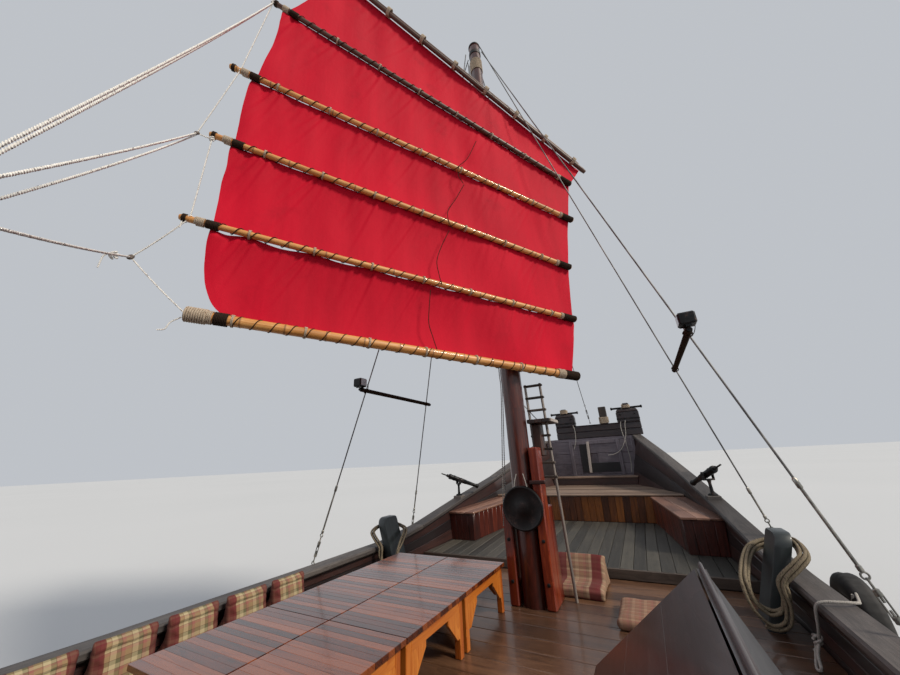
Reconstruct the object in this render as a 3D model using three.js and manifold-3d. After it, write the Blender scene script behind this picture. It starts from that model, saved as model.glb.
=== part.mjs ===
// A two-masted wooden junk, about 17 m long, in millimetres.
// +X runs forward, +Y to port, +Z up. The origin lies amidships, on the
// centreline, at the waterline.

import * as THREE from 'three';
import { mergeVertices } from 'three/addons/utils/BufferGeometryUtils.js';
import Module from 'manifold-3d';

const wasm = await Module();
wasm.setup();

// Driving dimensions

const GAP = 0.3;                 // between timbers that touch
const PORT = 1;
const STARBOARD = -1;

const BULWARK_THICK = 80;
const RAIL_WIDTH = 200;
const RAIL_THICK = 60;

const STERN_X = -8400;
const POOP_FRONT_X = -4600;
const FOREDECK_X = 3400;
const PLATFORM_X = 5700;
const BOW_X = 8080;
const BOW_PLATE_THICK = 110;

const MAIN_DECK_Z = 1050;
const POOP_DECK_Z = 1750;
const PLATFORM_Z = 1685;
const BOW_STEP_X = 7750;
const BOW_STEP_Z = 1870;

// The hull's stations, from stern to bow. Columns: x, height of the deck edge,
// half-beam and height of the bulwark's top, height of the bottom, how flat
// the bottom is across, and how far the side leans out for each unit of rise.
const STATIONS = [
  [STERN_X, 1700, 1500, 2720, 150, 0.55, 0.13],
  [-7300, 1700, 1690, 2450, -260, 0.40, 0.11],
  [-6000, 1700, 1850, 2200, -720, 0.24, 0.09],
  [POOP_FRONT_X - 20, 1700, 1952, 1960, -980, 0.14, 0.07],
  [POOP_FRONT_X, 1000, 1953, 1957, -980, 0.14, 0.07],
  [-3200, 1000, 2040, 1590, -1060, 0.12, 0.06],
  [-1750, 1000, 2080, 1370, -1090, 0.12, 0.06],
  [0, 1000, 2090, 1340, -1100, 0.12, 0.06],
  [1500, 1000, 2090, 1340, -1100, 0.12, 0.06],
  [2700, 1000, 2080, 1350, -1100, 0.13, 0.07],
  [FOREDECK_X, 1010, 2015, 1450, -1080, 0.15, 0.08],
  [4500, 1070, 1880, 1700, -1000, 0.20, 0.10],
  [PLATFORM_X, 1150, 1725, 1950, -760, 0.32, 0.13],
  [6700, 1190, 1485, 2270, -330, 0.48, 0.16],
  [7500, 1220, 1260, 2540, 200, 0.62, 0.18],
  [BOW_X, 1240, 1140, 2690, 850, 0.80, 0.19],
].map(([x, deckZ, railHalf, railZ, keelZ, flat, flare]) => (
  { x, deckZ, railHalf, railZ, keelZ, flat, flare }));

const MAST = { x: 2420, foot: MAIN_DECK_Z, head: 9250, footRadius: 116, headRadius: 92 };
const MIZZEN = { x: -6900, foot: POOP_DECK_Z, head: 7300, footRadius: 95, headRadius: 60 };

// Finishes: colour, roughness, metalness
const finish = (colour, roughness, metalness = 0) => (
  new THREE.MeshStandardMaterial({ color: colour, roughness, metalness }));
const DARK_TIMBER = finish(0x3a2a22, 0.6);
const HULL_PAINT = finish(0x33211b, 0.55);
const DECK_TEAK = finish(0x6d4a31, 0.65);
const GREY_TEAK = finish(0x6b6157, 0.8);
const RED_VARNISH = finish(0x5a2014, 0.3);
const ORANGE_VARNISH = finish(0x9a5a22, 0.35);
const WEATHERED = finish(0x57504b, 0.8);
const BLACK_IRON = finish(0x17181a, 0.5, 0.6);
const STEEL_WIRE = finish(0x7d8184, 0.4, 0.9);
const BRONZE = finish(0x8a6a3a, 0.4, 0.8);
const SAIL_RED = finish(0xb5121e, 0.8);
const BAMBOO = finish(0xb07a3e, 0.5);
const SPAR_DARK = finish(0x4a2718, 0.5);
const PLAID = finish(0x8a4a44, 0.9);
const ROPE = finish(0xb9a888, 0.9);
const RUBBER = finish(0x141414, 0.85);

const junk = new THREE.Group();

// Solids

// Turns inside-out geometry the right way round, by the sign of its volume.
function facingOut(geometry) {
  const p = geometry.attributes.position;
  const index = geometry.index.array;
  const [a, b, c] = [new THREE.Vector3(), new THREE.Vector3(), new THREE.Vector3()];
  let volume = 0;
  for (let i = 0; i < index.length; i += 3) {
    a.fromBufferAttribute(p, index[i]);
    b.fromBufferAttribute(p, index[i + 1]);
    c.fromBufferAttribute(p, index[i + 2]);
    volume += a.dot(b.cross(c));
  }
  if (volume < 0) {
    for (let i = 0; i < index.length; i += 3) {
      [index[i + 1], index[i + 2]] = [index[i + 2], index[i + 1]];
    }
  }
  return geometry;
}

function bare(geometry) {
  const copy = geometry.clone();
  for (const name of Object.keys(copy.attributes)) {
    if (name !== 'position') copy.deleteAttribute(name);
  }
  return facingOut(mergeVertices(copy, 1e-3));
}

function toSolid(geometry) {
  const mesh = bare(geometry);
  return new wasm.Manifold(new wasm.Mesh({
    numProp: 3,
    vertProperties: new Float32Array(mesh.attributes.position.array),
    triVerts: new Uint32Array(mesh.index.array),
  }));
}

function toGeometry(solid) {
  const mesh = solid.getMesh();
  const geometry = new THREE.BufferGeometry();
  geometry.setAttribute('position', new THREE.BufferAttribute(mesh.vertProperties.slice(), 3));
  geometry.setIndex(new THREE.BufferAttribute(mesh.triVerts.slice(), 1));
  return geometry;
}

const join = (...parts) => toGeometry(
  parts.map(toSolid).reduce((whole, part) => whole.add(part)));

const cut = (body, ...tools) => toGeometry(
  tools.map(toSolid).reduce((rest, tool) => rest.subtract(tool), toSolid(body)));

function box(x0, x1, y0, y1, z0, z1) {
  return new THREE.BoxGeometry(x1 - x0, y1 - y0, z1 - z0)
    .translate((x0 + x1) / 2, (y0 + y1) / 2, (z0 + z1) / 2);
}

// A round bar from one point to another, which may taper.
function bar(from, to, radius, sides = 8, endRadius = radius) {
  const start = new THREE.Vector3(...from);
  const run = new THREE.Vector3(...to).sub(start);
  const turn = new THREE.Quaternion().setFromUnitVectors(
    new THREE.Vector3(0, 1, 0), run.clone().normalize());
  return new THREE.CylinderGeometry(endRadius, radius, run.length(), sides)
    .applyQuaternion(turn)
    .translate(...start.addScaledVector(run, 0.5).toArray());
}

// A body through a row of sections, each a ring of the same number of points.
function loft(sections) {
  const ring = sections[0].length;
  const position = sections.flat(2);
  const index = [];
  for (let s = 0; s + 1 < sections.length; s += 1) {
    for (let k = 0; k < ring; k += 1) {
      const a = s * ring + k;
      const b = s * ring + ((k + 1) % ring);
      index.push(a, b, b + ring, a, b + ring, a + ring);
    }
  }
  const last = (sections.length - 1) * ring;
  for (let k = 1; k + 1 < ring; k += 1) {
    index.push(0, k + 1, k, last, last + k, last + k + 1);
  }
  const geometry = new THREE.BufferGeometry();
  geometry.setAttribute('position', new THREE.Float32BufferAttribute(position, 3));
  geometry.setIndex(index);
  return facingOut(geometry);
}

// A flat board: an outline in two axes, as thick as its depth along the third.
function board(outline, axis, from, depth) {
  const shape = new THREE.Shape(outline.map(([u, v]) => new THREE.Vector2(u, v)));
  const geometry = new THREE.ExtrudeGeometry(shape, { depth, bevelEnabled: false });
  const basis = {
    x: [0, 1, 0, 0, 0, 1, 1, 0, 0],
    y: [1, 0, 0, 0, 0, 1, 0, 1, 0],
    z: [1, 0, 0, 0, 1, 0, 0, 0, 1],
  }[axis];
  const [ux, uy, uz, vx, vy, vz, wx, wy, wz] = basis;
  const place = new THREE.Matrix4().set(
    ux, vx, wx, wx * from, uy, vy, wy, wy * from, uz, vz, wz, wz * from, 0, 0, 0, 1);
  return bare(geometry.applyMatrix4(place));
}

function add(name, geometry, material, group = junk) {
  const mesh = new THREE.Mesh(geometry, material);
  mesh.name = name;
  group.add(mesh);
  return mesh;
}

// The hull's form between its stations

function stationAt(x) {
  const after = STATIONS.findIndex((s) => s.x >= x);
  const b = STATIONS[after];
  if (after === 0 || b.x === x) return { ...b };
  const a = STATIONS[after - 1];
  const t = (x - a.x) / (b.x - a.x);
  return Object.fromEntries(Object.keys(a).map((key) => [key, a[key] + (b[key] - a[key]) * t]));
}

// Half-beam of the hull's side at height z: flat in the middle, then a round
// bilge that fills out to a side which leans outwards all the way up.
function halfAt(s, z) {
  const height = (z - s.keelZ) / (s.railZ - s.keelZ);
  const fullness = (1 - (1 - height) ** 3.4) ** 0.8;
  return s.railHalf * (s.flat + (1 - s.flat) * fullness) - s.flare * (s.railZ - z);
}

// Half-beam of the bulwark's inner face at height z. The bulwark is straight
// between the deck edge and its top.
function innerHalf(x, z) {
  const s = stationAt(x);
  const foot = halfAt(s, s.deckZ);
  const rise = (z - s.deckZ) / (s.railZ - s.deckZ);
  return foot + (s.railHalf - foot) * rise - BULWARK_THICK;
}

const between = (x0, x1) => [
  x0, ...STATIONS.map((s) => s.x).filter((x) => x > x0 && x < x1), x1];

const SIDE_STEPS = 7;

// One cross-section, from the port deck edge round the bottom to starboard
function hullSection(s) {
  const side = [];
  for (let k = 0; k <= SIDE_STEPS; k += 1) {
    const z = s.keelZ + (s.deckZ - s.keelZ) * (k / SIDE_STEPS) ** 1.5;
    side.push([halfAt(s, z), z]);
  }
  const port = [...side].reverse().map(([y, z]) => [s.x, y, z]);
  return [...port, ...side.map(([y, z]) => [s.x, -y, z])];
}

const KEEL = { half: 70, bottom: -1230, aft: -7000, fore: 5200 };
const SHAFT = { z: -760, radius: 45, x: -7000 };

function hull() {
  const shell = loft(STATIONS.map(hullSection));
  const keel = board([
    [KEEL.aft, KEEL.bottom], [KEEL.fore, KEEL.bottom], [KEEL.fore + 1400, -350],
    [KEEL.fore, -800], [KEEL.aft, -300]], 'y', -KEEL.half, 2 * KEEL.half);
  const tube = bar([SHAFT.x - 160, 0, SHAFT.z], [SHAFT.x + 900, 0, SHAFT.z], 75, 12);
  add('hull', join(shell, keel, tube), HULL_PAINT);
}

function bulwark(side) {
  return loft(between(STERN_X, BOW_X).map((x) => {
    const s = stationAt(x);
    const foot = halfAt(s, s.deckZ);
    const [low, high] = [s.deckZ + GAP, s.railZ];
    return [
      [x, side * foot, low], [x, side * s.railHalf, high],
      [x, side * (s.railHalf - BULWARK_THICK), high], [x, side * (foot - BULWARK_THICK), low]];
  }));
}

const bulwarkPort = bulwark(PORT);
const bulwarkStarboard = bulwark(STARBOARD);

// Trims a piece that runs a little way into the bulwarks so that it meets them.
// The bulwarks are lowered a little first, so that no two faces lie in one plane.
const BITE = 30;
const LOWERED = -4;
const INWARD = 1.5;
const trimmed = (geometry) => cut(
  geometry,
  bulwarkPort.clone().translate(0, -INWARD, LOWERED),
  bulwarkStarboard.clone().translate(0, INWARD, LOWERED));

// The cap rail, with the timber head that leans against it by the stays and the
// level pad that carries a swivel gun.
const TIMBER_HEAD = {
  x: 2680, length: 280, thick: 106, low: MAIN_DECK_Z + GAP, top: 1705, foot: 1770, lean: 0.36,
};
const GUN_PAD = { x: 4480, half: 75, above: 30 };

// A board that stands on the deck and leans outwards against the cap rail
function timberHead(side) {
  const { x, length, thick, low, top, foot, lean } = TIMBER_HEAD;
  const outline = [[low, -thick / 2], [low, thick / 2], [top, thick / 2], [top, -thick / 2]]
    .map(([z, out]) => [side * (foot + (z - low) * lean + out), z]);
  return board(outline, 'x', x - length / 2, length);
}

function rail(side, name) {
  const sections = between(STERN_X, BOW_X - 4).map((x) => {
    const s = stationAt(x);
    const middle = side * (s.railHalf - BULWARK_THICK / 2);
    const [low, high] = [s.railZ + GAP, s.railZ + RAIL_THICK];
    return [
      [x, middle + RAIL_WIDTH / 2, low], [x, middle + RAIL_WIDTH / 2, high],
      [x, middle - RAIL_WIDTH / 2, high], [x, middle - RAIL_WIDTH / 2, low]];
  });
  const head = timberHead(side);
  const gunRail = stationAt(GUN_PAD.x);
  const gunY = side * (gunRail.railHalf - BULWARK_THICK / 2);
  const pad = box(
    GUN_PAD.x - GUN_PAD.half, GUN_PAD.x + GUN_PAD.half, gunY - GUN_PAD.half, gunY + GUN_PAD.half,
    gunRail.railZ + RAIL_THICK / 2, gunRail.railZ + RAIL_THICK + GUN_PAD.above);
  add(name, join(loft(sections), head, pad), DARK_TIMBER);
}

// Decks and the raised floor at the bow

function slab(x0, x1, bottom, top) {
  return loft(between(x0, x1).map((x) => {
    const [low, high] = [bottom(x), top(x)];
    const [wide, wider] = [innerHalf(x, low) + BITE, innerHalf(x, high) + BITE];
    return [[x, wide, low], [x, wider, high], [x, -wider, high], [x, -wide, low]];
  }));
}

function decks() {
  const onHull = (x) => stationAt(x).deckZ + GAP;
  const foreTop = (x) => 1150 + 100 * (x - FOREDECK_X) / (PLATFORM_X - FOREDECK_X);
  add('deck_main', trimmed(slab(
    POOP_FRONT_X + 2 * GAP, FOREDECK_X - GAP, onHull, () => MAIN_DECK_Z)), DECK_TEAK);
  add('deck_fore', trimmed(slab(FOREDECK_X, PLATFORM_X - GAP, onHull, foreTop)), GREY_TEAK);
  add('deck_poop', trimmed(slab(
    STERN_X + 85, POOP_FRONT_X - 20, onHull, () => POOP_DECK_Z)), DECK_TEAK);
  const low = slab(PLATFORM_X, BOW_X - GAP, onHull, () => PLATFORM_Z);
  const step = slab(BOW_STEP_X, BOW_X - GAP, () => PLATFORM_Z - 60, () => BOW_STEP_Z);
  add('platform_fore', trimmed(join(low, step)), ORANGE_VARNISH);
}

// Bow and stern boards

const BOW_BEAM = { high: 3060 };
const BITT = {
  port: 490, starboard: -1000, half: 250, thick: 150, shoulder: 3370, knob: 75, top: 3510,
  bar: 340, barZ: 3400, barRadius: 24,
};

function bowBoards() {
  const s = stationAt(BOW_X);
  const [bottom, deck] = [halfAt(s, s.keelZ), halfAt(s, s.deckZ)];
  const outline = [
    [-bottom, s.keelZ], [bottom, s.keelZ], [deck, s.deckZ],
    [s.railHalf, s.railZ + RAIL_THICK], [-s.railHalf, s.railZ + RAIL_THICK], [-deck, s.deckZ]];
  const plate = board(outline, 'x', BOW_X + GAP, BOW_PLATE_THICK);
  const hatch = box(BOW_X - 50, BOW_X + 60, -160, 240, 1900, 2380);
  add('bow_board', cut(plate, hatch), WEATHERED);

  const [x0, x1] = [BOW_X + GAP - 20, BOW_X + BOW_PLATE_THICK + 40];
  const low = s.railZ + RAIL_THICK + GAP;
  const { half, thick, shoulder, knob, top, bar: reach, barZ, barRadius } = BITT;
  const parts = [box(x0, x1, BITT.starboard - half, BITT.port + half, low, BOW_BEAM.high)];
  for (const y of [BITT.port, BITT.starboard]) {
    parts.push(box(x0 + 20, x0 + 20 + thick, y - half, y + half, 2800, shoulder));
    parts.push(box(x0 + 20, x0 + 20 + thick, y - knob, y + knob, shoulder - 10, top));
    parts.push(bar([x0 + 95, y - reach, barZ], [x0 + 95, y + reach, barZ], barRadius));
  }
  add('bow_bitts', join(...parts), DARK_TIMBER);
}

function sternBoards() {
  const s = stationAt(STERN_X);
  const lowHalf = innerHalf(STERN_X, s.deckZ + GAP) + BITE;
  const highHalf = innerHalf(STERN_X, s.railZ) + BITE;
  const x = STERN_X + 5;
  const thick = 75;
  const [low, high] = [s.deckZ + GAP, stationAt(x + thick).railZ - 6];
  const outline = [[-lowHalf, low], [lowHalf, low], [highHalf, high], [-highHalf, high]];
  const notch = box(x - 10, x + 90, -270, 270, 2080, s.railZ + 10);
  const plate = board(outline, 'x', x, thick);
  add('stern_board', trimmed(cut(plate, notch)), DARK_TIMBER);
}

// Masts, with the iron bands that the stays are shackled to

function masts() {
  const main = join(
    bar([MAST.x, 0, MAST.foot + GAP], [MAST.x, 0, MAST.head], MAST.footRadius, 20, MAST.headRadius),
    bar([MAST.x, 0, MAST.head - 230], [MAST.x, 0, MAST.head - 150], 118, 20),
    bar([MAST.x, 0, MAST.head - 20], [MAST.x, 0, MAST.head + 40], 115, 20));
  add('mast_main', main, RED_VARNISH);
  const mizzen = join(
    bar([MIZZEN.x, 0, MIZZEN.foot + GAP], [MIZZEN.x, 0, MIZZEN.head],
      MIZZEN.footRadius, 16, MIZZEN.headRadius),
    bar([MIZZEN.x, 0, MIZZEN.head - 20], [MIZZEN.x, 0, MIZZEN.head + 40], 75, 16));
  add('mast_mizzen', mizzen, RED_VARNISH);
}

// Two posts at the foot of the mast, joined by a step. The starboard one goes on
// up, narrower, to carry the ladder's shelf.
const TABERNACLE = { post: 90, height: 830, tall: 1400, gap: 12 };

function tabernacle() {
  const inner = MAST.footRadius + TABERNACLE.gap;
  const outer = inner + TABERNACLE.post;
  const [x0, x1] = [MAST.x - 110, MAST.x + 230];
  const z = MAIN_DECK_Z;
  add('mast_partners', join(
    box(x0, x1, inner, outer, z + GAP, z + TABERNACLE.height),
    box(x0, x1, -outer, -inner, z + GAP, z + TABERNACLE.height),
    box(x0, MAST.x + 70, -outer, -inner, z + GAP, z + TABERNACLE.tall),
    box(MAST.x + MAST.footRadius + 20, x1, -outer, outer, z + GAP, z + 160)), ORANGE_VARNISH);
}

const GONG = { x: 2302, y: -13, z: 1885, radius: 205, thick: 40 };

function gong() {
  const { x, y, z, radius, thick } = GONG;
  add('gong', bar([x - thick, y, z], [x, y, z], radius, 28), BLACK_IRON);
}

// The short ladder beside the mast, under the boom's sweep, with its shelf and
// the halyard winch below it. Its foot stands further out than its top.
const LADDER = {
  x: 2600, y0: -275, y1: -100, low: 2080, high: 3160, rungs: 8, radius: 15, lean: 0.03,
};
const SHELF = { x0: 2400, x1: 2750, y0: -370, y1: -125, z: 2740, thick: 40 };

function ladder() {
  const { x, y0, y1, low, high, rungs, radius, lean } = LADDER;
  const out = (z) => (z - high) * lean;
  const parts = [[y0, MAIN_DECK_Z + 1], [y1, low]].map(
    ([y, z]) => bar([x, y + out(z), z], [x, y, high], radius));
  for (let k = 0; k < rungs; k += 1) {
    const z = low + 70 + k * (high - low - 90) / (rungs - 1);
    parts.push(box(x - 22, x + 22, y0 + out(z) - 25, y1 + out(z) + 15, z - 12, z + 12));
  }
  parts.push(box(SHELF.x0, SHELF.x1, SHELF.y0, SHELF.y1, SHELF.z - SHELF.thick, SHELF.z));
  parts.push(box(x - 90, x + 60, -235, -135, SHELF.z - 380, SHELF.z - 10));
  add('mast_ladder', join(...parts), DARK_TIMBER);
}

// The main stays, two a side: where each has its foot and its head along the boat

const STAY = {
  radius: 8, y: 2185, z: 1350, topY: 130, top: 9060, spreaderZ: 3225,
  feet: [[1650, MAST.x], [3500, MAST.x - 100]],
};
const CHANNEL = { half: 170, clear: 4, outer: 2215, low: 1190, high: 1235 };

function stays(side, name) {
  const { y } = STAY;
  const { half, clear, outer, low: under, high: upper } = CHANNEL;
  const parts = [];
  const held = [];
  for (const [x, topX] of STAY.feet) {
    const low = [x, y, STAY.z];
    const high = [topX, STAY.topY, STAY.top];
    parts.push(bar(low, high, STAY.radius));
    const inner = Math.ceil(halfAt(stationAt(x - half), upper)) + clear;
    parts.push(box(x - half, x + half, inner, outer, under, upper));
    parts.push(box(x - 30, x + 30, y - 10, y + 10, STAY.z - 130, STAY.z + 25));
    const t = (STAY.spreaderZ - STAY.z) / (STAY.top - STAY.z);
    held.push(low.map((v, k) => v + (high[k] - v) * t));
  }
  const [a, b] = held;
  parts.push(bar([a[0] - 120, a[1], a[2]], [b[0] + 120, b[1], b[2]], 20));
  parts.push(box(a[0] - 170, a[0] - 50, a[1] - 60, a[1] + 60, a[2] + 15, a[2] + 130));
  add(name, facingOut(join(...parts).scale(1, side, 1)), STEEL_WIRE);
}

function forestay() {
  const low = [BOW_X + 60, -120, BOW_BEAM.high + 12];
  add('forestay', bar(low, [MAST.x + STAY.topY, 0, STAY.top], STAY.radius), STEEL_WIRE);
}

// Sails: each lies in its own upright plane, beside its mast. Along the sail,
// u runs aft from the mast. Columns of a spar: name, u and z at the luff,
// u and z at the leech, radius.
const MAIN_SAIL = {
  mast: MAST,
  swing: 141.5,
  clothY: 165,
  clothThick: 8,
  spars: [
    ['boom', -815, 3240, 3130, 3550, 45],
    ['batten_1', -957, 4010, 3340, 4450, 34],
    ['batten_2', -1048, 4810, 3290, 5460, 34],
    ['batten_3', -1275, 5680, 3280, 6480, 34],
    ['batten_4', -1400, 6420, 3030, 7860, 34],
    ['yard', -1765, 6820, 3000, 9500, 55],
  ],
  cloth: [[-770, 3250], [2833, 3497], [3043, 3789], [3090, 4362], [3121, 5332],
    [3083, 6417], [2828, 7979], [2760, 9365], [-1700, 6857], [-1400, 6423],
    [-1236, 5669], [-1049, 4811], [-957, 4008]],
};

const MIZZEN_SAIL = {
  mast: MIZZEN,
  swing: 172,
  clothY: 108,
  clothThick: 8,
  spars: [
    ['boom', -430, 3900, 1900, 4060, 30],
    ['batten_1', -510, 4520, 1960, 4780, 22],
    ['batten_2', -620, 5110, 1900, 5560, 22],
    ['yard', -820, 5600, 1700, 7150, 36],
  ],
  cloth: [[-400, 3910], [1780, 4055], [1850, 4780], [1790, 5545], [1600, 7080],
    [-780, 5630], [-610, 5110], [-500, 4520]],
};

function sailGroup(sail) {
  const group = new THREE.Group();
  group.position.set(sail.mast.x, 0, 0);
  group.rotation.z = THREE.MathUtils.degToRad(sail.swing);
  junk.add(group);
  return group;
}

function sparBar(sail, [, u0, z0, u1, z1, radius]) {
  const y = sail.clothY + sail.clothThick / 2 + GAP + radius;
  return bar([u0, y, z0], [u1, y, z1], radius, 10);
}

const clothBoard = (sail) => board(
  sail.cloth, 'y', sail.clothY - sail.clothThick / 2, sail.clothThick);

function mainSail() {
  const group = sailGroup(MAIN_SAIL);
  add('sail_cloth', clothBoard(MAIN_SAIL), SAIL_RED, group);
  for (const spar of MAIN_SAIL.spars) {
    const material = spar[0] === 'yard' ? SPAR_DARK : BAMBOO;
    add(`sail_${spar[0]}`, sparBar(MAIN_SAIL, spar), material, group);
  }
}

function mizzenSail() {
  const group = sailGroup(MIZZEN_SAIL);
  add('mizzen_cloth', clothBoard(MIZZEN_SAIL), SAIL_RED, group);
  for (const spar of MIZZEN_SAIL.spars) {
    const material = spar[0] === 'yard' ? SPAR_DARK : BAMBOO;
    add(`mizzen_${spar[0]}`, sparBar(MIZZEN_SAIL, spar), material, group);
  }
}

// The deckhouse: four walls, a cambered roof and a door

const HOUSE = {
  x0: -4500, x1: -1750, half: 1380, wall: 60, top: 2930, roofTop: 3060, eaveX: 300, eaveY: 130,
};
const DOOR = { y0: -350, y1: 350, top: 2760, clear: 6, thick: 45, lift: 60 };

function house() {
  const { x0, x1, half, wall, top } = HOUSE;
  const floor = MAIN_DECK_Z + GAP;
  const sill = 1900;
  const head = 2620;
  const frontWindows = [[560, 1180], [-1180, -560]].map(
    ([y0, y1]) => box(x1 - wall - 10, x1 + 10, y0, y1, sill, head));
  const doorway = box(x1 - wall - 10, x1 + 10, DOOR.y0 - DOOR.clear, DOOR.y1 + DOOR.clear,
    floor + DOOR.lift, DOOR.top + DOOR.clear);
  add('house_front', cut(box(x1 - wall, x1, -half, half, floor, top), doorway, ...frontWindows),
    RED_VARNISH);
  const aftWindow = box(x0 - 10, x0 + wall + 10, -700, 700, 2100, head);
  add('house_back', cut(box(x0, x0 + wall, -half, half, floor, top), aftWindow), RED_VARNISH);
  for (const [side, name] of [[PORT, 'house_port'], [STARBOARD, 'house_starboard']]) {
    const [y0, y1] = side === PORT ? [half - wall, half] : [-half, wall - half];
    const windows = [-4050, -3200, -2350].map(
      (x) => box(x - 50, x + 600, y0 - 10, y1 + 10, sill, head));
    const panel = box(x0 + wall + GAP, x1 - wall - GAP, y0, y1, floor, top);
    add(name, cut(panel, ...windows), RED_VARNISH);
  }
  const camber = [];
  for (let k = 0; k <= 8; k += 1) {
    const y = -(half + HOUSE.eaveY) + k * (half + HOUSE.eaveY) / 4;
    camber.push([y, HOUSE.roofTop - 90 * (y / half) ** 2]);
  }
  const under = [[half + HOUSE.eaveY, top + GAP], [-half - HOUSE.eaveY, top + GAP]];
  add('house_roof', board([...under, ...camber], 'x', x0 - 150, x1 + HOUSE.eaveX - x0 + 150),
    DARK_TIMBER);
  add('house_door', box(
    x1 - DOOR.thick - 8, x1 - 8, DOOR.y0, DOOR.y1, floor + DOOR.lift + DOOR.clear, DOOR.top),
  ORANGE_VARNISH);
}

// Benches along the bow's sides and the tables on the main deck

function bench(side, name) {
  const top = (x) => 1150 + 100 * (x - FOREDECK_X) / (PLATFORM_X - FOREDECK_X) + 400;
  const [x0, x1] = [4100, PLATFORM_X - GAP];
  const sections = [x0, 4500, x1].map((x) => {
    const inner = 1410 - 290 * (x - x0) / (x1 - x0);
    const low = top(x) - 400 + GAP;
    return [
      [x, side * inner, low], [x, side * inner, top(x)],
      [x, side * (innerHalf(x, top(x)) + BITE), top(x)],
      [x, side * (innerHalf(x, low) + BITE), low]];
  });
  add(name, trimmed(loft(sections)), RED_VARNISH);
}

const TABLE = {
  top: 1430, thick: 30, apron: 70, leg: 50, inset: 25,
  joints: [-170, 630, 1380, 2200],
  rows: [['table_row_port', 820, 1430], ['table_row_starboard', 200, 812]],
};

function tables() {
  for (const [name, y0, y1] of TABLE.rows) {
    const parts = [];
    const low = MAIN_DECK_Z + GAP;
    parts.push(box(
      TABLE.joints[0], TABLE.joints.at(-1), y0, y1, TABLE.top - TABLE.thick, TABLE.top));
    for (let k = 0; k + 1 < TABLE.joints.length; k += 1) {
      const [x0, x1] = [TABLE.joints[k] + TABLE.inset, TABLE.joints[k + 1] - TABLE.inset];
      const [ya, yb] = [y0 + TABLE.inset, y1 - TABLE.inset];
      const under = TABLE.top - TABLE.thick;
      const apron = cut(
        box(x0, x1, ya, yb, under - TABLE.apron, under + 1),
        box(x0 + 25, x1 - 25, ya + 25, yb - 25, under - TABLE.apron - 5, under - 1));
      parts.push(apron);
      for (const x of [x0, x1 - TABLE.leg]) {
        for (const y of [ya, yb - TABLE.leg]) {
          parts.push(box(x, x + TABLE.leg, y, y + TABLE.leg, low, under));
        }
      }
    }
    add(name, join(...parts), RED_VARNISH);
  }
}

// The gabled hatch over the engine room: a coaming and two lids on the ridge

const HATCH = {
  x0: -750, x1: 930, y: -1310, ridge: 1835, eave: 1350, lid: 35, seat: 1700, foot: 20, cap: 14,
  hinge: 28,
};
// How far out each lid's lower edge lies: the starboard one is the steep one.
const LID_REACH = { port: 560, starboard: 240 };

function hatch() {
  const { x0, x1, y, ridge, eave, lid, seat, foot, cap, hinge } = HATCH;
  const { port, starboard } = LID_REACH;
  const long = x1 - x0;
  const steepness = (reach) => (ridge - eave) / reach;
  const deep = (reach, thick) => thick * Math.hypot(1, steepness(reach));
  const under = (reach, out) => ridge - out * steepness(reach) - deep(reach, lid + 1.5);
  const shoulder = (reach) => (under(reach, 0) - seat) / steepness(reach);
  const frame = board([
    [y - starboard + 40, MAIN_DECK_Z + GAP], [y + port - 40, MAIN_DECK_Z + GAP],
    [y + port - 40, under(port, port - 40)], [y + shoulder(port), seat],
    [y - shoulder(starboard), seat], [y - starboard + 40, under(starboard, starboard - 40)]],
  'x', x0 + 30, long - 60);
  const inside = box(
    x0 + 70, x1 - 70, y - starboard + 80, y + port - 80, MAIN_DECK_Z + 60, ridge);
  add('hatch_coaming', cut(frame, inside), DARK_TIMBER);
  add('hatch_ridge', board([
    [y - foot, seat + GAP], [y + foot, seat + GAP], [y + foot, ridge - 25],
    [y + cap, ridge - 15], [y + cap - 6, ridge + 4], [y, ridge + 8], [y - cap + 6, ridge + 4],
    [y - cap, ridge - 15], [y - foot, ridge - 25]], 'x', x0, long), WEATHERED);
  for (const [side, name, reach] of [
    [PORT, 'hatch_lid_port', port], [STARBOARD, 'hatch_lid_starboard', starboard]]) {
    const slope = Math.atan(steepness(reach));
    const top = ridge - hinge * steepness(reach);
    const outline = [
      [hinge, top], [reach, eave],
      [reach - lid * Math.sin(slope), eave - lid * Math.cos(slope)],
      [hinge, top - deep(reach, lid)]];
    add(name, board(outline.map(([out, z]) => [y + side * out, z]), 'x', x0, long), DARK_TIMBER);
  }
}

// Swivel guns: a yoke that turns in the rail and a barrel that tips in it

const GUN = { post: 260, radius: 45, tip: 20, trunnion: 14, ear: 14 };
// Columns: side, name, how far the muzzle is turned from straight ahead
const GUNS = [[PORT, 'port', -40], [STARBOARD, 'starboard', 25]];

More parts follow.
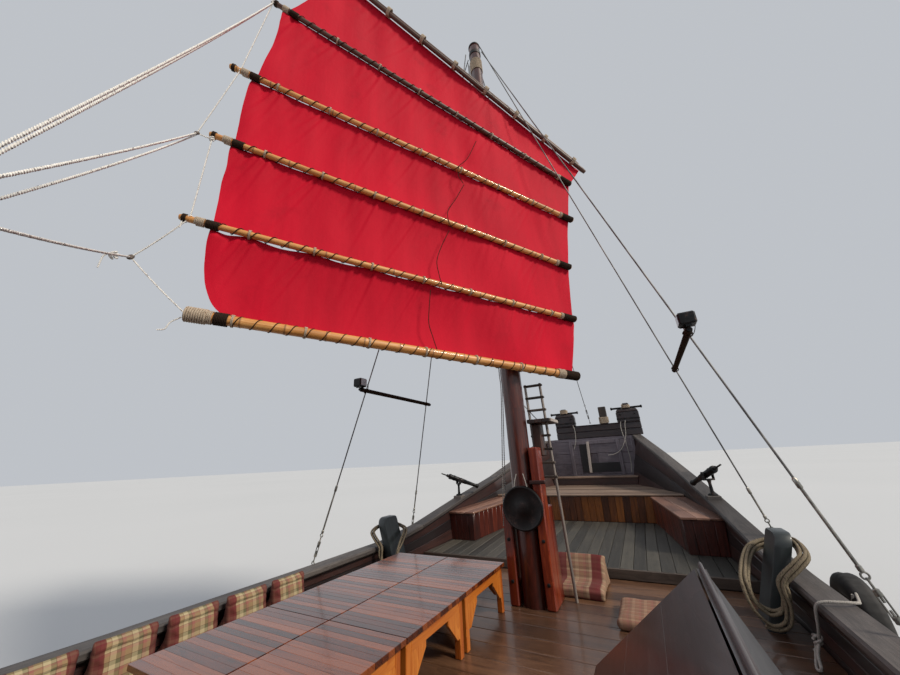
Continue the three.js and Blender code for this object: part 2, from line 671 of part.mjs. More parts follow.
function guns() {
  for (const [side, name, turn] of GUNS) {
    const s = stationAt(GUN_PAD.x);
    const group = new THREE.Group();
    group.position.set(
      GUN_PAD.x, side * (s.railHalf - BULWARK_THICK / 2), s.railZ + RAIL_THICK + GUN_PAD.above);
    group.rotation.z = THREE.MathUtils.degToRad(turn);
    junk.add(group);
    const { ear } = GUN;
    const reach = GUN.radius + 12;
    const yoke = join(
      bar([0, 0, GAP], [0, 0, GUN.post - 70], 20, 12),
      bar([0, 0, GAP], [0, 0, 20], 55, 12),
      box(-25, 25, -reach - ear, reach + ear, GUN.post - 80, GUN.post - 60),
      box(-25, 25, -reach - ear, -reach, GUN.post - 70, GUN.post + 35),
      box(-25, 25, reach, reach + ear, GUN.post - 70, GUN.post + 35));
    add(`gun_yoke_${name}`, yoke, BLACK_IRON, group);
    const tilt = new THREE.Group();
    tilt.position.z = GUN.post;
    tilt.rotation.y = THREE.MathUtils.degToRad(GUN.tip);
    group.add(tilt);
    const profile = [
      [0, -340], [9, -340], [11, -235], [24, -228], [26, -205], [14, -196], [43, -182],
      [GUN.radius, -160], [GUN.radius, -90], [41, -84], [38, 150], [33, 158], [28, 350],
      [37, 365], [38, 400], [16, 400], [16, 330], [0, 330]];
    const barrel = new THREE.LatheGeometry(
      profile.map(([r, along]) => new THREE.Vector2(r, along)), 14).rotateZ(-Math.PI / 2);
    const trunnion = bar([0, 1 - reach, 0], [0, reach - 1, 0], GUN.trunnion, 10);
    add(`gun_barrel_${name}`, join(barrel, trunnion), BLACK_IRON, tilt);
  }
}

// Rudder, tiller and propeller

const RUDDER = { x: -8560, stock: 75, top: 2330, low: -1150 };

function steering() {
  const { x, stock, top, low } = RUDDER;
  const blade = board([
    [x + 40, low], [x - 900, low], [x - 1000, -500], [x - 820, 700], [x - 300, 900], [x + 40, 900]],
  'y', -35, 70);
  const post = bar([x, 0, low], [x, 0, top], stock, 14);
  add('rudder', join(blade, post), DARK_TIMBER);
  const arm = bar([x + stock - 20, 0, top + 65], [x + 1400, 0, top + 310], 40, 10, 28);
  const cap = bar([x, 0, top + GAP], [x, 0, top + 130], 100, 14);
  add('tiller', join(arm, cap), RED_VARNISH);
}

function propeller() {
  const x = SHAFT.x - 300;
  const parts = [
    bar([x - 70, 0, SHAFT.z], [x + 60, 0, SHAFT.z], 62, 16, 70),
    bar([x + 40, 0, SHAFT.z], [SHAFT.x - 160 - 5, 0, SHAFT.z], 30, 16)];
  for (let k = 0; k < 3; k += 1) {
    const blade = box(-12, 12, -95, 95, 40, 350);
    blade.rotateZ(THREE.MathUtils.degToRad(32));
    blade.rotateX(k * 2 * Math.PI / 3).translate(x, 0, SHAFT.z);
    parts.push(blade);
  }
  add('propeller', join(...parts), BRONZE);
}

// Cushions

const BACKREST = { x0: -1340, width: 380, count: 7, thick: 150, low: 1062, high: 1480 };

// A folding pad that lies on the deck, with a wedge to lean on at its fore end
const WEDGE = {
  y0: -600,
  y1: -40,
  outline: [[2665, 1052], [3280, 1052], [3160, 1360], [3100, 1360], [2960, 1145], [2665, 1145]],
};

function cushions() {
  const { x0, width, count, thick, low, high } = BACKREST;
  const end = x0 + count * width;
  const lean = 60;
  const inner = (x, z) => innerHalf(x, z) - 4;
  const sections = between(x0, end).map((x) => {
    const face = inner(x, low) - thick - lean;
    return [
      [x, face, low], [x, face + lean, high], [x, inner(x, 1330) - 70, high],
      [x, inner(x, 1330) - 70, 1300], [x, inner(x, low), 1300 - 60], [x, inner(x, low), low]];
  });
  add('backrest_port', loft(sections), PLAID);
  add('cushion_deck_1', board(WEDGE.outline, 'y', WEDGE.y0, WEDGE.y1 - WEDGE.y0), PLAID);
  add('cushion_deck_2', box(2120, 2680, -1120, -700, MAIN_DECK_Z + 2, MAIN_DECK_Z + 90), PLAID);
}

// Rope hanks. Each coil is hung over a timber head: at the top it passes behind
// the head, and the rest hangs inside the rail. Columns of the route: x, distance
// from the middle of the boat, height.
const HANK = {
  radius: 42,
  steps: 60,
  route: [
    [2440, 1740, 1125], [2430, 1655, 1215], [2455, 1640, 1345], [2600, 1700, 1450],
    [2790, 1785, 1520], [2882, 1880, 1560], [2890, 2015, 1590], [2800, 2090, 1605],
    [2600, 2082, 1600], [2460, 2050, 1565], [2415, 1975, 1510], [2405, 1875, 1410],
    [2400, 1870, 1270], [2415, 1830, 1160],
  ],
};

function hank(side, name) {
  const points = HANK.route.map(([x, y, z]) => new THREE.Vector3(x, side * y, z));
  const route = new THREE.CatmullRomCurve3(points, true, 'catmullrom', 0.5);
  add(name, facingOut(new THREE.TubeGeometry(route, HANK.steps, HANK.radius, 10, true)), ROPE);
}

// The tyre outboard
const FENDER = { x: 2640, y: -2300, z: 1180, radius: 190, tube: 75 };

function fender() {
  const { x, y, z, radius, tube } = FENDER;
  const ring = new THREE.TorusGeometry(radius, tube, 10, 24).rotateX(Math.PI / 2);
  add('fender', ring.translate(x, y, z), RUBBER);
}

hull();
add('bulwark_port', bulwarkPort, DARK_TIMBER);
add('bulwark_starboard', bulwarkStarboard, DARK_TIMBER);
rail(PORT, 'rail_port');
rail(STARBOARD, 'rail_starboard');
decks();
bowBoards();
sternBoards();
masts();
tabernacle();
gong();
ladder();
stays(PORT, 'stays_port');
stays(STARBOARD, 'stays_starboard');
forestay();
mainSail();
mizzenSail();
house();
bench(PORT, 'bench_port');
bench(STARBOARD, 'bench_starboard');
tables();
hatch();
guns();
steering();
propeller();
cushions();
hank(STARBOARD, 'rope_hank_starboard');
hank(PORT, 'rope_hank_port');
fender();

export default junk;
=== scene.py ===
# %% [markdown]
# # A two-masted Chinese junk
#
# The imported frame holds every timber, spar and wire of the boat at its real size, in metres, with
# +X to the bow, +Y to port and the waterline at z = 0. This notebook dresses it. Each cell makes
# one piece or one finish and says why it was made that way. First the frame is loaded.

# %% Load the frame
import math

import bpy
import numpy as np
from mathutils import Matrix, Vector


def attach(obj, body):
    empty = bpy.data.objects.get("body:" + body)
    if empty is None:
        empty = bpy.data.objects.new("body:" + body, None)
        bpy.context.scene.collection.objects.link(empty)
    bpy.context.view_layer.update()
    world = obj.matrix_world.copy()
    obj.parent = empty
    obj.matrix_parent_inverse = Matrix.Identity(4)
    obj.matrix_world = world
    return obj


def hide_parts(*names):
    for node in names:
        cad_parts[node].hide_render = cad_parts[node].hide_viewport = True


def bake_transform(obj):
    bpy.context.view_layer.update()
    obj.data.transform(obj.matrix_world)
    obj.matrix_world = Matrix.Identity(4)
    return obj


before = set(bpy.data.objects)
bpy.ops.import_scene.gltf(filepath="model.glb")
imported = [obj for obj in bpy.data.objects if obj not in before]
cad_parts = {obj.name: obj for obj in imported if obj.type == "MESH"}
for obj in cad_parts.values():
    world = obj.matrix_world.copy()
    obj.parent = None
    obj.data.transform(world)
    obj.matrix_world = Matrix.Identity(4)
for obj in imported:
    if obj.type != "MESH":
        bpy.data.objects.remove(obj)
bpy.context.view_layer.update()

HULL = "hull_body"

# %% [markdown]
# ## The camera
#
# The photograph was taken by someone standing on the after deck with a very wide
# lens, looking forward, a little to port and well up at the sail. Yaw, pitch and
# roll turn a camera that looks along +X. A wide lens held close is what makes
# the tables large and the bow small, so its focal length matters as much as its
# place.

# %% Camera
EYE = Vector((-1.3, -1.19, 2.35))
YAW, PITCH, ROLL = (math.radians(a) for a in (27.887, 20.327, 2.863))
LENS_MM, SENSOR_MM = 13.4, 36.0


def photo_camera():
    """A camera at EYE. Its turn is yaw about z, then pitch about y, then roll about the view."""
    data = bpy.data.cameras.new("photo_camera")
    data.lens, data.sensor_width = LENS_MM, SENSOR_MM
    data.clip_start, data.clip_end = 0.05, 2000
    camera = bpy.data.objects.new("photo_camera", data)
    level = Matrix(((0, 0, -1), (-1, 0, 0), (0, 1, 0))).to_4x4()
    turn = Matrix.Rotation(YAW, 4, "Z") @ Matrix.Rotation(-PITCH, 4, "Y")
    camera.matrix_world = Matrix.Translation(EYE) @ turn @ level @ Matrix.Rotation(-ROLL, 4, "Z")
    bpy.context.scene.collection.objects.link(camera)
    bpy.context.scene.camera = camera
    return camera


camera = photo_camera()
print("camera looks along", (camera.matrix_world.to_3x3() @ Vector((0, 0, -1)))[:])

# %% [markdown]
# ## Shapes as arrays
#
# Every new piece is a set of points and faces worked out as whole numpy arrays.
# Beside its place, each point keeps a grain vector: how far along the timber or
# rope it lies, how far across or round, and a number of its own board. The
# finishes read that vector, so the grain of a plank follows the plank wherever
# it points, which object coordinates alone can't do on a curved boat.

# %% Shape, grid and sweep
class Shape:
    """Points, faces with equal numbers of corners in each array, and a grain vector a point."""

    def __init__(self, points, faces, grain=None):
        self.points = np.asarray(points, float).reshape(-1, 3)
        self.faces = [np.asarray(f, int) for f in faces if len(f)]
        given = self.points if grain is None else np.asarray(grain, float).reshape(-1, 3)
        self.grain = given.copy()

    def mapped(self, function):
        """The same faces with every point put through function, an array to an array."""
        return Shape(function(self.points), self.faces, self.grain)


def joined(*shapes):
    """One shape of many: each shape's corner numbers are raised by the points before it."""
    start = np.cumsum([0] + [len(s.points) for s in shapes])
    faces = [f + k for s, k in zip(shapes, start) for f in s.faces]
    return Shape(np.concatenate([s.points for s in shapes]), faces,
                 np.concatenate([s.grain for s in shapes]))


def mirrored(shape):
    """The shape on the other side of the centreline, its faces turned back to face outwards."""
    return Shape(shape.points * (1, -1, 1), [f[:, ::-1] for f in shape.faces], shape.grain)


def grid_faces(rows, columns, wrap=False):
    """The quads of a grid stored row by row. With wrap, the last column meets the first."""
    r = np.arange(rows - 1)[:, None]
    c = np.arange(columns if wrap else columns - 1)[None, :]
    a, b = r * columns + c, r * columns + (c + 1) % columns
    return np.stack([a, b, b + columns, a + columns], -1).reshape(-1, 4)


def tube(points, grain=None):
    """A closed tube from points (ring, place round it, 3): its wall, and a cap at each end."""
    rings, sides = points.shape[:2]
    ring = np.arange(sides)[None]
    return Shape(points, [grid_faces(rings, sides, wrap=True)[:, ::-1], ring,
                          (rings - 1) * sides + ring[:, ::-1]], grain)


def grain_of(along, across, number):
    """A grain vector for each point of a grid, from how far along and across the grid it lies."""
    return np.stack(np.broadcast_arrays(along, across, np.full((1, 1), float(number))), -1)


def flipped(shape):
    """The shape with every face turned over."""
    return Shape(shape.points, [f[:, ::-1] for f in shape.faces], shape.grain)


def volume(shape):
    """The volume a closed shape holds: each triangle's corner product over six, summed."""
    total = 0.0
    for f in shape.faces:
        for k in range(1, f.shape[1] - 1):
            a, b, c = shape.points[f[:, 0]], shape.points[f[:, k]], shape.points[f[:, k + 1]]
            total += (a * np.cross(b, c)).sum() / 6
    return total


def outward(shape):
    """The shape, turned over if it holds a negative volume."""
    return shape if volume(shape) > 0 else flipped(shape)


def add_piece(name, shape, finish, body=HULL, replaces=(), sharp=35):
    """Puts a shape's arrays into a mesh, gives it its finish, the finish's slot and its body, and
    returns the object. Edges that turn by more than sharp degrees stay sharp."""
    mesh = bpy.data.meshes.new(name)
    corners = np.concatenate([f.ravel() for f in shape.faces])
    sizes = np.concatenate([np.full(len(f), f.shape[1]) for f in shape.faces])
    mesh.vertices.add(len(shape.points))
    mesh.vertices.foreach_set("co", shape.points.astype(np.float32).ravel())
    mesh.loops.add(len(corners))
    mesh.loops.foreach_set("vertex_index", corners.astype(np.int32))
    mesh.polygons.add(len(sizes))
    mesh.polygons.foreach_set("loop_start", (np.cumsum(sizes) - sizes).astype(np.int32))
    mesh.polygons.foreach_set("use_smooth", np.ones(len(sizes), bool))
    mesh.update(calc_edges=True)
    mesh.attributes.new("grain", "FLOAT_VECTOR", "POINT")
    mesh.attributes["grain"].data.foreach_set("vector", shape.grain.astype(np.float32).ravel())
    mesh.set_sharp_from_angle(angle=math.radians(sharp))
    mesh.materials.append(finish)
    piece = bpy.data.objects.new(name, mesh)
    bpy.context.scene.collection.objects.link(piece)
    if body:
        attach(piece, body)
    if replaces:
        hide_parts(*replaces)
    print(f"{name}: {len(sizes)} faces")
    return piece


def unit(v):
    return v / np.linalg.norm(v, axis=-1, keepdims=True)


def lengths(path):
    """How far along the path each of its points lies."""
    return np.concatenate([[0], np.cumsum(np.linalg.norm(np.diff(path, axis=0), axis=1))])


def resampled(path, step):
    """Points a step apart along the smooth curve (Catmull-Rom) through the given points."""
    p = np.asarray(path, float)
    p = np.vstack([2 * p[0] - p[1], p, 2 * p[-1] - p[-2]])
    t = np.linspace(0, 1, 25)[:-1, None]
    a, b, c, d = (p[k:len(p) - 3 + k, None, :] for k in range(4))
    fine = 0.5 * (2 * b + (c - a) * t + (2 * a - 5 * b + 4 * c - d) * t ** 2
                  + (3 * b - a - 3 * c + d) * t ** 3)
    fine = np.vstack([fine.reshape(-1, 3), p[-2]])
    along = lengths(fine)
    count = max(2, int(round(along[-1] / step)) + 1)
    at = np.linspace(0, along[-1], count)
    return np.stack([np.interp(at, along, fine[:, k]) for k in range(3)], -1)


def swept(path, section, up=(0, 0, 1), size=1.0, twist=0.0, number=0.0, closed=False):
    """Carries a closed section along a path. Point (i, j) is path[i] plus the section's first
    number times the side vector (direction x up) and its second times the lift (side x
    direction), both times size and turned by twist radians for each metre. Ends are capped."""
    path = np.asarray(path, float)
    ahead = np.roll(path, -1, 0) - np.roll(path, 1, 0) if closed else np.gradient(path, axis=0)
    ahead = unit(ahead)
    side = unit(np.cross(ahead, np.asarray(up, float)))
    lift = np.cross(side, ahead)
    section = np.asarray(section, float)
    along = lengths(path)
    angle = (along * twist)[:, None]
    s0, s1 = section[None, :, 0], section[None, :, 1]
    size = np.broadcast_to(np.asarray(size, float), (len(path),))[:, None]
    a = (s0 * np.cos(angle) - s1 * np.sin(angle)) * size
    b = (s0 * np.sin(angle) + s1 * np.cos(angle)) * size
    points = path[:, None] + a[..., None] * side[:, None] + b[..., None] * lift[:, None]
    n, m = len(path), len(section)
    around = lengths(np.vstack([section, section[:1]]))[:-1]
    grain = grain_of(along[:, None], around[None], number)
    if not closed:
        return tube(points, grain)
    ring = np.arange(m)
    last, after = (n - 1) * m + ring, (ring + 1) % m
    return Shape(points, [grid_faces(n, m, wrap=True)[:, ::-1],
                          np.stack([ring, after, last[after], last], -1)], grain)


def circle(radius, sides):
    """Points on a circle, anticlockwise, as a swept section is given."""
    a = np.arange(sides) * 2 * math.pi / sides
    return radius * np.stack([np.cos(a), np.sin(a)], -1)


def strands(radius, sides=12, count=3, depth=0.13):
    """A rope's section: a circle whose radius dips count times, once between each two strands."""
    a = np.arange(sides) * 2 * math.pi / sides
    r = radius * (1 - depth * (0.5 - 0.5 * np.cos(count * a)))
    return np.stack([r * np.cos(a), r * np.sin(a)], -1)

# %% [markdown]
# Sawn timber is a block with six faces and worn edges. The block's corners may
# lie anywhere, so one template serves for square posts, tapered planks and
# panels: 24 points, three at each corner, each set back from two of the faces.
# A loop over hundreds of bmesh bevels would do the same, only far more slowly.

# %% Blocks
SIGNS = np.array([[x, y, z] for x in (0, 1) for y in (0, 1) for z in (0, 1)])


def block_template():
    """Corner and set-back axis of each of the 24 points, and the 26 faces, turned outwards."""
    corner = np.repeat(SIGNS, 3, axis=0)
    axis = np.tile(np.arange(3), 8)
    place = {(tuple(c), a): k for k, (c, a) in enumerate(zip(corner, axis))}
    one, quads = np.eye(3, dtype=int), []
    for a in range(3):
        b, c = (a + 1) % 3, (a + 2) % 3
        for s in (0, 1):
            ring = [one[a] * s + one[b] * i + one[c] * j
                    for i, j in ((0, 0), (1, 0), (1, 1), (0, 1))]
            quads.append([place[tuple(r), a] for r in ring])
            for t in (0, 1):
                ends = [one[a] * s + one[b] * t + one[c] * e for e in (0, 1)]
                quads.append([place[tuple(ends[0]), a], place[tuple(ends[1]), a],
                              place[tuple(ends[1]), b], place[tuple(ends[0]), b]])
    triangles = [[place[tuple(c), a] for a in range(3)] for c in SIGNS]
    where = corner * 2.0 - 1 - 0.2 * (corner * 2 - 1) * (1 - np.eye(3)[axis])

    def outward(faces):
        f = np.array(faces)
        normal = np.cross(where[f[:, 1]] - where[f[:, 0]], where[f[:, 2]] - where[f[:, 0]])
        wrong = (normal * where[f].mean(1)).sum(-1) < 0
        f[wrong] = f[wrong][:, ::-1]
        return f

    return corner, axis, outward(quads), outward(triangles)


BLOCK_CORNER, BLOCK_AXIS, BLOCK_QUADS, BLOCK_TRIANGLES = block_template()


def blocks(corners, bevel=0.004, along=0, number=None):
    """Blocks from their corners, an array (n, 2, 2, 2, 3) by low or high x, y and z. A point is
    the trilinear mean of its block's corners at parameters that lie a bevel in from each end,
    apart from its own axis. The grain runs along the given axis."""
    c = np.asarray(corners, float).reshape(-1, 2, 2, 2, 3)
    n = len(c)
    middles = [c.mean(tuple(k for k in (1, 2, 3) if k != a + 1)) for a in range(3)]
    size = np.stack([np.linalg.norm(m[:, 1] - m[:, 0], axis=-1) for m in middles], -1)
    inset = np.clip(bevel / np.maximum(size, 1e-6), 0, 0.45)
    t = BLOCK_CORNER + (1 - 2 * BLOCK_CORNER) * inset[:, None] * (1 - np.eye(3)[BLOCK_AXIS])
    x, y, z = (t[..., k, None] for k in range(3))
    lerp = lambda a, b, w: a * (1 - w) + b * w
    near, far = (lerp(lerp(c[:, None, i, 0, 0], c[:, None, i, 0, 1], z),
                      lerp(c[:, None, i, 1, 0], c[:, None, i, 1, 1], z), y) for i in (0, 1))
    points = lerp(near, far, x)
    number = np.arange(n) if number is None else np.broadcast_to(number, (n,))
    local = t * size[:, None]
    a, b = along, (along + 1) % 3
    across = local[..., b] + local[..., (along + 2) % 3]
    grain = np.stack([local[..., a], across, np.broadcast_to(number[:, None], across.shape)], -1)
    start = (np.arange(n) * len(BLOCK_CORNER))[:, None, None]
    faces = [(BLOCK_QUADS + start).reshape(-1, 4), (BLOCK_TRIANGLES + start).reshape(-1, 3)]
    return Shape(points, faces, grain)


def boxes(rows, bevel=0.004, along=0, number=None):
    """Upright blocks, a row each: x0, x1, y0, y1, z0, z1."""
    r = np.asarray(rows, float).reshape(-1, 3, 2)
    corners = r[:, np.arange(3), SIGNS].reshape(-1, 2, 2, 2, 3)
    return blocks(corners, bevel, along, number)


def rope(path, radius, step=None, number=0.0, sides=12, up=(0, 0, 1), lay=3.6):
    """A three-strand rope along a path. Its section turns once in lay diameters."""
    line = resampled(path, step or radius)
    return swept(line, strands(radius, sides), up=up, number=number,
                 twist=math.pi / (lay * radius))


def rod(start, end, radius, sides=16, end_radius=None, number=0.0):
    """A straight round bar, which may taper."""
    start, end = np.asarray(start, float), np.asarray(end, float)
    run = unit(end - start)
    up = (0, 0, 1) if abs(run[2]) < 0.9 else (1, 0, 0)
    size = np.array([1.0, (end_radius or radius) / radius])
    return swept([start, end], circle(radius, sides), up=up, size=size, number=number)


def lathed(profile, start, axis, sides=24, number=0.0):
    """A turned piece: rows of (along, radius) carried round an axis from a start point."""
    start, axis = np.asarray(start, float), unit(np.asarray(axis, float))
    up = np.array((0, 0, 1.0)) if abs(axis[2]) < 0.9 else np.array((1.0, 0, 0))
    side = unit(np.cross(axis, up))
    lift = np.cross(side, axis)
    p = np.asarray(profile, float)
    ring = circle(1, sides)
    around = ring[:, :1] * side + ring[:, 1:] * lift
    points = start + p[:, None, :1] * axis + p[:, None, 1:] * around[None]
    angle = np.arange(sides) * 2 * math.pi / sides
    return tube(points, grain_of(p[:, None, 0], angle[None] * p[:, None, 1], number))


sample = boxes([[0, 1, 0, 1, 0, 1]])
print("a block has", len(sample.points), "points and", sum(map(len, sample.faces)), "faces")

# %% [markdown]
# ## Shader maths as plain expressions
#
# A finish is a small programme of nodes. Wiring each Math node by hand hides the
# sum it does, so a number socket is wrapped in a class whose operators add the
# nodes: `1 - mask * 0.5` reads as it works. Colours go through Mix nodes,
# because a Math node would turn them grey.

# %% Value and Finish
class Value:
    """A socket of a finish's tree. An operator between it and a number adds a Math node."""

    def __init__(self, finish, socket):
        self.finish, self.socket = finish, socket

    def maths(self, operation, *others):
        return self.finish.node("ShaderNodeMath", {"operation": operation},
                                dict(enumerate((self, *others))))

    def __add__(self, other):
        return self.maths("ADD", other)

    def __sub__(self, other):
        return self.maths("SUBTRACT", other)

    def __rsub__(self, other):
        return self * -1 + other

    def __mul__(self, other):
        return self.maths("MULTIPLY", other)

    def __truediv__(self, other):
        return self.maths("DIVIDE", other)

    __radd__, __rmul__ = __add__, __mul__

    def step(self, low, high):
        """0 below low, 1 above high and a smooth S between them."""
        return self.finish.node("ShaderNodeMapRange", {"interpolation_type": "SMOOTHSTEP"},
                                {"Value": self, "From Min": low, "From Max": high})

    def wave(self, per_unit):
        """A sine from 0 to 1 with the given number of waves for each unit of the value."""
        return (self * (2 * math.pi * per_unit)).maths("SINE") * 0.5 + 0.5

    def fract(self):
        """The part after the point, which runs from 0 to 1 again and again."""
        return self.maths("FRACT")


def tint(red, green, blue):
    """A colour named by its screen values, 0 to 255, as the linear values that shaders use."""
    return tuple((c / 255 / 12.92) if c <= 10 else ((c / 255 + 0.055) / 1.055) ** 2.4
                 for c in (red, green, blue))


class Finish:
    """A procedural material: its node tree, and one method that adds any node to it."""

    def __init__(self, name):
        self.material = bpy.data.materials.new(name)
        self.material.use_nodes = True
        self.tree = self.material.node_tree
        self.shader = self.tree.nodes["Principled BSDF"]

    def node(self, kind, settings, inputs, out=0):
        """Adds a node. Settings, such as a ramp's stops, come first, and then each input by its
        name or number, as a value or a link. Returns one output."""
        node = self.tree.nodes.new(kind)
        for key, value in settings.items():
            if key == "stops":
                first, *middle, last = value
                ends = node.color_ramp.elements
                ends[0].position, ends[0].color = first[0], (*first[1], 1)
                ends[-1].position, ends[-1].color = last[0], (*last[1], 1)
                for place, colour in middle:
                    ends.new(place).color = (*colour, 1)
            else:
                setattr(node, key, value)
        for key, value in inputs.items():
            self.plug(node.inputs[key], value)
        return Value(self, node.outputs[out])

    def plug(self, socket, value):
        if isinstance(value, Value):
            self.tree.links.new(value.socket, socket)
        elif socket.type == "RGBA":
            socket.default_value = (*value[:3], 1)
        else:
            socket.default_value = value

    def place(self, scale=(1, 1, 1), turn=(0, 0, 0)):
        """Where a point is on the boat, turned and stretched for a pattern that runs one way."""
        where = self.node("ShaderNodeTexCoord", {}, {}, 3)
        return self.node("ShaderNodeMapping", {}, {"Vector": where, "Rotation": turn,
                                                   "Scale": scale})

    def grain(self, scale=(1, 1, 1)):
        """The grain vector that each point of a new piece keeps, stretched."""
        where = self.node("ShaderNodeAttribute", {"attribute_name": "grain"}, {}, 1)
        return self.node("ShaderNodeMapping", {}, {"Vector": where, "Scale": scale})

    def parts(self, vector):
        """The three numbers of a vector."""
        first = self.node("ShaderNodeSeparateXYZ", {}, {0: vector}, 0)
        return first, *(Value(self, first.socket.node.outputs[k]) for k in (1, 2))

    def vector(self, x, y, z):
        return self.node("ShaderNodeCombineXYZ", {}, {0: x, 1: y, 2: z})

    def noise(self, where, scale, detail=3.0, rough=0.55, bend=0.0):
        return self.node("ShaderNodeTexNoise", {}, {"Vector": where, "Scale": scale,
                         "Detail": detail, "Roughness": rough, "Distortion": bend})

    def lottery(self, number):
        """A random value from 0 to 1 that is the same wherever the number is the same."""
        return self.node("ShaderNodeTexWhiteNoise", {"noise_dimensions": "1D"}, {"W": number})

    def mix(self, mask, a, b, how="MIX"):
        """Colour a where the mask is 0 and colour b where it is 1."""
        return self.node("ShaderNodeMix", {"data_type": "RGBA", "blend_type": how,
                                           "clamp_factor": True}, {0: mask, 6: a, 7: b}, 2)

    def ramp(self, value, *stops):
        return self.node("ShaderNodeValToRGB", {"stops": stops}, {0: value})

    def bump(self, height, strength, distance, under=None):
        inputs = {"Height": height, "Strength": strength, "Distance": distance}
        if under:
            inputs["Normal"] = under
        return self.node("ShaderNodeBump", {}, inputs)

    def done(self, **sockets):
        """Feeds the shader's sockets by name, spaces written as underscores."""
        for key, value in sockets.items():
            self.plug(self.shader.inputs[key.replace("_", " ")], value)
        return self.material

# %% [markdown]
# ## Wood, worked by one formula
#
# Nearly everything aboard is wood, and it differs in colour, polish and age, not
# in kind. So one function makes every timber: a noise stretched along the grain
# gives the fibres, a second one, stretched less, gives the broad figure, and a
# lottery by board number makes neighbours differ. New pieces read their grain
# vector, and pieces of the frame read their place on the boat.

# %% Wood
def wood(name, tones, along=None, polish=0.45, coat=0.0, depth=0.0010, boards=0.5, dirt_and_sheen=None,
         dirt_and_sheen_amount=0.5, fibres=60.0, figure=1.0, low=None):
    """Timber of two or three tones, dark to light. Height is fibre noise plus broad figure. Along
    names the boat's axis for a frame piece; without it the grain vector is read. Low names two
    heights, and then the dirt colour becomes a painted sheen that grows from the upper one down to
    the lower."""
    f = Finish(name)
    if along is None:
        run, across, number = f.parts(f.grain())
        chance = f.lottery(number * 3.7 + 0.5)
        fine = f.vector(run * 2.2, across * fibres, number * 5.3)
        broad = f.vector(run * 0.9, across * fibres * 0.16, number * 9.1)
    else:
        scale = [fibres] * 3
        scale["xyz".index(along)] = 2.2
        fine = f.place(tuple(scale))
        broad = f.place(tuple(s * 0.16 if s > 3 else 0.9 for s in scale))
        chance = f.noise(f.place(), 0.35, 0)
    fibre = f.noise(fine, 1.0, 5.0, 0.65)
    rings = f.noise(broad, 1.0, 3.0, 0.5, 0.8)
    lines = (rings * 9.0).fract()
    tone = fibre * 0.45 + rings * 0.35 * figure + lines * 0.12 * figure + (chance - 0.5) * boards
    stops = [(0.18 + 0.55 * k / (len(tones) - 1), tint(*t)) for k, t in enumerate(tones)]
    colour = f.ramp(tone, *stops)
    patch = f.noise(f.place(), 1.7, 4.0, 0.62)
    if dirt_and_sheen:
        where = patch.step(0.48, 0.72)
        # With low, this colour is a painted sheen, as of old varnish, growing towards the foot.
        if low:
            where = (1 - f.parts(f.place())[2].step(*low)) * (patch * 0.9 + 0.4)
        colour = f.mix(where * dirt_and_sheen_amount, colour, tint(*dirt_and_sheen))
    rough = fibre * 0.16 + patch * 0.22 + (polish - 0.17)
    normal = f.bump(fibre + lines * 0.25, 0.55, depth)
    f.done(Base_Color=colour, Roughness=rough, Normal=normal, Coat_Weight=coat,
           Coat_Roughness=0.12)
    return f.material


deck_wet = wood("deck_teak_wet", [(40, 26, 19), (84, 58, 42), (124, 90, 65)], polish=0.34,
                coat=0.3, dirt_and_sheen=(58, 44, 38), fibres=55)
deck_dry = wood("deck_teak_grey", [(28, 26, 23), (50, 47, 42), (75, 71, 63)], polish=0.58,
                dirt_and_sheen=(50, 50, 50), fibres=60)
varnish_red = wood("varnish_red", [(28, 10, 8), (66, 22, 14), (108, 44, 25)], polish=0.38,
                   coat=0.2, boards=0.35, fibres=40)
varnish_orange = wood("varnish_orange", [(92, 36, 10), (168, 86, 26), (206, 128, 52)],
                      polish=0.28, coat=0.7, boards=0.3, fibres=40)
strip_light = wood("table_strip", [(36, 13, 6), (86, 36, 14), (130, 66, 28)], polish=0.24,
                   coat=0.7, boards=0.6, fibres=46)
timber_dark = wood("timber_dark", [(28, 24, 22), (58, 48, 42), (84, 72, 64)], polish=0.6,
                   dirt_and_sheen=(44, 40, 38), fibres=44)
rail_worn = wood("rail_worn", [(29, 26, 26), (62, 57, 56), (98, 92, 88)], polish=0.6,
                 dirt_and_sheen=(42, 37, 36), fibres=50)
spar_dark = wood("spar_dark_wood", [(26, 14, 10), (58, 34, 24), (88, 56, 40)], polish=0.45,
                 fibres=70)
mast_varnish = wood("mast_varnish", [(28, 9, 6), (68, 22, 13), (118, 50, 24)], polish=0.34,
                    coat=0.3, fibres=55)
print(len(bpy.data.materials), "timbers mixed")

# %% [markdown]
# ## Canvas, rope, iron and bronze
#
# The sail is tightly woven cloth dyed crimson. Its shade changes slowly across
# each panel, with a few stains, and its weave shows only from a step away. Rope
# gets its twist from its shape, so the finish only adds the yarn and the grey of
# use. Iron is nearly black with rust in the hollows.

# %% Cloth, rope and metal
def canvas(name, deep, bright, weave=900.0):
    """Dyed sailcloth. The grain vector holds metres across and up, so the weave is two sines."""
    f = Finish(name)
    across, up, number = f.parts(f.grain())
    weave_height = across.wave(weave / 3) * up.wave(weave / 3)
    slow = f.noise(f.vector(across * 0.7, up * 0.5, number), 1.0, 3.0, 0.6)
    streak = f.noise(f.vector(across * 6.0, up * 0.45, number * 3.1), 1.0, 3.0, 0.6)
    stain = f.noise(f.vector(across, up, number * 1.7), 2.4, 4.0, 0.6).step(0.56, 0.8)
    colour = f.mix(slow * 0.6 + streak * 0.4, tint(*deep), tint(*bright))
    colour = f.mix(stain * 0.22, colour, tint(*[int(c * 0.62) for c in deep]))
    crease = f.noise(f.vector(across * 2.0, up * 1.2, number), 2.0, 5.0, 0.6)
    normal = f.bump(weave_height, 0.12, 0.0006, f.bump(crease + streak * 0.5, 0.42, 0.02))
    return f.done(Base_Color=colour, Roughness=0.66 + slow * 0.12, Normal=normal,
                  Specular_IOR_Level=0.12)


